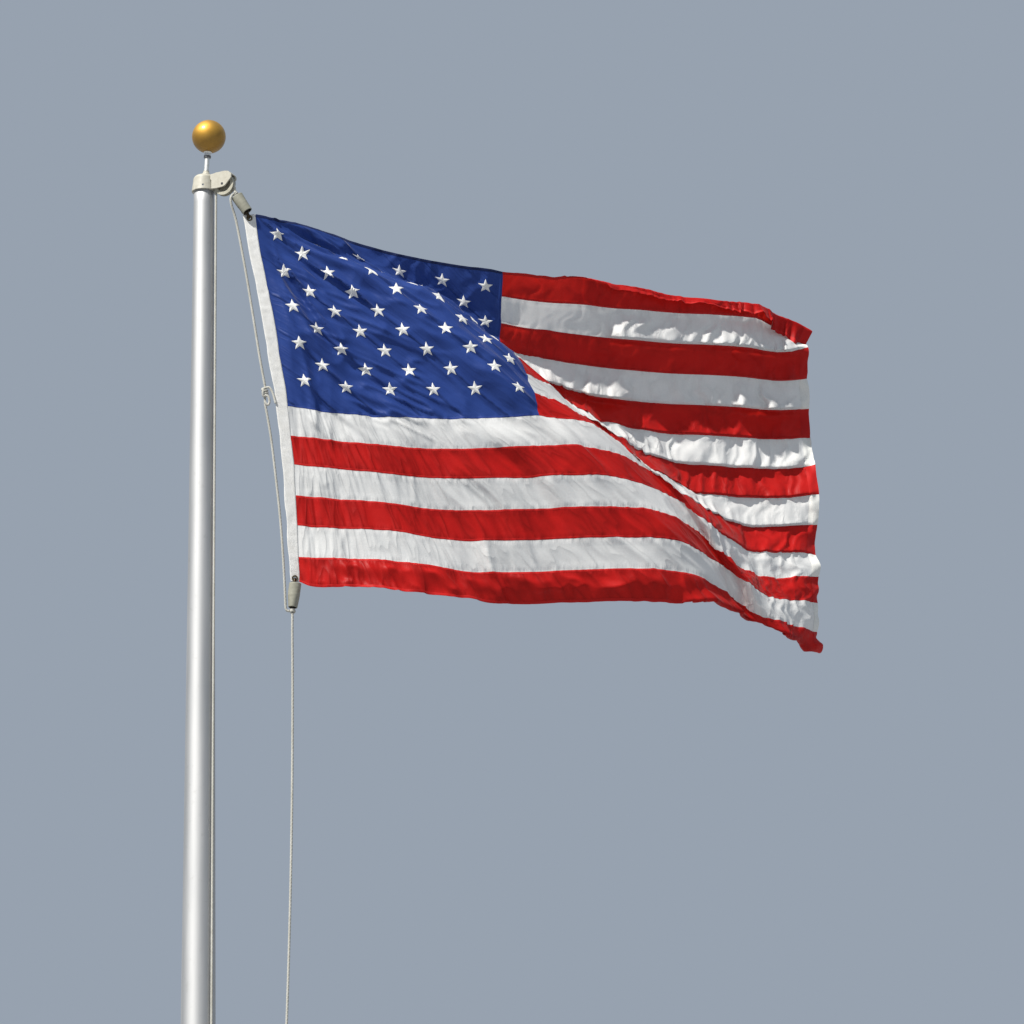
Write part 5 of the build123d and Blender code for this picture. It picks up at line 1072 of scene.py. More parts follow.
    2512, -5, 68725, 2959, 35, 68746, 3406, 44, 68741, 3845, 93, 68713, 4271, 170, 68658, 4699, 259, 68606, 5140, 344, 68569, 5593, 419, 68549, 6048, 485, 68537,
    6504, 544, 68527, 6955, 595, 68523, 7409, 635, 68526, 7864, 667, 68533, 8309, 690, 68548, 8742, 710, 68567, 9175, 734, 68588, 9614, 764, 68613, 10061, 805, 68644,
    10513, 861, 68680, 10963, 941, 68706, 11408, 1060, 68698, 11833, 1230, 68654, 12222, 1468, 68595, 12551, 1785, 68544, 12844, 2136, 68488, 13125, 2495, 68424, 13398, 2856, 68340,
    13664, 3218, 68242, 13935, 3579, 68152, 14214, 3936, 68072, 14496, 4291, 67995, 14777, 4647, 67916, 15063, 5000, 67843, 15353, 5350, 67777, 15646, 5698, 67710, 15943, 6039, 67647,
    16259, 6364, 67604, 16599, 6665, 67585, 16961, 6942, 67578, 17339, 7197, 67573, 17731, 7426, 67578, 18137, 7629, 67604, 18549, 7815, 67637, 18966, 7997, 67666, 19385, 8180, 67693,
    19801, 8366, 67714, 20213, 8553, 67734, 20628, 8739, 67761, 21043, 8922, 67786, 21461, 9095, 67813, 21883, 9253, 67851, 22306, 9387, 67909, 22730, 9496, 67978, 23159, 9587, 68054,
    2580, 24, 68391, 3023, 64, 68407, 3464, 55, 68405, 3896, 90, 68384, 4321, 173, 68314, 4747, 264, 68258, 5183, 356, 68208, 5632, 429, 68191, 6088, 495, 68180,
    6544, 556, 68164, 7001, 611, 68150, 7447, 647, 68157, 7904, 680, 68164, 8363, 708, 68172, 8801, 732, 68184, 9227, 756, 68201, 9663, 786, 68226, 10107, 824, 68256,
    10560, 871, 68297, 11013, 939, 68333, 11463, 1035, 68359, 11901, 1178, 68341, 12316, 1371, 68277, 12651, 1674, 68245, 12955, 2012, 68186, 13268, 2346, 68141, 13568, 2688, 68074,
    13847, 3042, 67979, 14131, 3393, 67900, 14422, 3743, 67832, 14705, 4097, 67757, 14983, 4454, 67675, 15265, 4809, 67598, 15553, 5161, 67530, 15825, 5520, 67442, 16090, 5881, 67348,
    16379, 6229, 67282, 16693, 6557, 67244, 17030, 6865, 67221, 17382, 7154, 67200, 17752, 7418, 67189, 18149, 7646, 67214, 18555, 7850, 67248, 18966, 8046, 67278, 19381, 8240, 67306,
    19795, 8434, 67327, 20208, 8625, 67347, 20629, 8802, 67375, 21050, 8976, 67400, 21476, 9139, 67427, 21907, 9285, 67462, 22338, 9399, 67520, 22772, 9481, 67592, 23215, 9530, 67671,
    2650, 54, 68066, 3081, 94, 68066, 3518, 92, 68049, 3943, 126, 68017, 4361, 193, 67964, 4787, 275, 67909, 5222, 358, 67864, 5668, 433, 67837, 6118, 500, 67819,
    6570, 559, 67803, 7024, 613, 67789, 7478, 655, 67786, 7930, 691, 67789, 8383, 724, 67793, 8829, 753, 67799, 9268, 781, 67813, 9708, 811, 67839, 10151, 846, 67872,
    10599, 892, 67910, 11048, 957, 67945, 11492, 1049, 67977, 11925, 1181, 67985, 12349, 1357, 67964, 12734, 1598, 67941, 13089, 1884, 67915, 13429, 2191, 67883, 13754, 2512, 67830,
    14057, 2849, 67757, 14350, 3194, 67680, 14636, 3546, 67602, 14915, 3902, 67520, 15188, 4261, 67432, 15458, 4622, 67341, 15722, 4986, 67246, 15976, 5354, 67142, 16234, 5720, 67045,
    16510, 6079, 66969, 16808, 6424, 66918, 17122, 6756, 66877, 17451, 7073, 66842, 17802, 7367, 66823, 18177, 7629, 66831, 18572, 7861, 66858, 18975, 8077, 66889, 19384, 8284, 66918,
    19797, 8484, 66939, 20212, 8675, 66959, 20635, 8853, 66987, 21061, 9020, 67012, 21493, 9172, 67040, 21929, 9303, 67079, 22369, 9403, 67136, 22810, 9475, 67207, 23251, 9527, 67280,
    2683, 85, 67743, 3118, 125, 67738, 3558, 147, 67705, 3982, 185, 67660, 4401, 239, 67608, 4824, 303, 67557, 5259, 371, 67515, 5701, 438, 67483, 6148, 502, 67459,
    6597, 561, 67440, 7048, 614, 67425, 7501, 662, 67415, 7952, 703, 67412, 8402, 740, 67412, 8851, 775, 67414, 9296, 808, 67424, 9742, 839, 67450, 10188, 874, 67485,
    10635, 921, 67522, 11080, 988, 67557, 11520, 1084, 67591, 11948, 1217, 67617, 12367, 1390, 67630, 12789, 1574, 67623, 13195, 1790, 67624, 13579, 2046, 67619, 13936, 2335, 67589,
    14264, 2654, 67535, 14563, 2995, 67456, 14846, 3348, 67369, 15121, 3707, 67278, 15388, 4070, 67182, 15644, 4438, 67077, 15889, 4811, 66962, 16127, 5187, 66843, 16375, 5560, 66737,
    16653, 5920, 66665, 16948, 6270, 66612, 17246, 6617, 66558, 17551, 6957, 66503, 17876, 7282, 66466, 18228, 7579, 66457, 18603, 7844, 66468, 18996, 8083, 66499, 19397, 8307, 66528,
    19805, 8519, 66549, 20221, 8716, 66570, 20645, 8894, 66598, 21075, 9056, 66623, 21510, 9202, 66652, 21952, 9323, 66694, 22397, 9415, 66753, 22845, 9483, 66822, 23293, 9534, 66890,
    2708, 116, 67413, 3147, 156, 67437, 3587, 209, 67370, 4014, 252, 67313, 4435, 296, 67253, 4860, 342, 67202, 5296, 390, 67164, 5736, 445, 67129, 6179, 504, 67098,
    6626, 562, 67077, 7074, 618, 67059, 7522, 669, 67044, 7972, 715, 67036, 8422, 757, 67032, 8870, 797, 67032, 9318, 838, 67035, 9769, 870, 67061, 10219, 905, 67097,
    10667, 954, 67134, 11113, 1025, 67169, 11551, 1124, 67204, 11980, 1255, 67244, 12390, 1423, 67294, 12832, 1573, 67286, 13267, 1738, 67303, 13687, 1937, 67322, 14081, 2183, 67313,
    14449, 2465, 67296, 14748, 2808, 67203, 15036, 3160, 67114, 15312, 3519, 67021, 15581, 3884, 66925, 15831, 4256, 66814, 16069, 4634, 66692, 16298, 5014, 66564, 16521, 5397, 66429,
    16819, 5747, 66381, 17118, 6097, 66335, 17405, 6453, 66270, 17687, 6812, 66194, 17981, 7163, 66128, 18314, 7484, 66108, 18655, 7794, 66084, 19036, 8054, 66116, 19428, 8299, 66143,
    19823, 8538, 66158, 20234, 8748, 66180, 20660, 8926, 66209, 21092, 9088, 66236, 21530, 9233, 66264, 21974, 9353, 66306, 22422, 9440, 66377, 22875, 9511, 66441, 23332, 9557, 66500,
    2749, 149, 67066, 3190, 189, 67057, 3615, 242, 67020, 4045, 283, 66960, 4472, 321, 66901, 4902, 360, 66850, 5336, 403, 66810, 5774, 451, 66774, 6215, 505, 66742,
    6658, 565, 66716, 7101, 623, 66693, 7546, 679, 66673, 7993, 729, 66660, 8441, 775, 66654, 8890, 818, 66652, 9341, 859, 66657, 9793, 896, 66679, 10246, 936, 66711,
    10696, 989, 66746, 11143, 1063, 66781, 11584, 1161, 66816, 12019, 1284, 66856, 12453, 1424, 66905, 12890, 1564, 66926, 13326, 1714, 66940, 13751, 1892, 66953, 14157, 2109, 66956,
    14538, 2369, 66940, 14882, 2672, 66895, 15194, 3004, 66825, 15483, 3353, 66742, 15757, 3712, 66650, 16015, 4080, 66546, 16261, 4453, 66433, 16503, 4828, 66317, 16753, 5201, 66212,
    17024, 5565, 66133, 17305, 5924, 66066, 17583, 6284, 65994, 17862, 6643, 65921, 18153, 6995, 65857, 18462, 7334, 65814, 18786, 7660, 65785, 19129, 7967, 65777, 19490, 8254, 65778,
    19866, 8519, 65783, 20262, 8753, 65796, 20677, 8951, 65819, 21104, 9120, 65850, 21540, 9264, 65890, 21981, 9384, 65945, 22426, 9485, 66010, 22873, 9574, 66072, 23310, 9655, 66122,
    2791, 182, 66710, 3226, 222, 66688, 3653, 270, 66654, 4080, 305, 66602, 4509, 338, 66545, 4941, 373, 66496, 5376, 412, 66454, 5813, 457, 66418, 6252, 509, 66386,
    6691, 570, 66357, 7131, 631, 66328, 7571, 691, 66303, 8014, 745, 66285, 8462, 793, 66277, 8912, 838, 66273, 9362, 881, 66277, 9817, 921, 66297, 10271, 965, 66327,
    10723, 1022, 66359, 11172, 1097, 66393, 11617, 1190, 66428, 12058, 1302, 66467, 12497, 1425, 66514, 12934, 1552, 66539, 13371, 1694, 66560, 13800, 1860, 66575, 14215, 2058, 66581,
    14608, 2295, 66574, 14978, 2567, 66550, 15319, 2873, 66505, 15632, 3204, 66442, 15922, 3552, 66363, 16194, 3912, 66272, 16457, 4277, 66176, 16717, 4645, 66079, 16980, 5011, 65989,
    17243, 5378, 65900, 17507, 5745, 65814, 17777, 6109, 65734, 18054, 6469, 65662, 18342, 6822, 65599, 18641, 7168, 65548, 18948, 7508, 65506, 19257, 7847, 65464, 19579, 8173, 65432,
    19923, 8474, 65416, 20297, 8741, 65415, 20696, 8966, 65429, 21118, 9145, 65468, 21550, 9296, 65519, 21987, 9427, 65579, 22423, 9545, 65645, 22856, 9660, 65705, 23285, 9778, 65752,
    2842, 216, 66346, 3260, 256, 66325, 3690, 290, 66285, 4117, 319, 66237, 4545, 350, 66183, 4978, 383, 66137, 5414, 421, 66097, 5851, 466, 66061, 6289, 517, 66029,
    6725, 578, 65997, 7161, 642, 65964, 7597, 704, 65934, 8037, 763, 65908, 8485, 811, 65903, 8934, 858, 65898, 9384, 906, 65894, 9840, 946, 65915, 10296, 993, 65943,
    10750, 1052, 65974, 11200, 1127, 66004, 11648, 1215, 66039, 12092, 1317, 66077, 12533, 1428, 66123, 12974, 1546, 66150, 13411, 1679, 66175, 13843, 1834, 66192, 14263, 2019, 66203,
    14667, 2237, 66201, 15054, 2486, 66190, 15419, 2765, 66164, 15758, 3073, 66122, 16068, 3407, 66058, 16359, 3755, 65983, 16639, 4111, 65903, 16916, 4470, 65823, 17193, 4829, 65748,
    17457, 5196, 65660, 17708, 5568, 65559, 17972, 5935, 65475, 18248, 6297, 65402, 18530, 6654, 65336, 18822, 7005, 65279, 19118, 7354, 65231, 19390, 7717, 65155, 19677, 8072, 65095,
    19990, 8406, 65054, 20342, 8703, 65042, 20719, 8967, 65038, 21136, 9152, 65095, 21562, 9318, 65147, 21991, 9466, 65210, 22415, 9604, 65281, 22836, 9750, 65339, 23257, 9905, 65384,
    2867, 250, 65974, 3295, 290, 65950, 3727, 303, 65914, 4155, 327, 65869, 4584, 356, 65821, 5015, 391, 65777, 5450, 432, 65737, 5886, 480, 65701, 6322, 533, 65667,
    6757, 594, 65634, 7191, 656, 65600, 7627, 718, 65570, 8067, 777, 65545, 8512, 829, 65532, 8959, 877, 65526, 9410, 924, 65526, 9865, 970, 65538, 10321, 1019, 65561,
    10775, 1079, 65589, 11226, 1151, 65618, 11676, 1237, 65650, 12122, 1333, 65687, 12563, 1436, 65731, 13007, 1545, 65761, 13447, 1670, 65786, 13882, 1816, 65807, 14308, 1988, 65822,
    14721, 2188, 65828, 15120, 2418, 65824, 15499, 2678, 65809, 15857, 2966, 65779, 16189, 3280, 65733, 16501, 3613, 65674, 16799, 3958, 65608, 17087, 4310, 65538, 17368, 4667, 65464,
    17637, 5031, 65382, 17897, 5400, 65292, 18159, 5768, 65206, 18427, 6133, 65127, 18700, 6496, 65054, 18975, 6858, 64983, 19243, 7225, 64910, 19503, 7596, 64831, 19772, 7963, 64759,
    20065, 8313, 64706, 20395, 8633, 64680, 20763, 8907, 64686, 21162, 9125, 64731, 21575, 9309, 64789, 21993, 9478, 64853, 22407, 9645, 64918, 22818, 9823, 64973, 23222, 10018, 65013,
    2898, 285, 65604, 3337, 325, 65590, 3766, 318, 65543, 4192, 336, 65499, 4620, 364, 65456, 5050, 403, 65413, 5483, 448, 65375, 5919, 498, 65342, 6354, 554, 65306,
    6788, 614, 65270, 7221, 676, 65236, 7658, 737, 65206, 8097, 796, 65181, 8539, 851, 65163, 8985, 901, 65154, 9436, 948, 65155, 9888, 997, 65161, 10343, 1049, 65179,
    10797, 1107, 65205, 11250, 1177, 65233, 11700, 1261, 65262, 12146, 1353, 65297, 12589, 1448, 65340, 13036, 1549, 65371, 13479, 1667, 65396, 13917, 1805, 65420, 14348, 1964, 65440,
    14769, 2149, 65452, 15176, 2363, 65453, 15567, 2606, 65446, 15939, 2875, 65426, 16290, 3171, 65393, 16620, 3488, 65347, 16933, 3821, 65291, 17232, 4166, 65228, 17518, 4520, 65159,
    17793, 4881, 65083, 18059, 5247, 64999, 18318, 5617, 64912, 18580, 5986, 64828, 18842, 6355, 64747, 19098, 6728, 64663, 19346, 7107, 64577, 19596, 7484, 64494, 19855, 7856, 64419,
    20135, 8216, 64357, 20449, 8550, 64322, 20807, 8835, 64332, 21194, 9072, 64374, 21596, 9275, 64433, 22003, 9465, 64496, 22410, 9656, 64557, 22812, 9860, 64606, 23192, 10092, 64632,
    2938, 321, 65234, 3378, 361, 65238, 3799, 336, 65170, 4223, 351, 65124, 4653, 379, 65089, 5079, 423, 65045, 5512, 471, 65009, 5949, 522, 64981, 6383, 580, 64944,
    6815, 641, 64904, 7249, 703, 64869, 7685, 763, 64840, 8123, 823, 64814, 8563, 881, 64790, 9008, 933, 64780, 9458, 981, 64781, 9906, 1033, 64781, 10361, 1086, 64796,
    10816, 1142, 64823, 11270, 1207, 64849, 11721, 1291, 64873, 12167, 1380, 64907, 12611, 1469, 64948, 13061, 1557, 64981, 13505, 1673, 65006, 13946, 1803, 65031, 14382, 1949, 65054,
    14809, 2119, 65073, 15223, 2320, 65077, 15624, 2546, 65075, 16009, 2797, 65065, 16375, 3075, 65041, 16721, 3377, 65006, 17047, 3698, 64958, 17355, 4035, 64902, 17647, 4385, 64836,
    17925, 4744, 64764, 18194, 5110, 64685, 18443, 5486, 64591, 18695, 5861, 64502, 18952, 6233, 64420, 19191, 6616, 64327, 19423, 7002, 64232, 19666, 7383, 64146, 19926, 7755, 64074,
    20196, 8122, 64005, 20498, 8467, 63961, 20851, 8759, 63977, 21232, 9005, 64021, 21627, 9221, 64081, 22030, 9427, 64142, 22435, 9632, 64202, 22840, 9845, 64248, 23230, 10089, 64249,
    2977, 357, 64862, 3392, 397, 64845, 3819, 363, 64792, 4245, 379, 64748, 4672, 410, 64709, 5100, 453, 64672, 5534, 501, 64639, 5970, 554, 64609, 6404, 612, 64575,
    6837, 671, 64537, 7271, 734, 64499, 7705, 798, 64466, 8141, 861, 64437, 8580, 921, 64414, 9024, 976, 64399, 9470, 1028, 64394, 9919, 1080, 64395, 10374, 1132, 64411,
    10830, 1188, 64435, 11285, 1253, 64461, 11737, 1330, 64484, 12185, 1414, 64517, 12630, 1500, 64557, 13077, 1589, 64590, 13525, 1692, 64616, 13969, 1809, 64641, 14408, 1945, 64664,
    14840, 2103, 64683, 15261, 2287, 64695, 15671, 2496, 64700, 16068, 2729, 64696, 16447, 2989, 64682, 16807, 3274, 64655, 17147, 3583, 64616, 17464, 3912, 64565, 17760, 4259, 64502,
    18035, 4620, 64428, 18293, 4992, 64344, 18535, 5372, 64250, 18773, 5754, 64155, 19011, 6137, 64064, 19247, 6522, 63972, 19480, 6907, 63878, 19721, 7289, 63790, 19975, 7665, 63713,
    20248, 8030, 63649, 20554, 8371, 63616, 20901, 8673, 63627, 21277, 8930, 63669, 21669, 9159, 63728, 22071, 9373, 63792, 22476, 9581, 63855, 22886, 9785, 63906, 23306, 9972, 63937,
    2997, 395, 64483, 3406, 435, 64459, 3836, 393, 64411, 4262, 409, 64370, 4688, 444, 64329, 5116, 487, 64294, 5551, 533, 64266, 5988, 584, 64238, 6424, 641, 64205,
    6857, 700, 64167, 7290, 765, 64129, 7723, 834, 64091, 8155, 901, 64057, 8593, 965, 64034, 9036, 1024, 64017, 9481, 1081, 64007, 9930, 1134, 64008, 10386, 1185, 64026,
    10843, 1240, 64048, 11298, 1303, 64073, 11751, 1375, 64096, 12201, 1454, 64128, 12645, 1537, 64167, 13092, 1624, 64200, 13542, 1717, 64227, 13989, 1822, 64251, 14431, 1946, 64274,
    14867, 2092, 64294, 15295, 2261, 64309, 15712, 2454, 64319, 16119, 2669, 64322, 16510, 2910, 64316, 16884, 3179, 64298, 17235, 3474, 64267, 17562, 3795, 64221, 17861, 4139, 64160,
    18134, 4502, 64086, 18384, 4879, 64000, 18613, 5266, 63902, 18834, 5656, 63799, 19063, 6044, 63705, 19302, 6427, 63616, 19539, 6811, 63523, 19777, 7194, 63433, 20031, 7570, 63355,
    20308, 7933, 63295, 20614, 8276, 63265, 20958, 8581, 63277, 21329, 8849, 63319, 21717, 9084, 63381, 22112, 9302, 63452, 22512, 9514, 63519, 22920, 9719, 63574, 23346, 9887, 63617,
    3002, 432, 64100, 3429, 472, 64086, 3854, 422, 64032, 4278, 437, 63991, 4702, 473, 63949, 5130, 517, 63911, 5569, 559, 63892, 6008, 607, 63868, 6445, 663, 63837,
    6878, 723, 63797, 7311, 789, 63760, 7740, 863, 63719, 8168, 939, 63676, 8606, 1007, 63653, 9047, 1070, 63637, 9490, 1133, 63619, 9941, 1189, 63621, 10398, 1238, 63640,
    10855, 1293, 63661, 11310, 1355, 63685, 11765, 1422, 63708, 12215, 1496, 63738, 12660, 1575, 63777, 13106, 1662, 63810, 13557, 1742, 63837, 14007, 1837, 63861, 14452, 1949, 63884,
    14892, 2083, 63905, 15324, 2239, 63921, 15749, 2417, 63934, 16164, 2614, 63945, 16566, 2838, 63946, 16951, 3091, 63936, 17312, 3374, 63909, 17652, 3683, 63873, 17952, 4026, 63811,
    18227, 4388, 63738, 18480, 4763, 63657, 18703, 5154, 63559, 18902, 5553, 63444, 19133, 5940, 63351, 19388, 6315, 63273, 19628, 6698, 63183, 19856, 7085, 63082, 20119, 7457, 63011,
    20395, 7821, 62952, 20689, 8173, 62911, 21032, 8479, 62934, 21395, 8760, 62969, 21775, 8998, 63042, 22159, 9221, 63117, 22540, 9442, 63189, 22916, 9676, 63242, 23276, 9915, 63294,
    3026, 471, 63723, 3447, 511, 63709, 3872, 444, 63653, 4295, 456, 63613, 4720, 489, 63575, 5151, 530, 63543, 5590, 573, 63520, 6029, 619, 63498, 6468, 672, 63471,
    6903, 731, 63433, 7334, 802, 63393, 7762, 881, 63350, 8191, 962, 63310, 8626, 1038, 63281, 9064, 1108, 63260, 9506, 1174, 63246, 9956, 1234, 63245, 10412, 1288, 63257,
    10868, 1344, 63276, 11324, 1404, 63298, 11778, 1469, 63320, 12229, 1539, 63349, 12674, 1611, 63387, 13122, 1686, 63420, 13573, 1764, 63447, 14024, 1852, 63470, 14472, 1954, 63493,
    14916, 2074, 63516, 15353, 2215, 63536, 15784, 2377, 63553, 16205, 2561, 63565, 16614, 2772, 63570, 17007, 3012, 63564, 17377, 3284, 63543, 17720, 3588, 63507, 18031, 3923, 63453,
    18313, 4279, 63385, 18572, 4650, 63309, 18811, 5033, 63221, 19039, 5420, 63127, 19274, 5804, 63037, 19519, 6181, 62953, 19763, 6559, 62868, 20008, 6938, 62782, 20262, 7311, 62706,
    20528, 7678, 62643, 20814, 8030, 62603, 21134, 8353, 62607, 21482, 8642, 62645, 21844, 8896, 62709, 22208, 9136, 62781, 22565, 9383, 62846, 22905, 9651, 62898, 23219, 9948, 62950,
    3077, 510, 63348, 3467, 550, 63335, 3888, 460, 63274, 4311, 467, 63234, 4738, 497, 63199, 5171, 535, 63170, 5610, 576, 63148, 6052, 619, 63129, 6493, 669, 63107,
    6930, 727, 63072, 7359, 803, 63027, 7786, 888, 62983, 8214, 975, 62942, 8646, 1060, 62909, 9082, 1139, 62885, 9523, 1211, 62869, 9971, 1275, 62866, 10424, 1335, 62875,
    10880, 1392, 62892, 11336, 1453, 62911, 11790, 1518, 62932, 12241, 1584, 62959, 12687, 1647, 62997, 13136, 1711, 63031, 13588, 1786, 63057, 14040, 1869, 63080, 14490, 1963, 63103,
    14937, 2069, 63126, 15380, 2194, 63149, 15815, 2341, 63169, 16241, 2514, 63184, 16657, 2712, 63193, 17056, 2941, 63189, 17434, 3203, 63173, 17784, 3499, 63141, 18102, 3828, 63091,
    18393, 4178, 63028, 18664, 4542, 62957, 18925, 4912, 62885, 19181, 5286, 62810, 19427, 5664, 62729, 19667, 6041, 62643, 19916, 6414, 62562, 20171, 6783, 62490, 20423, 7154, 62416,
    20677, 7523, 62347, 20948, 7881, 62300, 21246, 8216, 62287, 21574, 8518, 62319, 21918, 8789, 62376, 22262, 9049, 62443, 22595, 9324, 62504, 22905, 9626, 62547, 23197, 9950, 62594,
    3107, 550, 62966, 3486, 590, 62964, 3903, 476, 62892, 4325, 475, 62854, 4752, 499, 62821, 5186, 534, 62794, 5628, 570, 62776, 6072, 612, 62758, 6517, 658, 62741,
    6956, 713, 62712, 7381, 796, 62660, 7807, 887, 62614, 8234, 982, 62572, 8665, 1075, 62537, 9099, 1163, 62509, 9537, 1244, 62489, 9983, 1316, 62484, 10436, 1380, 62492,
    10891, 1441, 62508, 11346, 1504, 62523, 11800, 1569, 62544, 12252, 1632, 62570, 12698, 1688, 62607, 13147, 1742, 62644, 13600, 1814, 62668, 14053, 1892, 62690, 14505, 1977, 62713,
    14954, 2072, 62736, 15401, 2179, 62762, 15841, 2316, 62784, 16271, 2477, 62800, 16694, 2660, 62815, 17099, 2878, 62813, 17485, 3129, 62800, 17845, 3414, 62776, 18168, 3738, 62727,
    18465, 4085, 62667, 18744, 4444, 62599, 19024, 4804, 62538, 19303, 5165, 62480, 19564, 5537, 62410, 19790, 5918, 62314, 20039, 6287, 62235, 20316, 6640, 62183, 20571, 7006, 62117,
    20808, 7381, 62037, 21069, 7741, 61987, 21353, 8085, 61963, 21666, 8399, 61987, 21992, 8689, 62039, 22316, 8972, 62101, 22626, 9269, 62161, 22912, 9602, 62186, 23178, 9938, 62235,
    3102, 590, 62577, 3503, 630, 62571, 3916, 488, 62505, 4336, 472, 62471, 4765, 487, 62444, 5201, 518, 62421, 5643, 555, 62402, 6087, 598, 62383, 6530, 649, 62361,
    6967, 706, 62329, 7396, 785, 62287, 7824, 879, 62243, 8252, 980, 62201, 8682, 1082, 62164, 9114, 1181, 62132, 9550, 1271, 62110, 9995, 1352, 62102, 10446, 1424, 62107,
    10900, 1491, 62120, 11354, 1558, 62136, 11809, 1624, 62157, 12261, 1686, 62182, 12708, 1740, 62218, 13155, 1791, 62256, 13609, 1853, 62279, 14063, 1922, 62301, 14516, 1999, 62323,
    14967, 2087, 62347, 15415, 2188, 62371, 15858, 2310, 62393, 16294, 2454, 62412, 16721, 2625, 62427, 17135, 2827, 62432, 17529, 3065, 62424, 17896, 3341, 62403, 18228, 3656, 62361,
    18530, 3998, 62304, 18814, 4354, 62240, 19094, 4714, 62177, 19366, 5080, 62113, 19619, 5452, 62040, 19857, 5828, 61956, 20099, 6199, 61874, 20356, 6560, 61806, 20622, 6917, 61749,
    20891, 7270, 61696, 21167, 7619, 61660, 21455, 7959, 61646, 21756, 8286, 61659, 22060, 8604, 61694, 22358, 8922, 61739, 22642, 9252, 61777, 22917, 9595, 61807, 23188, 9936, 61844,
    3123, 631, 62193, 3516, 671, 62180, 3927, 499, 62115, 4346, 466, 62086, 4774, 470, 62064, 5211, 495, 62046, 5653, 532, 62027, 6096, 577, 62006, 6538, 632, 61981,
    6975, 691, 61947, 7408, 770, 61909, 7838, 865, 61869, 8268, 970, 61830, 8697, 1081, 61790, 9127, 1191, 61754, 9560, 1294, 61727, 10003, 1384, 61718, 10455, 1465, 61722,
    10907, 1541, 61733, 11361, 1613, 61749, 11815, 1682, 61770, 12268, 1745, 61794, 12714, 1798, 61830, 13161, 1845, 61868, 13616, 1898, 61891, 14071, 1959, 61912, 14525, 2028, 61935,
    14978, 2108, 61957, 15427, 2203, 61980, 15872, 2313, 62003, 16312, 2443, 62022, 16743, 2600, 62038, 17163, 2789, 62047, 17565, 3012, 62044, 17941, 3274, 62028, 18282, 3581, 61994,
    18582, 3923, 61937, 18861, 4280, 61871, 19135, 4644, 61805, 19400, 5013, 61739, 19649, 5388, 61665, 19880, 5766, 61581, 20110, 6142, 61495, 20356, 6507, 61419, 20635, 6856, 61370,
    20931, 7194, 61335, 21233, 7526, 61316, 21533, 7858, 61315, 21827, 8196, 61318, 22113, 8537, 61340, 22388, 8883, 61370, 22650, 9242, 61395, 22909, 9603, 61417, 23203, 9937, 61453,
    3166, 672, 61829, 3525, 712, 61793, 3936, 506, 61730, 4352, 458, 61702, 4779, 452, 61683, 5216, 468, 61670, 5658, 501, 61653, 6101, 548, 61629, 6543, 605, 61601,
    6982, 666, 61567, 7416, 748, 61529, 7849, 844, 61493, 8282, 952, 61459, 8710, 1070, 61417, 9138, 1190, 61379, 9567, 1308, 61340, 10012, 1409, 61333, 10463, 1498, 61339,
    10915, 1586, 61345, 11368, 1668, 61362, 11821, 1741, 61384, 12273, 1808, 61407, 12719, 1860, 61443, 13166, 1903, 61481, 13622, 1949, 61504, 14079, 1999, 61524, 14534, 2059, 61546,
    14988, 2131, 61568, 15438, 2221, 61589, 15885, 2318, 61612, 16327, 2436, 61632, 16760, 2583, 61649, 17182, 2761, 61662, 17587, 2976, 61659, 17975, 3222, 61647, 18326, 3518, 61627,
    18611, 3865, 61563, 18884, 4223, 61495, 19153, 4588, 61428, 19415, 4959, 61361, 19664, 5335, 61289, 19883, 5719, 61201, 20102, 6099, 61114, 20335, 6472, 61030, 20635, 6814, 60990,
    20948, 7144, 60964, 21266, 7467, 60956, 21585, 7785, 60973, 21868, 8138, 60959, 22147, 8489, 60976, 22414, 8848, 61002, 22662, 9226, 61016, 22888, 9613, 61026, 23086, 9972, 61092,
    3196, 714, 61484, 3545, 754, 61454, 3944, 527, 61364, 4352, 466, 61325, 4777, 444, 61304, 5214, 446, 61292, 5657, 469, 61277, 6101, 510, 61252, 6543, 568, 61221,
    6983, 632, 61184, 7421, 717, 61148, 7857, 818, 61113, 8290, 930, 61079, 8721, 1052, 61043, 9152, 1178, 61007, 9586, 1301, 60976, 10029, 1416, 60960, 10476, 1522, 60959,
    10924, 1622, 60965, 11375, 1716, 60978, 11826, 1802, 60997, 12277, 1875, 61020, 12723, 1928, 61057, 13171, 1966, 61095, 13629, 2002, 61117, 14087, 2042, 61136, 14544, 2090, 61157,
    14999, 2151, 61179, 15451, 2226, 61200, 15899, 2317, 61222, 16341, 2429, 61242, 16773, 2571, 61260, 17192, 2746, 61272, 17594, 2958, 61269, 17973, 3207, 61256, 18319, 3498, 61237,
    18617, 3826, 61182, 18890, 4177, 61114, 19155, 4541, 61047, 19412, 4914, 60979, 19653, 5294, 60905, 19877, 5678, 60822, 20097, 6060, 60734, 20345, 6430, 60661, 20640, 6778, 60615,
    20955, 7111, 60589, 21275, 7439, 60582, 21584, 7770, 60583, 21878, 8115, 60582, 22166, 8459, 60607, 22440, 8816, 60640, 22681, 9205, 60642, 22910, 9596, 60654, 23138, 9976, 60704,
    3204, 757, 61169, 3561, 797, 61139, 3940, 566, 61014, 4342, 495, 60955, 4767, 451, 60929, 5205, 427, 60918, 5650, 428, 60907, 6097, 459, 60878, 6540, 517, 60841,
    6981, 587, 60802, 7421, 678, 60766, 7860, 784, 60731, 8297, 901, 60699, 8732, 1025, 60668, 9168, 1154, 60638, 9605, 1286, 60609, 10045, 1414, 60589, 10488, 1537, 60582,
    10933, 1653, 60584, 11380, 1763, 60594, 11828, 1864, 60611, 12278, 1948, 60633, 12727, 2001, 60671, 13179, 2033, 60710, 13638, 2059, 60730, 14097, 2085, 60748, 14555, 2119, 60768,
    15012, 2166, 60789, 15465, 2229, 60811, 15913, 2312, 60831, 16354, 2419, 60851, 16784, 2557, 60870, 17199, 2733, 60881, 17593, 2949, 60878, 17962, 3203, 60865, 18305, 3484, 60846,
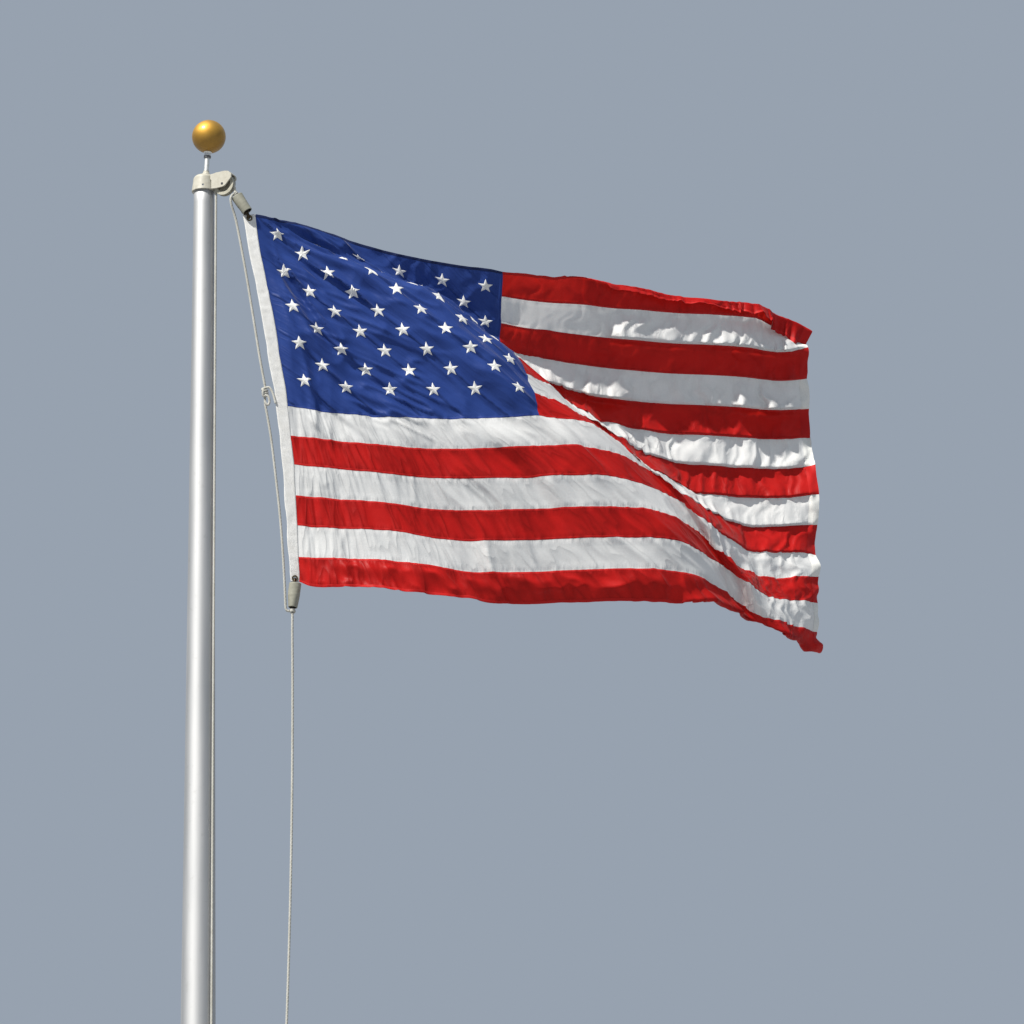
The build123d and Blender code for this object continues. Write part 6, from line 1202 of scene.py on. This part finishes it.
    18611, 3797, 60796, 18885, 4139, 60729, 19149, 4499, 60664, 19402, 4871, 60597, 19642, 5253, 60524, 19872, 5638, 60444, 20102, 6021, 60360, 20360, 6391, 60290, 20649, 6745, 60241,
    20957, 7086, 60211, 21271, 7422, 60200, 21577, 7760, 60196, 21878, 8104, 60203, 22176, 8446, 60233, 22459, 8801, 60265, 22707, 9189, 60266, 22949, 9580, 60280, 23202, 9961, 60318,
    3238, 800, 60878, 3556, 840, 60876, 3911, 644, 60670, 4316, 565, 60589, 4748, 481, 60558, 5191, 412, 60548, 5640, 372, 60549, 6088, 393, 60509, 6531, 455, 60462,
    6974, 534, 60420, 7417, 631, 60385, 7859, 744, 60351, 8301, 866, 60319, 8743, 993, 60293, 9184, 1123, 60271, 9622, 1263, 60243, 10058, 1408, 60216, 10497, 1548, 60203,
    10938, 1682, 60202, 11381, 1810, 60210, 11826, 1930, 60225, 12276, 2028, 60249, 12732, 2083, 60287, 13190, 2104, 60326, 13649, 2117, 60344, 14109, 2129, 60360, 14568, 2145, 60379,
    15025, 2176, 60400, 15479, 2226, 60421, 15927, 2300, 60441, 16367, 2402, 60461, 16796, 2536, 60480, 17207, 2714, 60491, 17592, 2939, 60488, 17951, 3202, 60474, 18296, 3470, 60456,
    18609, 3767, 60409, 18888, 4097, 60347, 19147, 4453, 60281, 19394, 4826, 60215, 19633, 5211, 60145, 19869, 5598, 60069, 20113, 5981, 59991, 20376, 6353, 59921, 20659, 6713, 59866,
    20958, 7062, 59829, 21265, 7406, 59815, 21573, 7749, 59814, 21880, 8092, 59829, 22182, 8440, 59855, 22469, 8799, 59874, 22735, 9175, 59885, 22989, 9558, 59907, 23246, 9940, 59930,
], dtype=float).reshape(NV, NU, 3) * 1e-4


def refine(P, k, axis):
    """Catmull-Rom points between the net's own"""
    P = np.moveaxis(P, axis, 0)
    a = np.concatenate([2 * P[:1] - P[1:2], P, 2 * P[-1:] - P[-2:-1]], 0)
    n = len(P) - 1
    out = []
    for s in range(k):
        t = s / k
        w = (-0.5 * t + t * t - 0.5 * t ** 3, 1 - 2.5 * t * t + 1.5 * t ** 3,
             0.5 * t + 2 * t * t - 1.5 * t ** 3, -0.5 * t * t + 0.5 * t ** 3)
        out.append(sum(w[q] * a[q:q + n] for q in range(4)))
    res = np.stack(out, 1).reshape(-1, *P.shape[1:])
    res = np.concatenate([res, P[-1:]], 0)
    return np.moveaxis(res, 0, axis)


def lattice(shape, seed):
    return np.random.default_rng(seed).uniform(-1, 1, shape)


def vnoise(x, y, seed):
    """smooth value noise on a repeatable lattice"""
    L = lattice((256, 256), seed)
    xi, yi = np.floor(x).astype(int), np.floor(y).astype(int)
    fx, fy = x - xi, y - yi
    fx, fy = fx * fx * fx * (fx * (fx * 6 - 15) + 10), fy * fy * fy * (fy * (fy * 6 - 15) + 10)
    g = lambda a, b: L[a % 256, b % 256]
    return ((1 - fx) * (1 - fy) * g(xi, yi) + fx * (1 - fy) * g(xi + 1, yi)
            + (1 - fx) * fy * g(xi, yi + 1) + fx * fy * g(xi + 1, yi + 1))


def sstep(a, b, x):
    t = np.clip((x - a) / (b - a), 0, 1)
    return t * t * (3 - 2 * t)


base = refine(refine(NET, K, 0), KU, 1)
NVF, NUF = base.shape[:2]
uu = (np.arange(NUF) / KU - 1) * DU
vv = np.arange(NVF) / K * DV
UU, VV = np.meshgrid(uu, vv)


def normals(P):
    n = np.cross(np.gradient(P, axis=0), np.gradient(P, axis=1))
    n /= np.linalg.norm(n, axis=2)[:, :, None]
    return n          # towards the seen side


def ridged(n, sharp=1.5, width=0.62):
    """sharp-crested creases where the noise crosses nought"""
    return np.clip(1 - np.abs(n) / width, 0, 1) ** sharp


def wrinkles(u, v):
    """height of the creases over the flat cloth, in metres; u along the fly, v down the hoist"""
    h = np.zeros_like(u)
    # the far panel, above the fold that runs down from the hoist
    fold_v = np.interp(u, (0.15, 0.363, 0.6, 0.76, 0.966, 1.354, 1.6, 1.9, 2.3), (-0.05, 0.06, 0.16, 0.24, 0.404, 0.865, 1.157, 1.5, 1.9))
    above = sstep(-0.02, 0.10, fold_v - v)
    below = 1 - above
    # straight creases that run from star to star, down towards the fly
    c, r = (u - STAR_U) / STAR_DU + 1, (v - STAR_V) / STAR_DV + 1
    idx = np.round((c - r) / 2.0)
    d = ((c - r) - 2.0 * idx) * 0.057           # metres across the crease
    along = c + r
    d = d + 0.004 * vnoise(along * 0.6, idx * 2.3 + 31.0, 4)
    amp = 0.45 + 0.55 * np.abs(vnoise(along * 0.45, idx * 3.7 + 11.0, 5))
    near = sstep(0.2, 1.4, c) * (1 - sstep(12.2, 15.5, c)) * sstep(0.0, 1.0, r) * (1 - sstep(9.8, 13.0, r)) * below
    h += 0.0100 * amp * near * np.exp(-np.abs(d - 0.003) / 0.0085)
    h -= 0.0064 * amp * near * np.exp(-np.abs(d + 0.016) / 0.0095)
    h += 0.0085 * near * ridged(vnoise((c - r) * 1.5 + 0.4 * vnoise(c * 0.5, r * 0.5, 3), (c + r) * 0.20, 8)) * \
        np.clip(0.4 + vnoise(c * 0.4, r * 0.4, 9), 0, 1)
    h += 0.0120 * near * vnoise((c - r) * 0.8, (c + r) * 0.25, 10)
    thc, rdc = np.arctan2(v + 0.035, u + 0.045), np.hypot(v + 0.035, u + 0.045)
    can = below * (1 - sstep(6.8 * W, 8.2 * W, v)) * (1 - sstep(0.85, 1.05, u))
    fan = np.clip(rdc / 0.35, 0.25, 1.0) * (1 - 0.55 * sstep(0.45, 1.0, rdc))
    h += 0.0215 * can * fan * ridged(vnoise(thc * 8.5 + 0.35 * vnoise(rdc / 0.16, thc * 3, 14), rdc / 0.45, 15), 1.3, 0.75)
    rip = -u * 0.45 + v * 0.89
    h += 0.0115 * can * np.clip(0.15 + 1.2 * vnoise(u / 0.16, v / 0.16, 17), 0, 1) * \
        ridged(vnoise(rip / 0.030, (u * 0.89 + v * 0.45) / 0.13, 18), 1.2, 0.7)
    h += 0.0120 * can * fan * vnoise(thc * 13.0 + 5, rdc / 0.28, 16)
    # a pleat at the top hem that swallows one star
    for pu, pv, pa, pw, pd in ((0.241, 0.073, 22.0, 0.085, 0.012), (0.495, 0.150, 24.0, 0.060, 0.008)):
        ca, sa = math.cos(math.radians(pa)), math.sin(math.radians(pa))
        al, ac = (u - pu) * ca + (v - pv) * sa, -(u - pu) * sa + (v - pv) * ca
        env = np.exp(-(al / pw) ** 2)
        h += env * (0.55 * pd * np.exp(-((ac - 0.017) / 0.009) ** 2) + 0.75 * pd * np.exp(-((ac + 0.016) / 0.010) ** 2)
                    - pd * np.exp(-(ac / 0.007) ** 2))
    # drags that fan out from the top of the hoist through the lower stripes
    th, rad = np.arctan2(v + 0.10, u + 0.06), np.hypot(v + 0.10, u + 0.06)
    low = sstep(6.7 * W, 7.8 * W, v) * below
    tq = th * 19 + 0.5 * vnoise(u / 0.24, v / 0.24, 19)
    g = np.clip(rad / 1.0, 0.5, 1.4) * (1 + 1.1 * np.exp(-((u - 0.80) / 0.28) ** 2 - ((v - 0.92) / 0.30) ** 2))
    pat = np.clip(0.60 + 0.9 * vnoise(th * 5.0, rad / 0.28, 20), 0.15, 1.25)
    h += 0.0150 * low * g * pat * ridged(vnoise(tq, rad / 0.50, 21), 1.3, 0.80)
    h += 0.0070 * low * g * vnoise(tq * 0.6 + 7, rad / 0.5, 22)
    h += 0.0034 * low * g * ridged(vnoise(tq * 2.1 + 3, rad / 0.30, 24), 1.2, 0.8)
    # upright puckers by the heading
    hoist = (1 - sstep(0.06, 0.30, u)) * (0.35 + 0.65 * sstep(5.5 * W, 7.5 * W, v))
    h += 0.0058 * hoist * ridged(vnoise(u / 0.026 + 0.5 * vnoise(v / 0.15, u / 0.2, 30), v / 0.20, 31))
    h += 0.0040 * hoist * vnoise(u / 0.034, v / 0.25, 32)
    # the far panel hangs looser: crumples that gather above each seam
    k = np.floor(v / W)
    tt = v / W - k
    wx = u + 0.030 * vnoise(u / 0.10, v / 0.05, 40)
    h += 0.0078 * above * ridged(vnoise(wx / 0.055 + 0.4 * v / 0.15, v / 0.13, 47), 1.2, 0.8)
    h += 0.0060 * above * vnoise(wx / 0.110, v / 0.20, 46)
    col = np.exp(-((v - 5.5 * W) / (0.62 * W)) ** 4) * sstep(1.2, 1.4, u)
    h += 0.0110 * above * col * ridged(vnoise(wx / 0.042 + 0.5 * vnoise(v / 0.05, wx / 0.08, 58), v / 0.16, 59), 1.1, 0.85)
    h += 0.0016 * above * vnoise(wx / 0.022, v / 0.035, 48)
    # loose cloth at the fly, on both sides of the fold
    fly = sstep(1.75, 2.2, u) * (1 - 0.6 * sstep(9.6 * W, 11.2 * W, v))
    h += 0.0090 * fly * vnoise(wx / 0.085, v / 0.17, 51)
    h += 0.0060 * fly * ridged(vnoise(wx / 0.060, v / 0.13, 53), 1.2, 0.8)
    # the lowest stripe is loose and crumples over its hem
    last = sstep(11.9 * W, 12.4 * W, v) * sstep(0.02, 0.25, u) * (1 - sstep(1.45, 1.7, u))
    lip = HOIST - np.interp(u, (0, 1.48, 1.56, 1.65, 1.906, 2.392), (0, 0, 0.018, 0.040, 0.060, 0.052))
    # its lower part turns under towards the fold, and past the fold its edge flares out
    saw = np.abs(u / 0.115 + 0.35 * vnoise(u / 0.14, 0 * u, 64) - np.round(u / 0.115 + 0.35 * vnoise(u / 0.14, 0 * u, 64)))
    du_ = np.clip(v - (lip - 0.060 + 0.030 * saw - 0.008 * vnoise(u / 0.05, 0 * u, 62)), 0, None)
    band = sstep(0.62, 0.95, u) * (1 - sstep(1.44, 1.53, u))
    calm = 1 - 0.80 * band * sstep(0.0, 0.018, du_)
    h += 0.0120 * last * calm * ridged(vnoise(u / 0.050 - v / 0.075, v / 0.07, 56), 1.2, 0.8)
    h += 0.0085 * last * calm * vnoise(u / 0.085 - v / 0.12, v / 0.06, 57)
    h -= 0.62 * du_ * band
    do_ = np.clip(v - (lip - 0.050), 0, 0.052)
    h += 0.62 * do_ * sstep(1.50, 1.60, u) * (1 - sstep(2.12, 2.26, u))
    h -= 0.55 * np.clip(v - (HOIST - 0.105), 0, 0.1) * sstep(2.20, 2.30, u)
    # puckers along the seams
    ks = np.round(v / W)
    dist = np.abs(v - ks * W)
    on = (ks > 0) & (ks < 13) & ((u > CANTON) | (ks >= 7))
    h += np.where(on, 0.0026 * np.exp(-(dist / 0.013) ** 2) * vnoise(u / 0.012, ks * 5.3, 61), 0)
    h -= np.where(on, 0.0012 * np.exp(-(dist / 0.007) ** 2), 0)
    edge = np.exp(-(np.minimum(v, 13 * W - v) / 0.016) ** 2) + np.exp(-((FLY - u) / 0.024) ** 2)
    h += 0.0024 * np.clip(edge, 0, 1) * vnoise((u + v) / 0.019, 0.5 + 0 * u, 67)
    return h * sstep(0.0, 0.05, u)


def billow(u, v):
    """how far the loose far panel stands out towards the viewer, in metres: it fills and gathers above each seam"""
    fold_v = np.interp(u, (0.15, 0.363, 0.6, 0.76, 0.966, 1.354, 1.6, 1.9, 2.3), (-0.05, 0.06, 0.16, 0.24, 0.404, 0.865, 1.157, 1.5, 1.9))
    free = sstep(0.0, 0.13, fold_v - v)
    k = np.floor(v / W)
    tt = v / W - k
    wx = u + 0.030 * vnoise(u / 0.10, v / 0.05, 40)
    # by stripe: from, to, amount
    win, win_up = np.zeros_like(u), np.zeros_like(u)
    for kk, a0, a1, g0 in ((0, 1.00, 2.30, 0.45), (1, 1.44, 2.37, 2.75), (1, 0.96, 1.10, 1.6), (2, 1.00, 1.70, 0.8),
                           (2, 1.98, 2.37, 1.0), (3, 0.94, 1.64, 4.2), (3, 1.5, 2.2, 0.8), (3, 2.00, 2.37, 3.0), (4, 1.06, 2.36, 1.15),
                           (5, 1.15, 2.37, 1.20), (6, 1.35, 2.37, 1.20), (7, 1.55, 2.37, 1.2), (8, 1.75, 2.37, 0.95)):
        span = g0 * sstep(a0, a0 + 0.10, u) * (1 - sstep(a1 - 0.06, a1 + 0.02, u))
        win = np.maximum(win, np.where(k == kk, span, 0))
        win_up = np.maximum(win_up, np.where(k == kk + 1, span, 0))
    start = np.array([0.50, 0.12, 0.46, 0.06, 0.28, 0.02, 0.03, 0.03, 0.05] + [0.3] * 8)[np.clip(k, 0, 16).astype(int)]
    s0 = start + (0.14 * vnoise(wx / 0.050, k * 2.9, 45) + 0.07 * vnoise(wx / 0.020, k * 1.3, 50)) * np.clip(start * 3, 0.25, 1)

    def gather(kq):
        even = 1 - 0.45 * (kq >= 4)
        return np.clip(0.85 + even * (0.42 * vnoise(wx / 0.055, kq * 3.1 + 0.5, 42) + 0.20 * vnoise(wx / 0.024, kq * 1.7, 44)), 0.1, 1.4)

    x = np.clip((tt - s0) / (0.94 - s0), 0, 1)
    shape = (0.75 * x + 0.25 * np.sin(0.5 * math.pi * x)) * (1 - 0.62 * sstep(0.94, 1.0, tt))
    out = 0.0250 * win * gather(k) * shape
    out += 0.0250 * 0.38 * win_up * gather(k - 1) * (1 - sstep(0.0, 0.22, tt))
    v0 = np.interp(u, (0.9, 1.40, 1.75), (3.0, 3.1, 4.5)) * W
    broad = 0.31 * np.clip(v - v0, 0, 9.3 * W - v0) * sstep(0.92, 1.12, u) * sstep(0.0, 0.30, fold_v - v)
    return free * out + broad


def roll(G, c_of_u, top, toward, rho, opens=(9.0, 9.1)):
    """turn the edge of the cloth over; c_of_u is how much of it, in metres. It is a curl, and a flat flap past opens"""
    G = G.copy()
    N = normals(G)
    c = np.interp(uu, *c_of_u)
    for j in range(NUF):
        if c[j] < 0.003:
            continue
        rj = rho * (1 + 0.22 * float(vnoise(np.array([uu[j] / 0.09]), np.array([0.5]), 81)[0]))
        rj = min(rj, c[j] / 1.3)
        flat = float(sstep(opens[0], opens[1], np.array(uu[j])))
        reach = float(np.interp(uu[j], (1.22, 1.45, 1.90, 2.05, 2.20, 2.392), (0.004, 0.013, 0.019, 0.030, 0.050, 0.082)))
        lean = 0.62 + 0.40 * float(vnoise(np.array([uu[j] / 0.028]), np.array([0.5]), 82)[0])
        e0 = c[j] + rj
        v0 = e0 if top else HOIST - e0
        f = v0 / DV * K
        i = int(f)
        a = f - i
        P0 = G[i, j] * (1 - a) + G[i + 1, j] * a
        N0 = N[i, j] * toward
        T = (G[i - 1, j] - G[i + 1, j]) if top else (G[i + 2, j] - G[i, j])
        T = T / np.linalg.norm(T)
        N0 = N0 - T * (N0 @ T)
        N0 /= np.linalg.norm(N0)
        rows = range(0, i + 1) if top else range(i + 1, NVF)
        for q in rows:
            e = abs(q / K * DV - v0)
            ph = e / rj
            rr = rj * (1 - 0.13 * max(0.0, ph - math.pi) / math.pi)
            curl = P0 + N0 * rj + T * (rr * math.sin(ph)) - N0 * (rr * math.cos(ph))
            if ph < math.pi:
                flap = curl
            else:
                s = reach * (e - math.pi * rj) / max(e0 - math.pi * rj, 1e-4)
                flap = P0 + N0 * (2 * rj + lean * s) - T * s
            G[q, j] = curl * (1 - flat) + flap * flat
    return G


n0 = normals(base)
sight = np.array([1.1398, -16.5, 1.6]) - base
sight /= np.linalg.norm(sight, axis=-1)[:, :, None]
cloth = base + n0 * wrinkles(UU, VV)[:, :, None] + sight * billow(UU, VV)[:, :, None]
# the top of the fly end curls towards the viewer, and the bottom of it away
cloth = roll(cloth, ((0.966, 1.208, 1.350, 1.453, 1.605, 1.717, 1.891, 2.065, 2.213, 2.319, 2.392),
                     (0, 0, 0.008, 0.018, 0.034, 0.050, 0.060, 0.062, 0.064, 0.064, 0.062)), True, 1, 0.0080, (1.22, 1.36))
cloth = roll(cloth, ((0, 1.480, 1.560, 1.652, 1.906, 2.109, 2.249, 2.285, 2.320, 2.392), (0, 0, 0.018, 0.040, 0.060, 0.058, 0.058, 0.050, 0.022, 0.014)),
             False, -1, 0.010)
corner = sstep(2.27, 2.392, UU) * sstep(HOIST - 0.10, HOIST - 0.03, VV)
cloth[:, :, 0] += 0.046 * corner
cloth[:, :, 2] += 0.026 * corner
flap = sstep(2.20, 2.392, UU) * (1 - sstep(0.05, 0.11, VV))
cloth[:, :, 0] += 0.026 * flap
cloth[:, :, 2] += 0.008 * flap
CN = normals(cloth)


def on_cloth(u, v, off=0.0):
    """point on the finished cloth, off metres out from its seen side"""
    u, v = np.asarray(u, float), np.asarray(v, float)
    fu = np.clip((u / DU + 1) * KU, 0, NUF - 1 - 1e-9)
    fv = np.clip(v / DV * K, 0, NVF - 1 - 1e-9)
    j, i = np.floor(fu).astype(int), np.floor(fv).astype(int)
    a, b = (fu - j)[..., None], (fv - i)[..., None]
    mixg = lambda G: (1 - a) * (1 - b) * G[i, j] + a * (1 - b) * G[i, j + 1] + (1 - a) * b * G[i + 1, j] + a * b * G[i + 1, j + 1]
    nn = mixg(CN)
    nn /= np.linalg.norm(nn, axis=-1)[..., None]
    return mixg(cloth) + nn * np.asarray(off)[..., None] if np.ndim(off) else mixg(cloth) + nn * off


def flat_uv(u, v):
    return np.stack([(np.asarray(u) + 0.06) / 2.6, (1.56 - np.asarray(v)) / 2.6], -1)


# cloth: one face for each square of the grid, red, white or blue
j0 = KU                                  # the cloth starts where the heading's band ends
cu, cvv = UU[:, j0 - 1:], VV[:, j0 - 1:]
V = cloth[:, j0 - 1:].reshape(-1, 3)
F = grid_faces(NVF, NUF - j0 + 1)
fi, fj = np.meshgrid(np.arange(NVF - 1), np.arange(NUF - j0), indexing="ij")
stripe = (fi // (3 * K)).ravel()
fu_mid = uu[j0 - 1:][fj.ravel()] + 0.5 * DU / KU
is_blue = (fu_mid < CANTON) & (stripe < 7)
fm = np.where(is_blue, 2, np.where(stripe % 2 == 0, 0, 1))
flag = make_obj("flag", V, F, uv=flat_uv(cu, cvv).reshape(-1, 2), mats=[NY_RED, NY_WHITE, NY_BLUE], face_mats=fm)
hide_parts("flag_cloth")
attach(flag, "root")


def strip(u0, u1, v0, v1, across_v, off, n_along, n_across, edge_drop=0.0004, side=1):
    """a narrow band lying on the cloth; returns verts, faces, uvs (U along it in mm, V across it)"""
    if across_v:
        a = np.linspace(u0, u1, n_along)
        c = np.linspace(v0, v1, n_across)
        A, C = np.meshgrid(a, c)
        uu_, vv_ = A, C
        lu, lv = A * 1000, (C - v0) * 1000
    else:
        a = np.linspace(v0, v1, n_along)
        c = np.linspace(u0, u1, n_across)
        A, C = np.meshgrid(a, c)
        uu_, vv_ = C, A
        lu, lv = A * 1000, (C - u0) * 1000
    prof = np.full(n_across, off)
    prof[0] = prof[-1] = off - edge_drop
    O = np.repeat(prof[:, None], n_along, 1) * side
    P = on_cloth(uu_, vv_, O)
    return P.reshape(-1, 3), grid_faces(n_across, n_along), np.stack([lu, lv], -1).reshape(-1, 2) / 2600.0


class Pile:
    def __init__(self):
        self.v, self.f, self.t, self.n, self.m = [], [], [], 0, []

    def add(self, v, f, t, m=0):
        self.v.append(np.asarray(v))
        self.f.append(np.asarray(f) + self.n)
        self.t.append(np.asarray(t))
        self.m += [m] * len(f)
        self.n += len(v)

    def make(self, name, mats):
        f = np.concatenate(self.f).tolist()
        return make_obj(name, np.concatenate(self.v), f, uv=np.concatenate(self.t), mats=mats, face_mats=self.m)


SEAM_W = 0.0085
S_RED = m_stitched("seam_red", (0.46, 0.0085, 0.0075), (2.0, 6.5))
S_WHITE = m_stitched("seam_white", (0.78, 0.78, 0.77), (2.0, 6.5))
S_BLUE = m_stitched("seam_blue", (0.02, 0.047, 0.22), (2.0, 6.5))
H_RED = m_stitched("hem_red", (0.46, 0.0085, 0.0075), (2.5, 9.0, 24.0, 30.0, 36.0))
# painted shade: the canton's top hem is much darker than the cloth's blue, standing in for the shade along the top edge
H_BLUE_SHADE = m_stitched("hem_blue_shade", (0.009, 0.018, 0.075), (2.5, 9.0))
H_WHITE = m_stitched("hem_white", (0.76, 0.755, 0.72), (2.5, 9.0, 24.0, 30.0, 36.0))
seams = Pile()
for side in (1, -1):
    for k in range(1, 13):
        u_start = CANTON if k < 7 else 0.0
        n = int((FLY - u_start) / (DU / KU)) + 1
        v_mid = k * W
        mi = (0 if (k - 1) % 2 == 0 else 1)
        if k == 7:
            # under the canton the tape is blue
            n1 = int(CANTON / (DU / KU)) + 1
            seams.add(*strip(0.0, CANTON, v_mid - SEAM_W, v_mid, True, 0.0007, n1, 4, side=side), m=2)
            n2 = int((FLY - CANTON) / (DU / KU)) + 1
            seams.add(*strip(CANTON, FLY, v_mid - SEAM_W, v_mid, True, 0.0007, n2, 4, side=side), m=0)
        else:
            lo, hi = (v_mid - SEAM_W, v_mid) if mi == 0 else (v_mid, v_mid + SEAM_W)
            seams.add(*strip(u_start, FLY, lo, hi, True, 0.0007, n, 4, side=side), m=0)
    # canton's own edge
    seams.add(*strip(CANTON - SEAM_W, CANTON, 0.0, 7 * W, False, 0.0008, 7 * 3 * K + 1, 4, side=side), m=2)
seam_ob = seams.make("flag_seams", [S_RED, S_WHITE, S_BLUE])
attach(seam_ob, "root")

hems = Pile()
for side in (1, -1):
    for k in range(13):
        mi = 0 if k % 2 == 0 else 1
        hems.add(*strip(FLY - 0.040, FLY + 0.0, k * W, (k + 1) * W, False, 0.0010, 3 * K + 1, 6, side=side), m=mi)
    hems.add(*strip(CANTON, FLY, 0.0, 0.011, True, 0.0010, int((FLY - CANTON) / (DU / KU)) + 1, 4, side=side), m=0)
    hems.add(*strip(0.0, CANTON, 0.0, 0.011, True, 0.0010, int(CANTON / (DU / KU)) + 1, 4, side=side), m=2)
    hems.add(*strip(0.0, FLY, 13 * W - 0.011, 13 * W, True, 0.0010, int(FLY / (DU / KU)) + 1, 4, side=side), m=0)
hem_ob = hems.make("flag_hems", [H_RED, H_WHITE, H_BLUE_SHADE])
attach(hem_ob, "root")

# fifty embroidered stars, worked through so that both sides show them
STAR_R = 0.0300
stars = Pile()
RINGS = [0.0, 0.25, 0.5, 0.75, 0.93, 1.0]
# stars that a pleat has gathered in: its direction, and what shows along and across it
PLEATED = {(1, 3): (22.0, 0.55, 0.07), (2, 6): (26.0, 0.6, 0.12), (1, 5): (30.0, 1.0, 0.45)}
for row in range(1, 10):
    for colm in range(1, 12):
        if (row + colm) % 2:
            continue
        cu0, cv0 = STAR_U + STAR_DU * (colm - 1), STAR_V + STAR_DV * (row - 1)
        outline = []
        for q in range(10):
            a0 = math.pi / 2 + q * math.pi / 5
            a1 = a0 + math.pi / 5
            ra = STAR_R * (1.0 if q % 2 == 0 else 0.40)
            rb = STAR_R * (1.0 if q % 2 == 1 else 0.40)
            p0 = np.array([ra * math.cos(a0), -ra * math.sin(a0)])
            p1 = np.array([rb * math.cos(a1), -rb * math.sin(a1)])
            for s in range(4):
                outline.append((p0 + (p1 - p0) * s / 4, (1 - s / 4) if q % 2 == 0 else s / 4))
        O = np.array([o[0] for o in outline])
        if (row, colm) in PLEATED:
            ang, keep_al, keep_ac = PLEATED[(row, colm)]
            ca, sa = math.cos(math.radians(ang)), math.sin(math.radians(ang))
            al, ac = O[:, 0] * ca + O[:, 1] * sa, -O[:, 0] * sa + O[:, 1] * ca
            al, ac = al * keep_al, ac * keep_ac
            O = np.stack([al * ca - ac * sa, al * sa + ac * ca], -1)
        tip = np.array([o[1] for o in outline])
        n = len(O)
        for side in (1, -1):
            V = []
            for t in RINGS:
                uu_, vv_ = cu0 + O[:, 0] * t, cv0 + O[:, 1] * t
                ridge = 0.0006 + 0.0012 * (1 - t) ** 0.8 * 1.0 + 0.0006 * tip * (1 - abs(2 * t - 1))
                if t == 1.0:
                    ridge = np.full(n, 0.0002)
                if np.ndim(ridge) == 0:
                    ridge = np.full(n, ridge)
                V.append(on_cloth(uu_, vv_, ridge * side))
            V = np.concatenate(V)
            i, j = np.meshgrid(np.arange(len(RINGS) - 1), np.arange(n), indexing="ij")
            j2 = (j + 1) % n
            Fc = np.stack([i * n + j, i * n + j2, (i + 1) * n + j2, (i + 1) * n + j], -1).reshape(-1, 4)
            stars.add(V, Fc, flat_uv(np.zeros(len(V)) + cu0, np.zeros(len(V)) + cv0))
star_ob = stars.make("flag_stars", [M_THREAD])
bm = bmesh.new()
bm.from_mesh(star_ob.data)
bmesh.ops.remove_doubles(bm, verts=bm.verts, dist=1e-6)
bm.to_mesh(star_ob.data)
bm.free()
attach(star_ob, "root")

# canvas heading: a folded band, closed at its edges, with holes for the grommets
HK = 2
h_net = refine(refine(NET[:, :2], K * HK, 0), K * HK, 1)
hb = cloth[:, :K + 1]
nh_v, nh_u = h_net.shape[:2]
hu = np.linspace(-DU, 0.0, nh_u)
hv = np.linspace(0.0, HOIST, nh_v)
HU, HV = np.meshgrid(hu, hv)
hn = np.cross(np.gradient(h_net, axis=0), np.gradient(h_net, axis=1))
hn /= np.linalg.norm(hn, axis=2)[:, :, None]
hw = 0.0007 * vnoise(HV / 0.05, HU / 0.05, 71) + 0.0004 * vnoise(HV / 0.017, HU / 0.02, 73)
mid = h_net + hn * hw[:, :, None]
across = (HU + DU) / DU
half = 0.00135 + 0.0007 * np.exp(-((across - 1.0) / 0.10) ** 2)
half *= np.sqrt(np.clip(1 - (np.abs(2 * across - 1)) ** 14, 0.05, 1))
fr, bk = mid + hn * half[:, :, None], mid - hn * half[:, :, None]
G_AT = [(0.17221, -0.03072, 7.46563), (0.33854, 0.08022, 6.10032)]
keep = []
Fg = grid_faces(nh_v, nh_u)
cen = mid.reshape(-1, 3)[Fg].mean(1)
holes = np.zeros(len(Fg), bool)
for g in G_AT:
    holes |= np.linalg.norm(cen - np.array(g), axis=1) < 0.0074
nn_ = nh_v * nh_u
front_f = Fg[~holes]
back_f = Fg[~holes][:, ::-1] + nn_
edges = {}
for f in front_f:
    for a, b in zip(f, np.roll(f, -1)):
        edges[(a, b)] = edges.get((a, b), 0) + 1
rim = [(a, b) for (a, b) in edges if (b, a) not in edges]
side_f = [(b, a, a + nn_, b + nn_) for a, b in rim]
head = make_obj("heading_band", np.vstack([fr.reshape(-1, 3), bk.reshape(-1, 3)]),
                front_f.tolist() + back_f.tolist() + side_f,
                uv=np.vstack([flat_uv(HU, HV).reshape(-1, 2)] * 2), mats=[M["canvas"]])
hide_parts("flag_heading")
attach(head, "root")

# ---------------------------------------------------------------------------
# light, floor
# ---------------------------------------------------------------------------
fl = make_obj("floor", [(-60, -60, 0), (60, -60, 0), (60, 60, 0), (-60, 60, 0)], [(0, 1, 2, 3)], smooth=False)
fm_, nt, b = new_mat("floor_pale")
vec = coords(nt)
nz = noise(nt, vec, 3.0, 4.0)
nt.links.new(ramp(nt, nz, [(0.3, (0.255, 0.26, 0.265)), (0.7, (0.28, 0.285, 0.29))]), b.inputs["Base Color"])
setp(b, rough=0.9)
fl.data.materials.append(fm_)

world = bpy.data.worlds.new("studio")
scene.world = world
world.use_nodes = True
bg = world.node_tree.nodes["Background"]
bg.inputs["Color"].default_value = (0.31, 0.36, 0.43, 1)
bg.inputs["Strength"].default_value = 1.0


def sun(name, direction, strength, angle, color=(1, 1, 1)):
    d = bpy.data.lights.new(name, "SUN")
    d.energy = strength
    d.angle = math.radians(angle)
    d.color = color
    o = bpy.data.objects.new(name, d)
    o.rotation_euler = Vector(direction).to_track_quat("Z", "Y").to_euler()
    scene.collection.objects.link(o)
    return o


sun("key", (-0.46, -0.45, 0.765), 6.4, 2.0, (1.0, 0.97, 0.915))
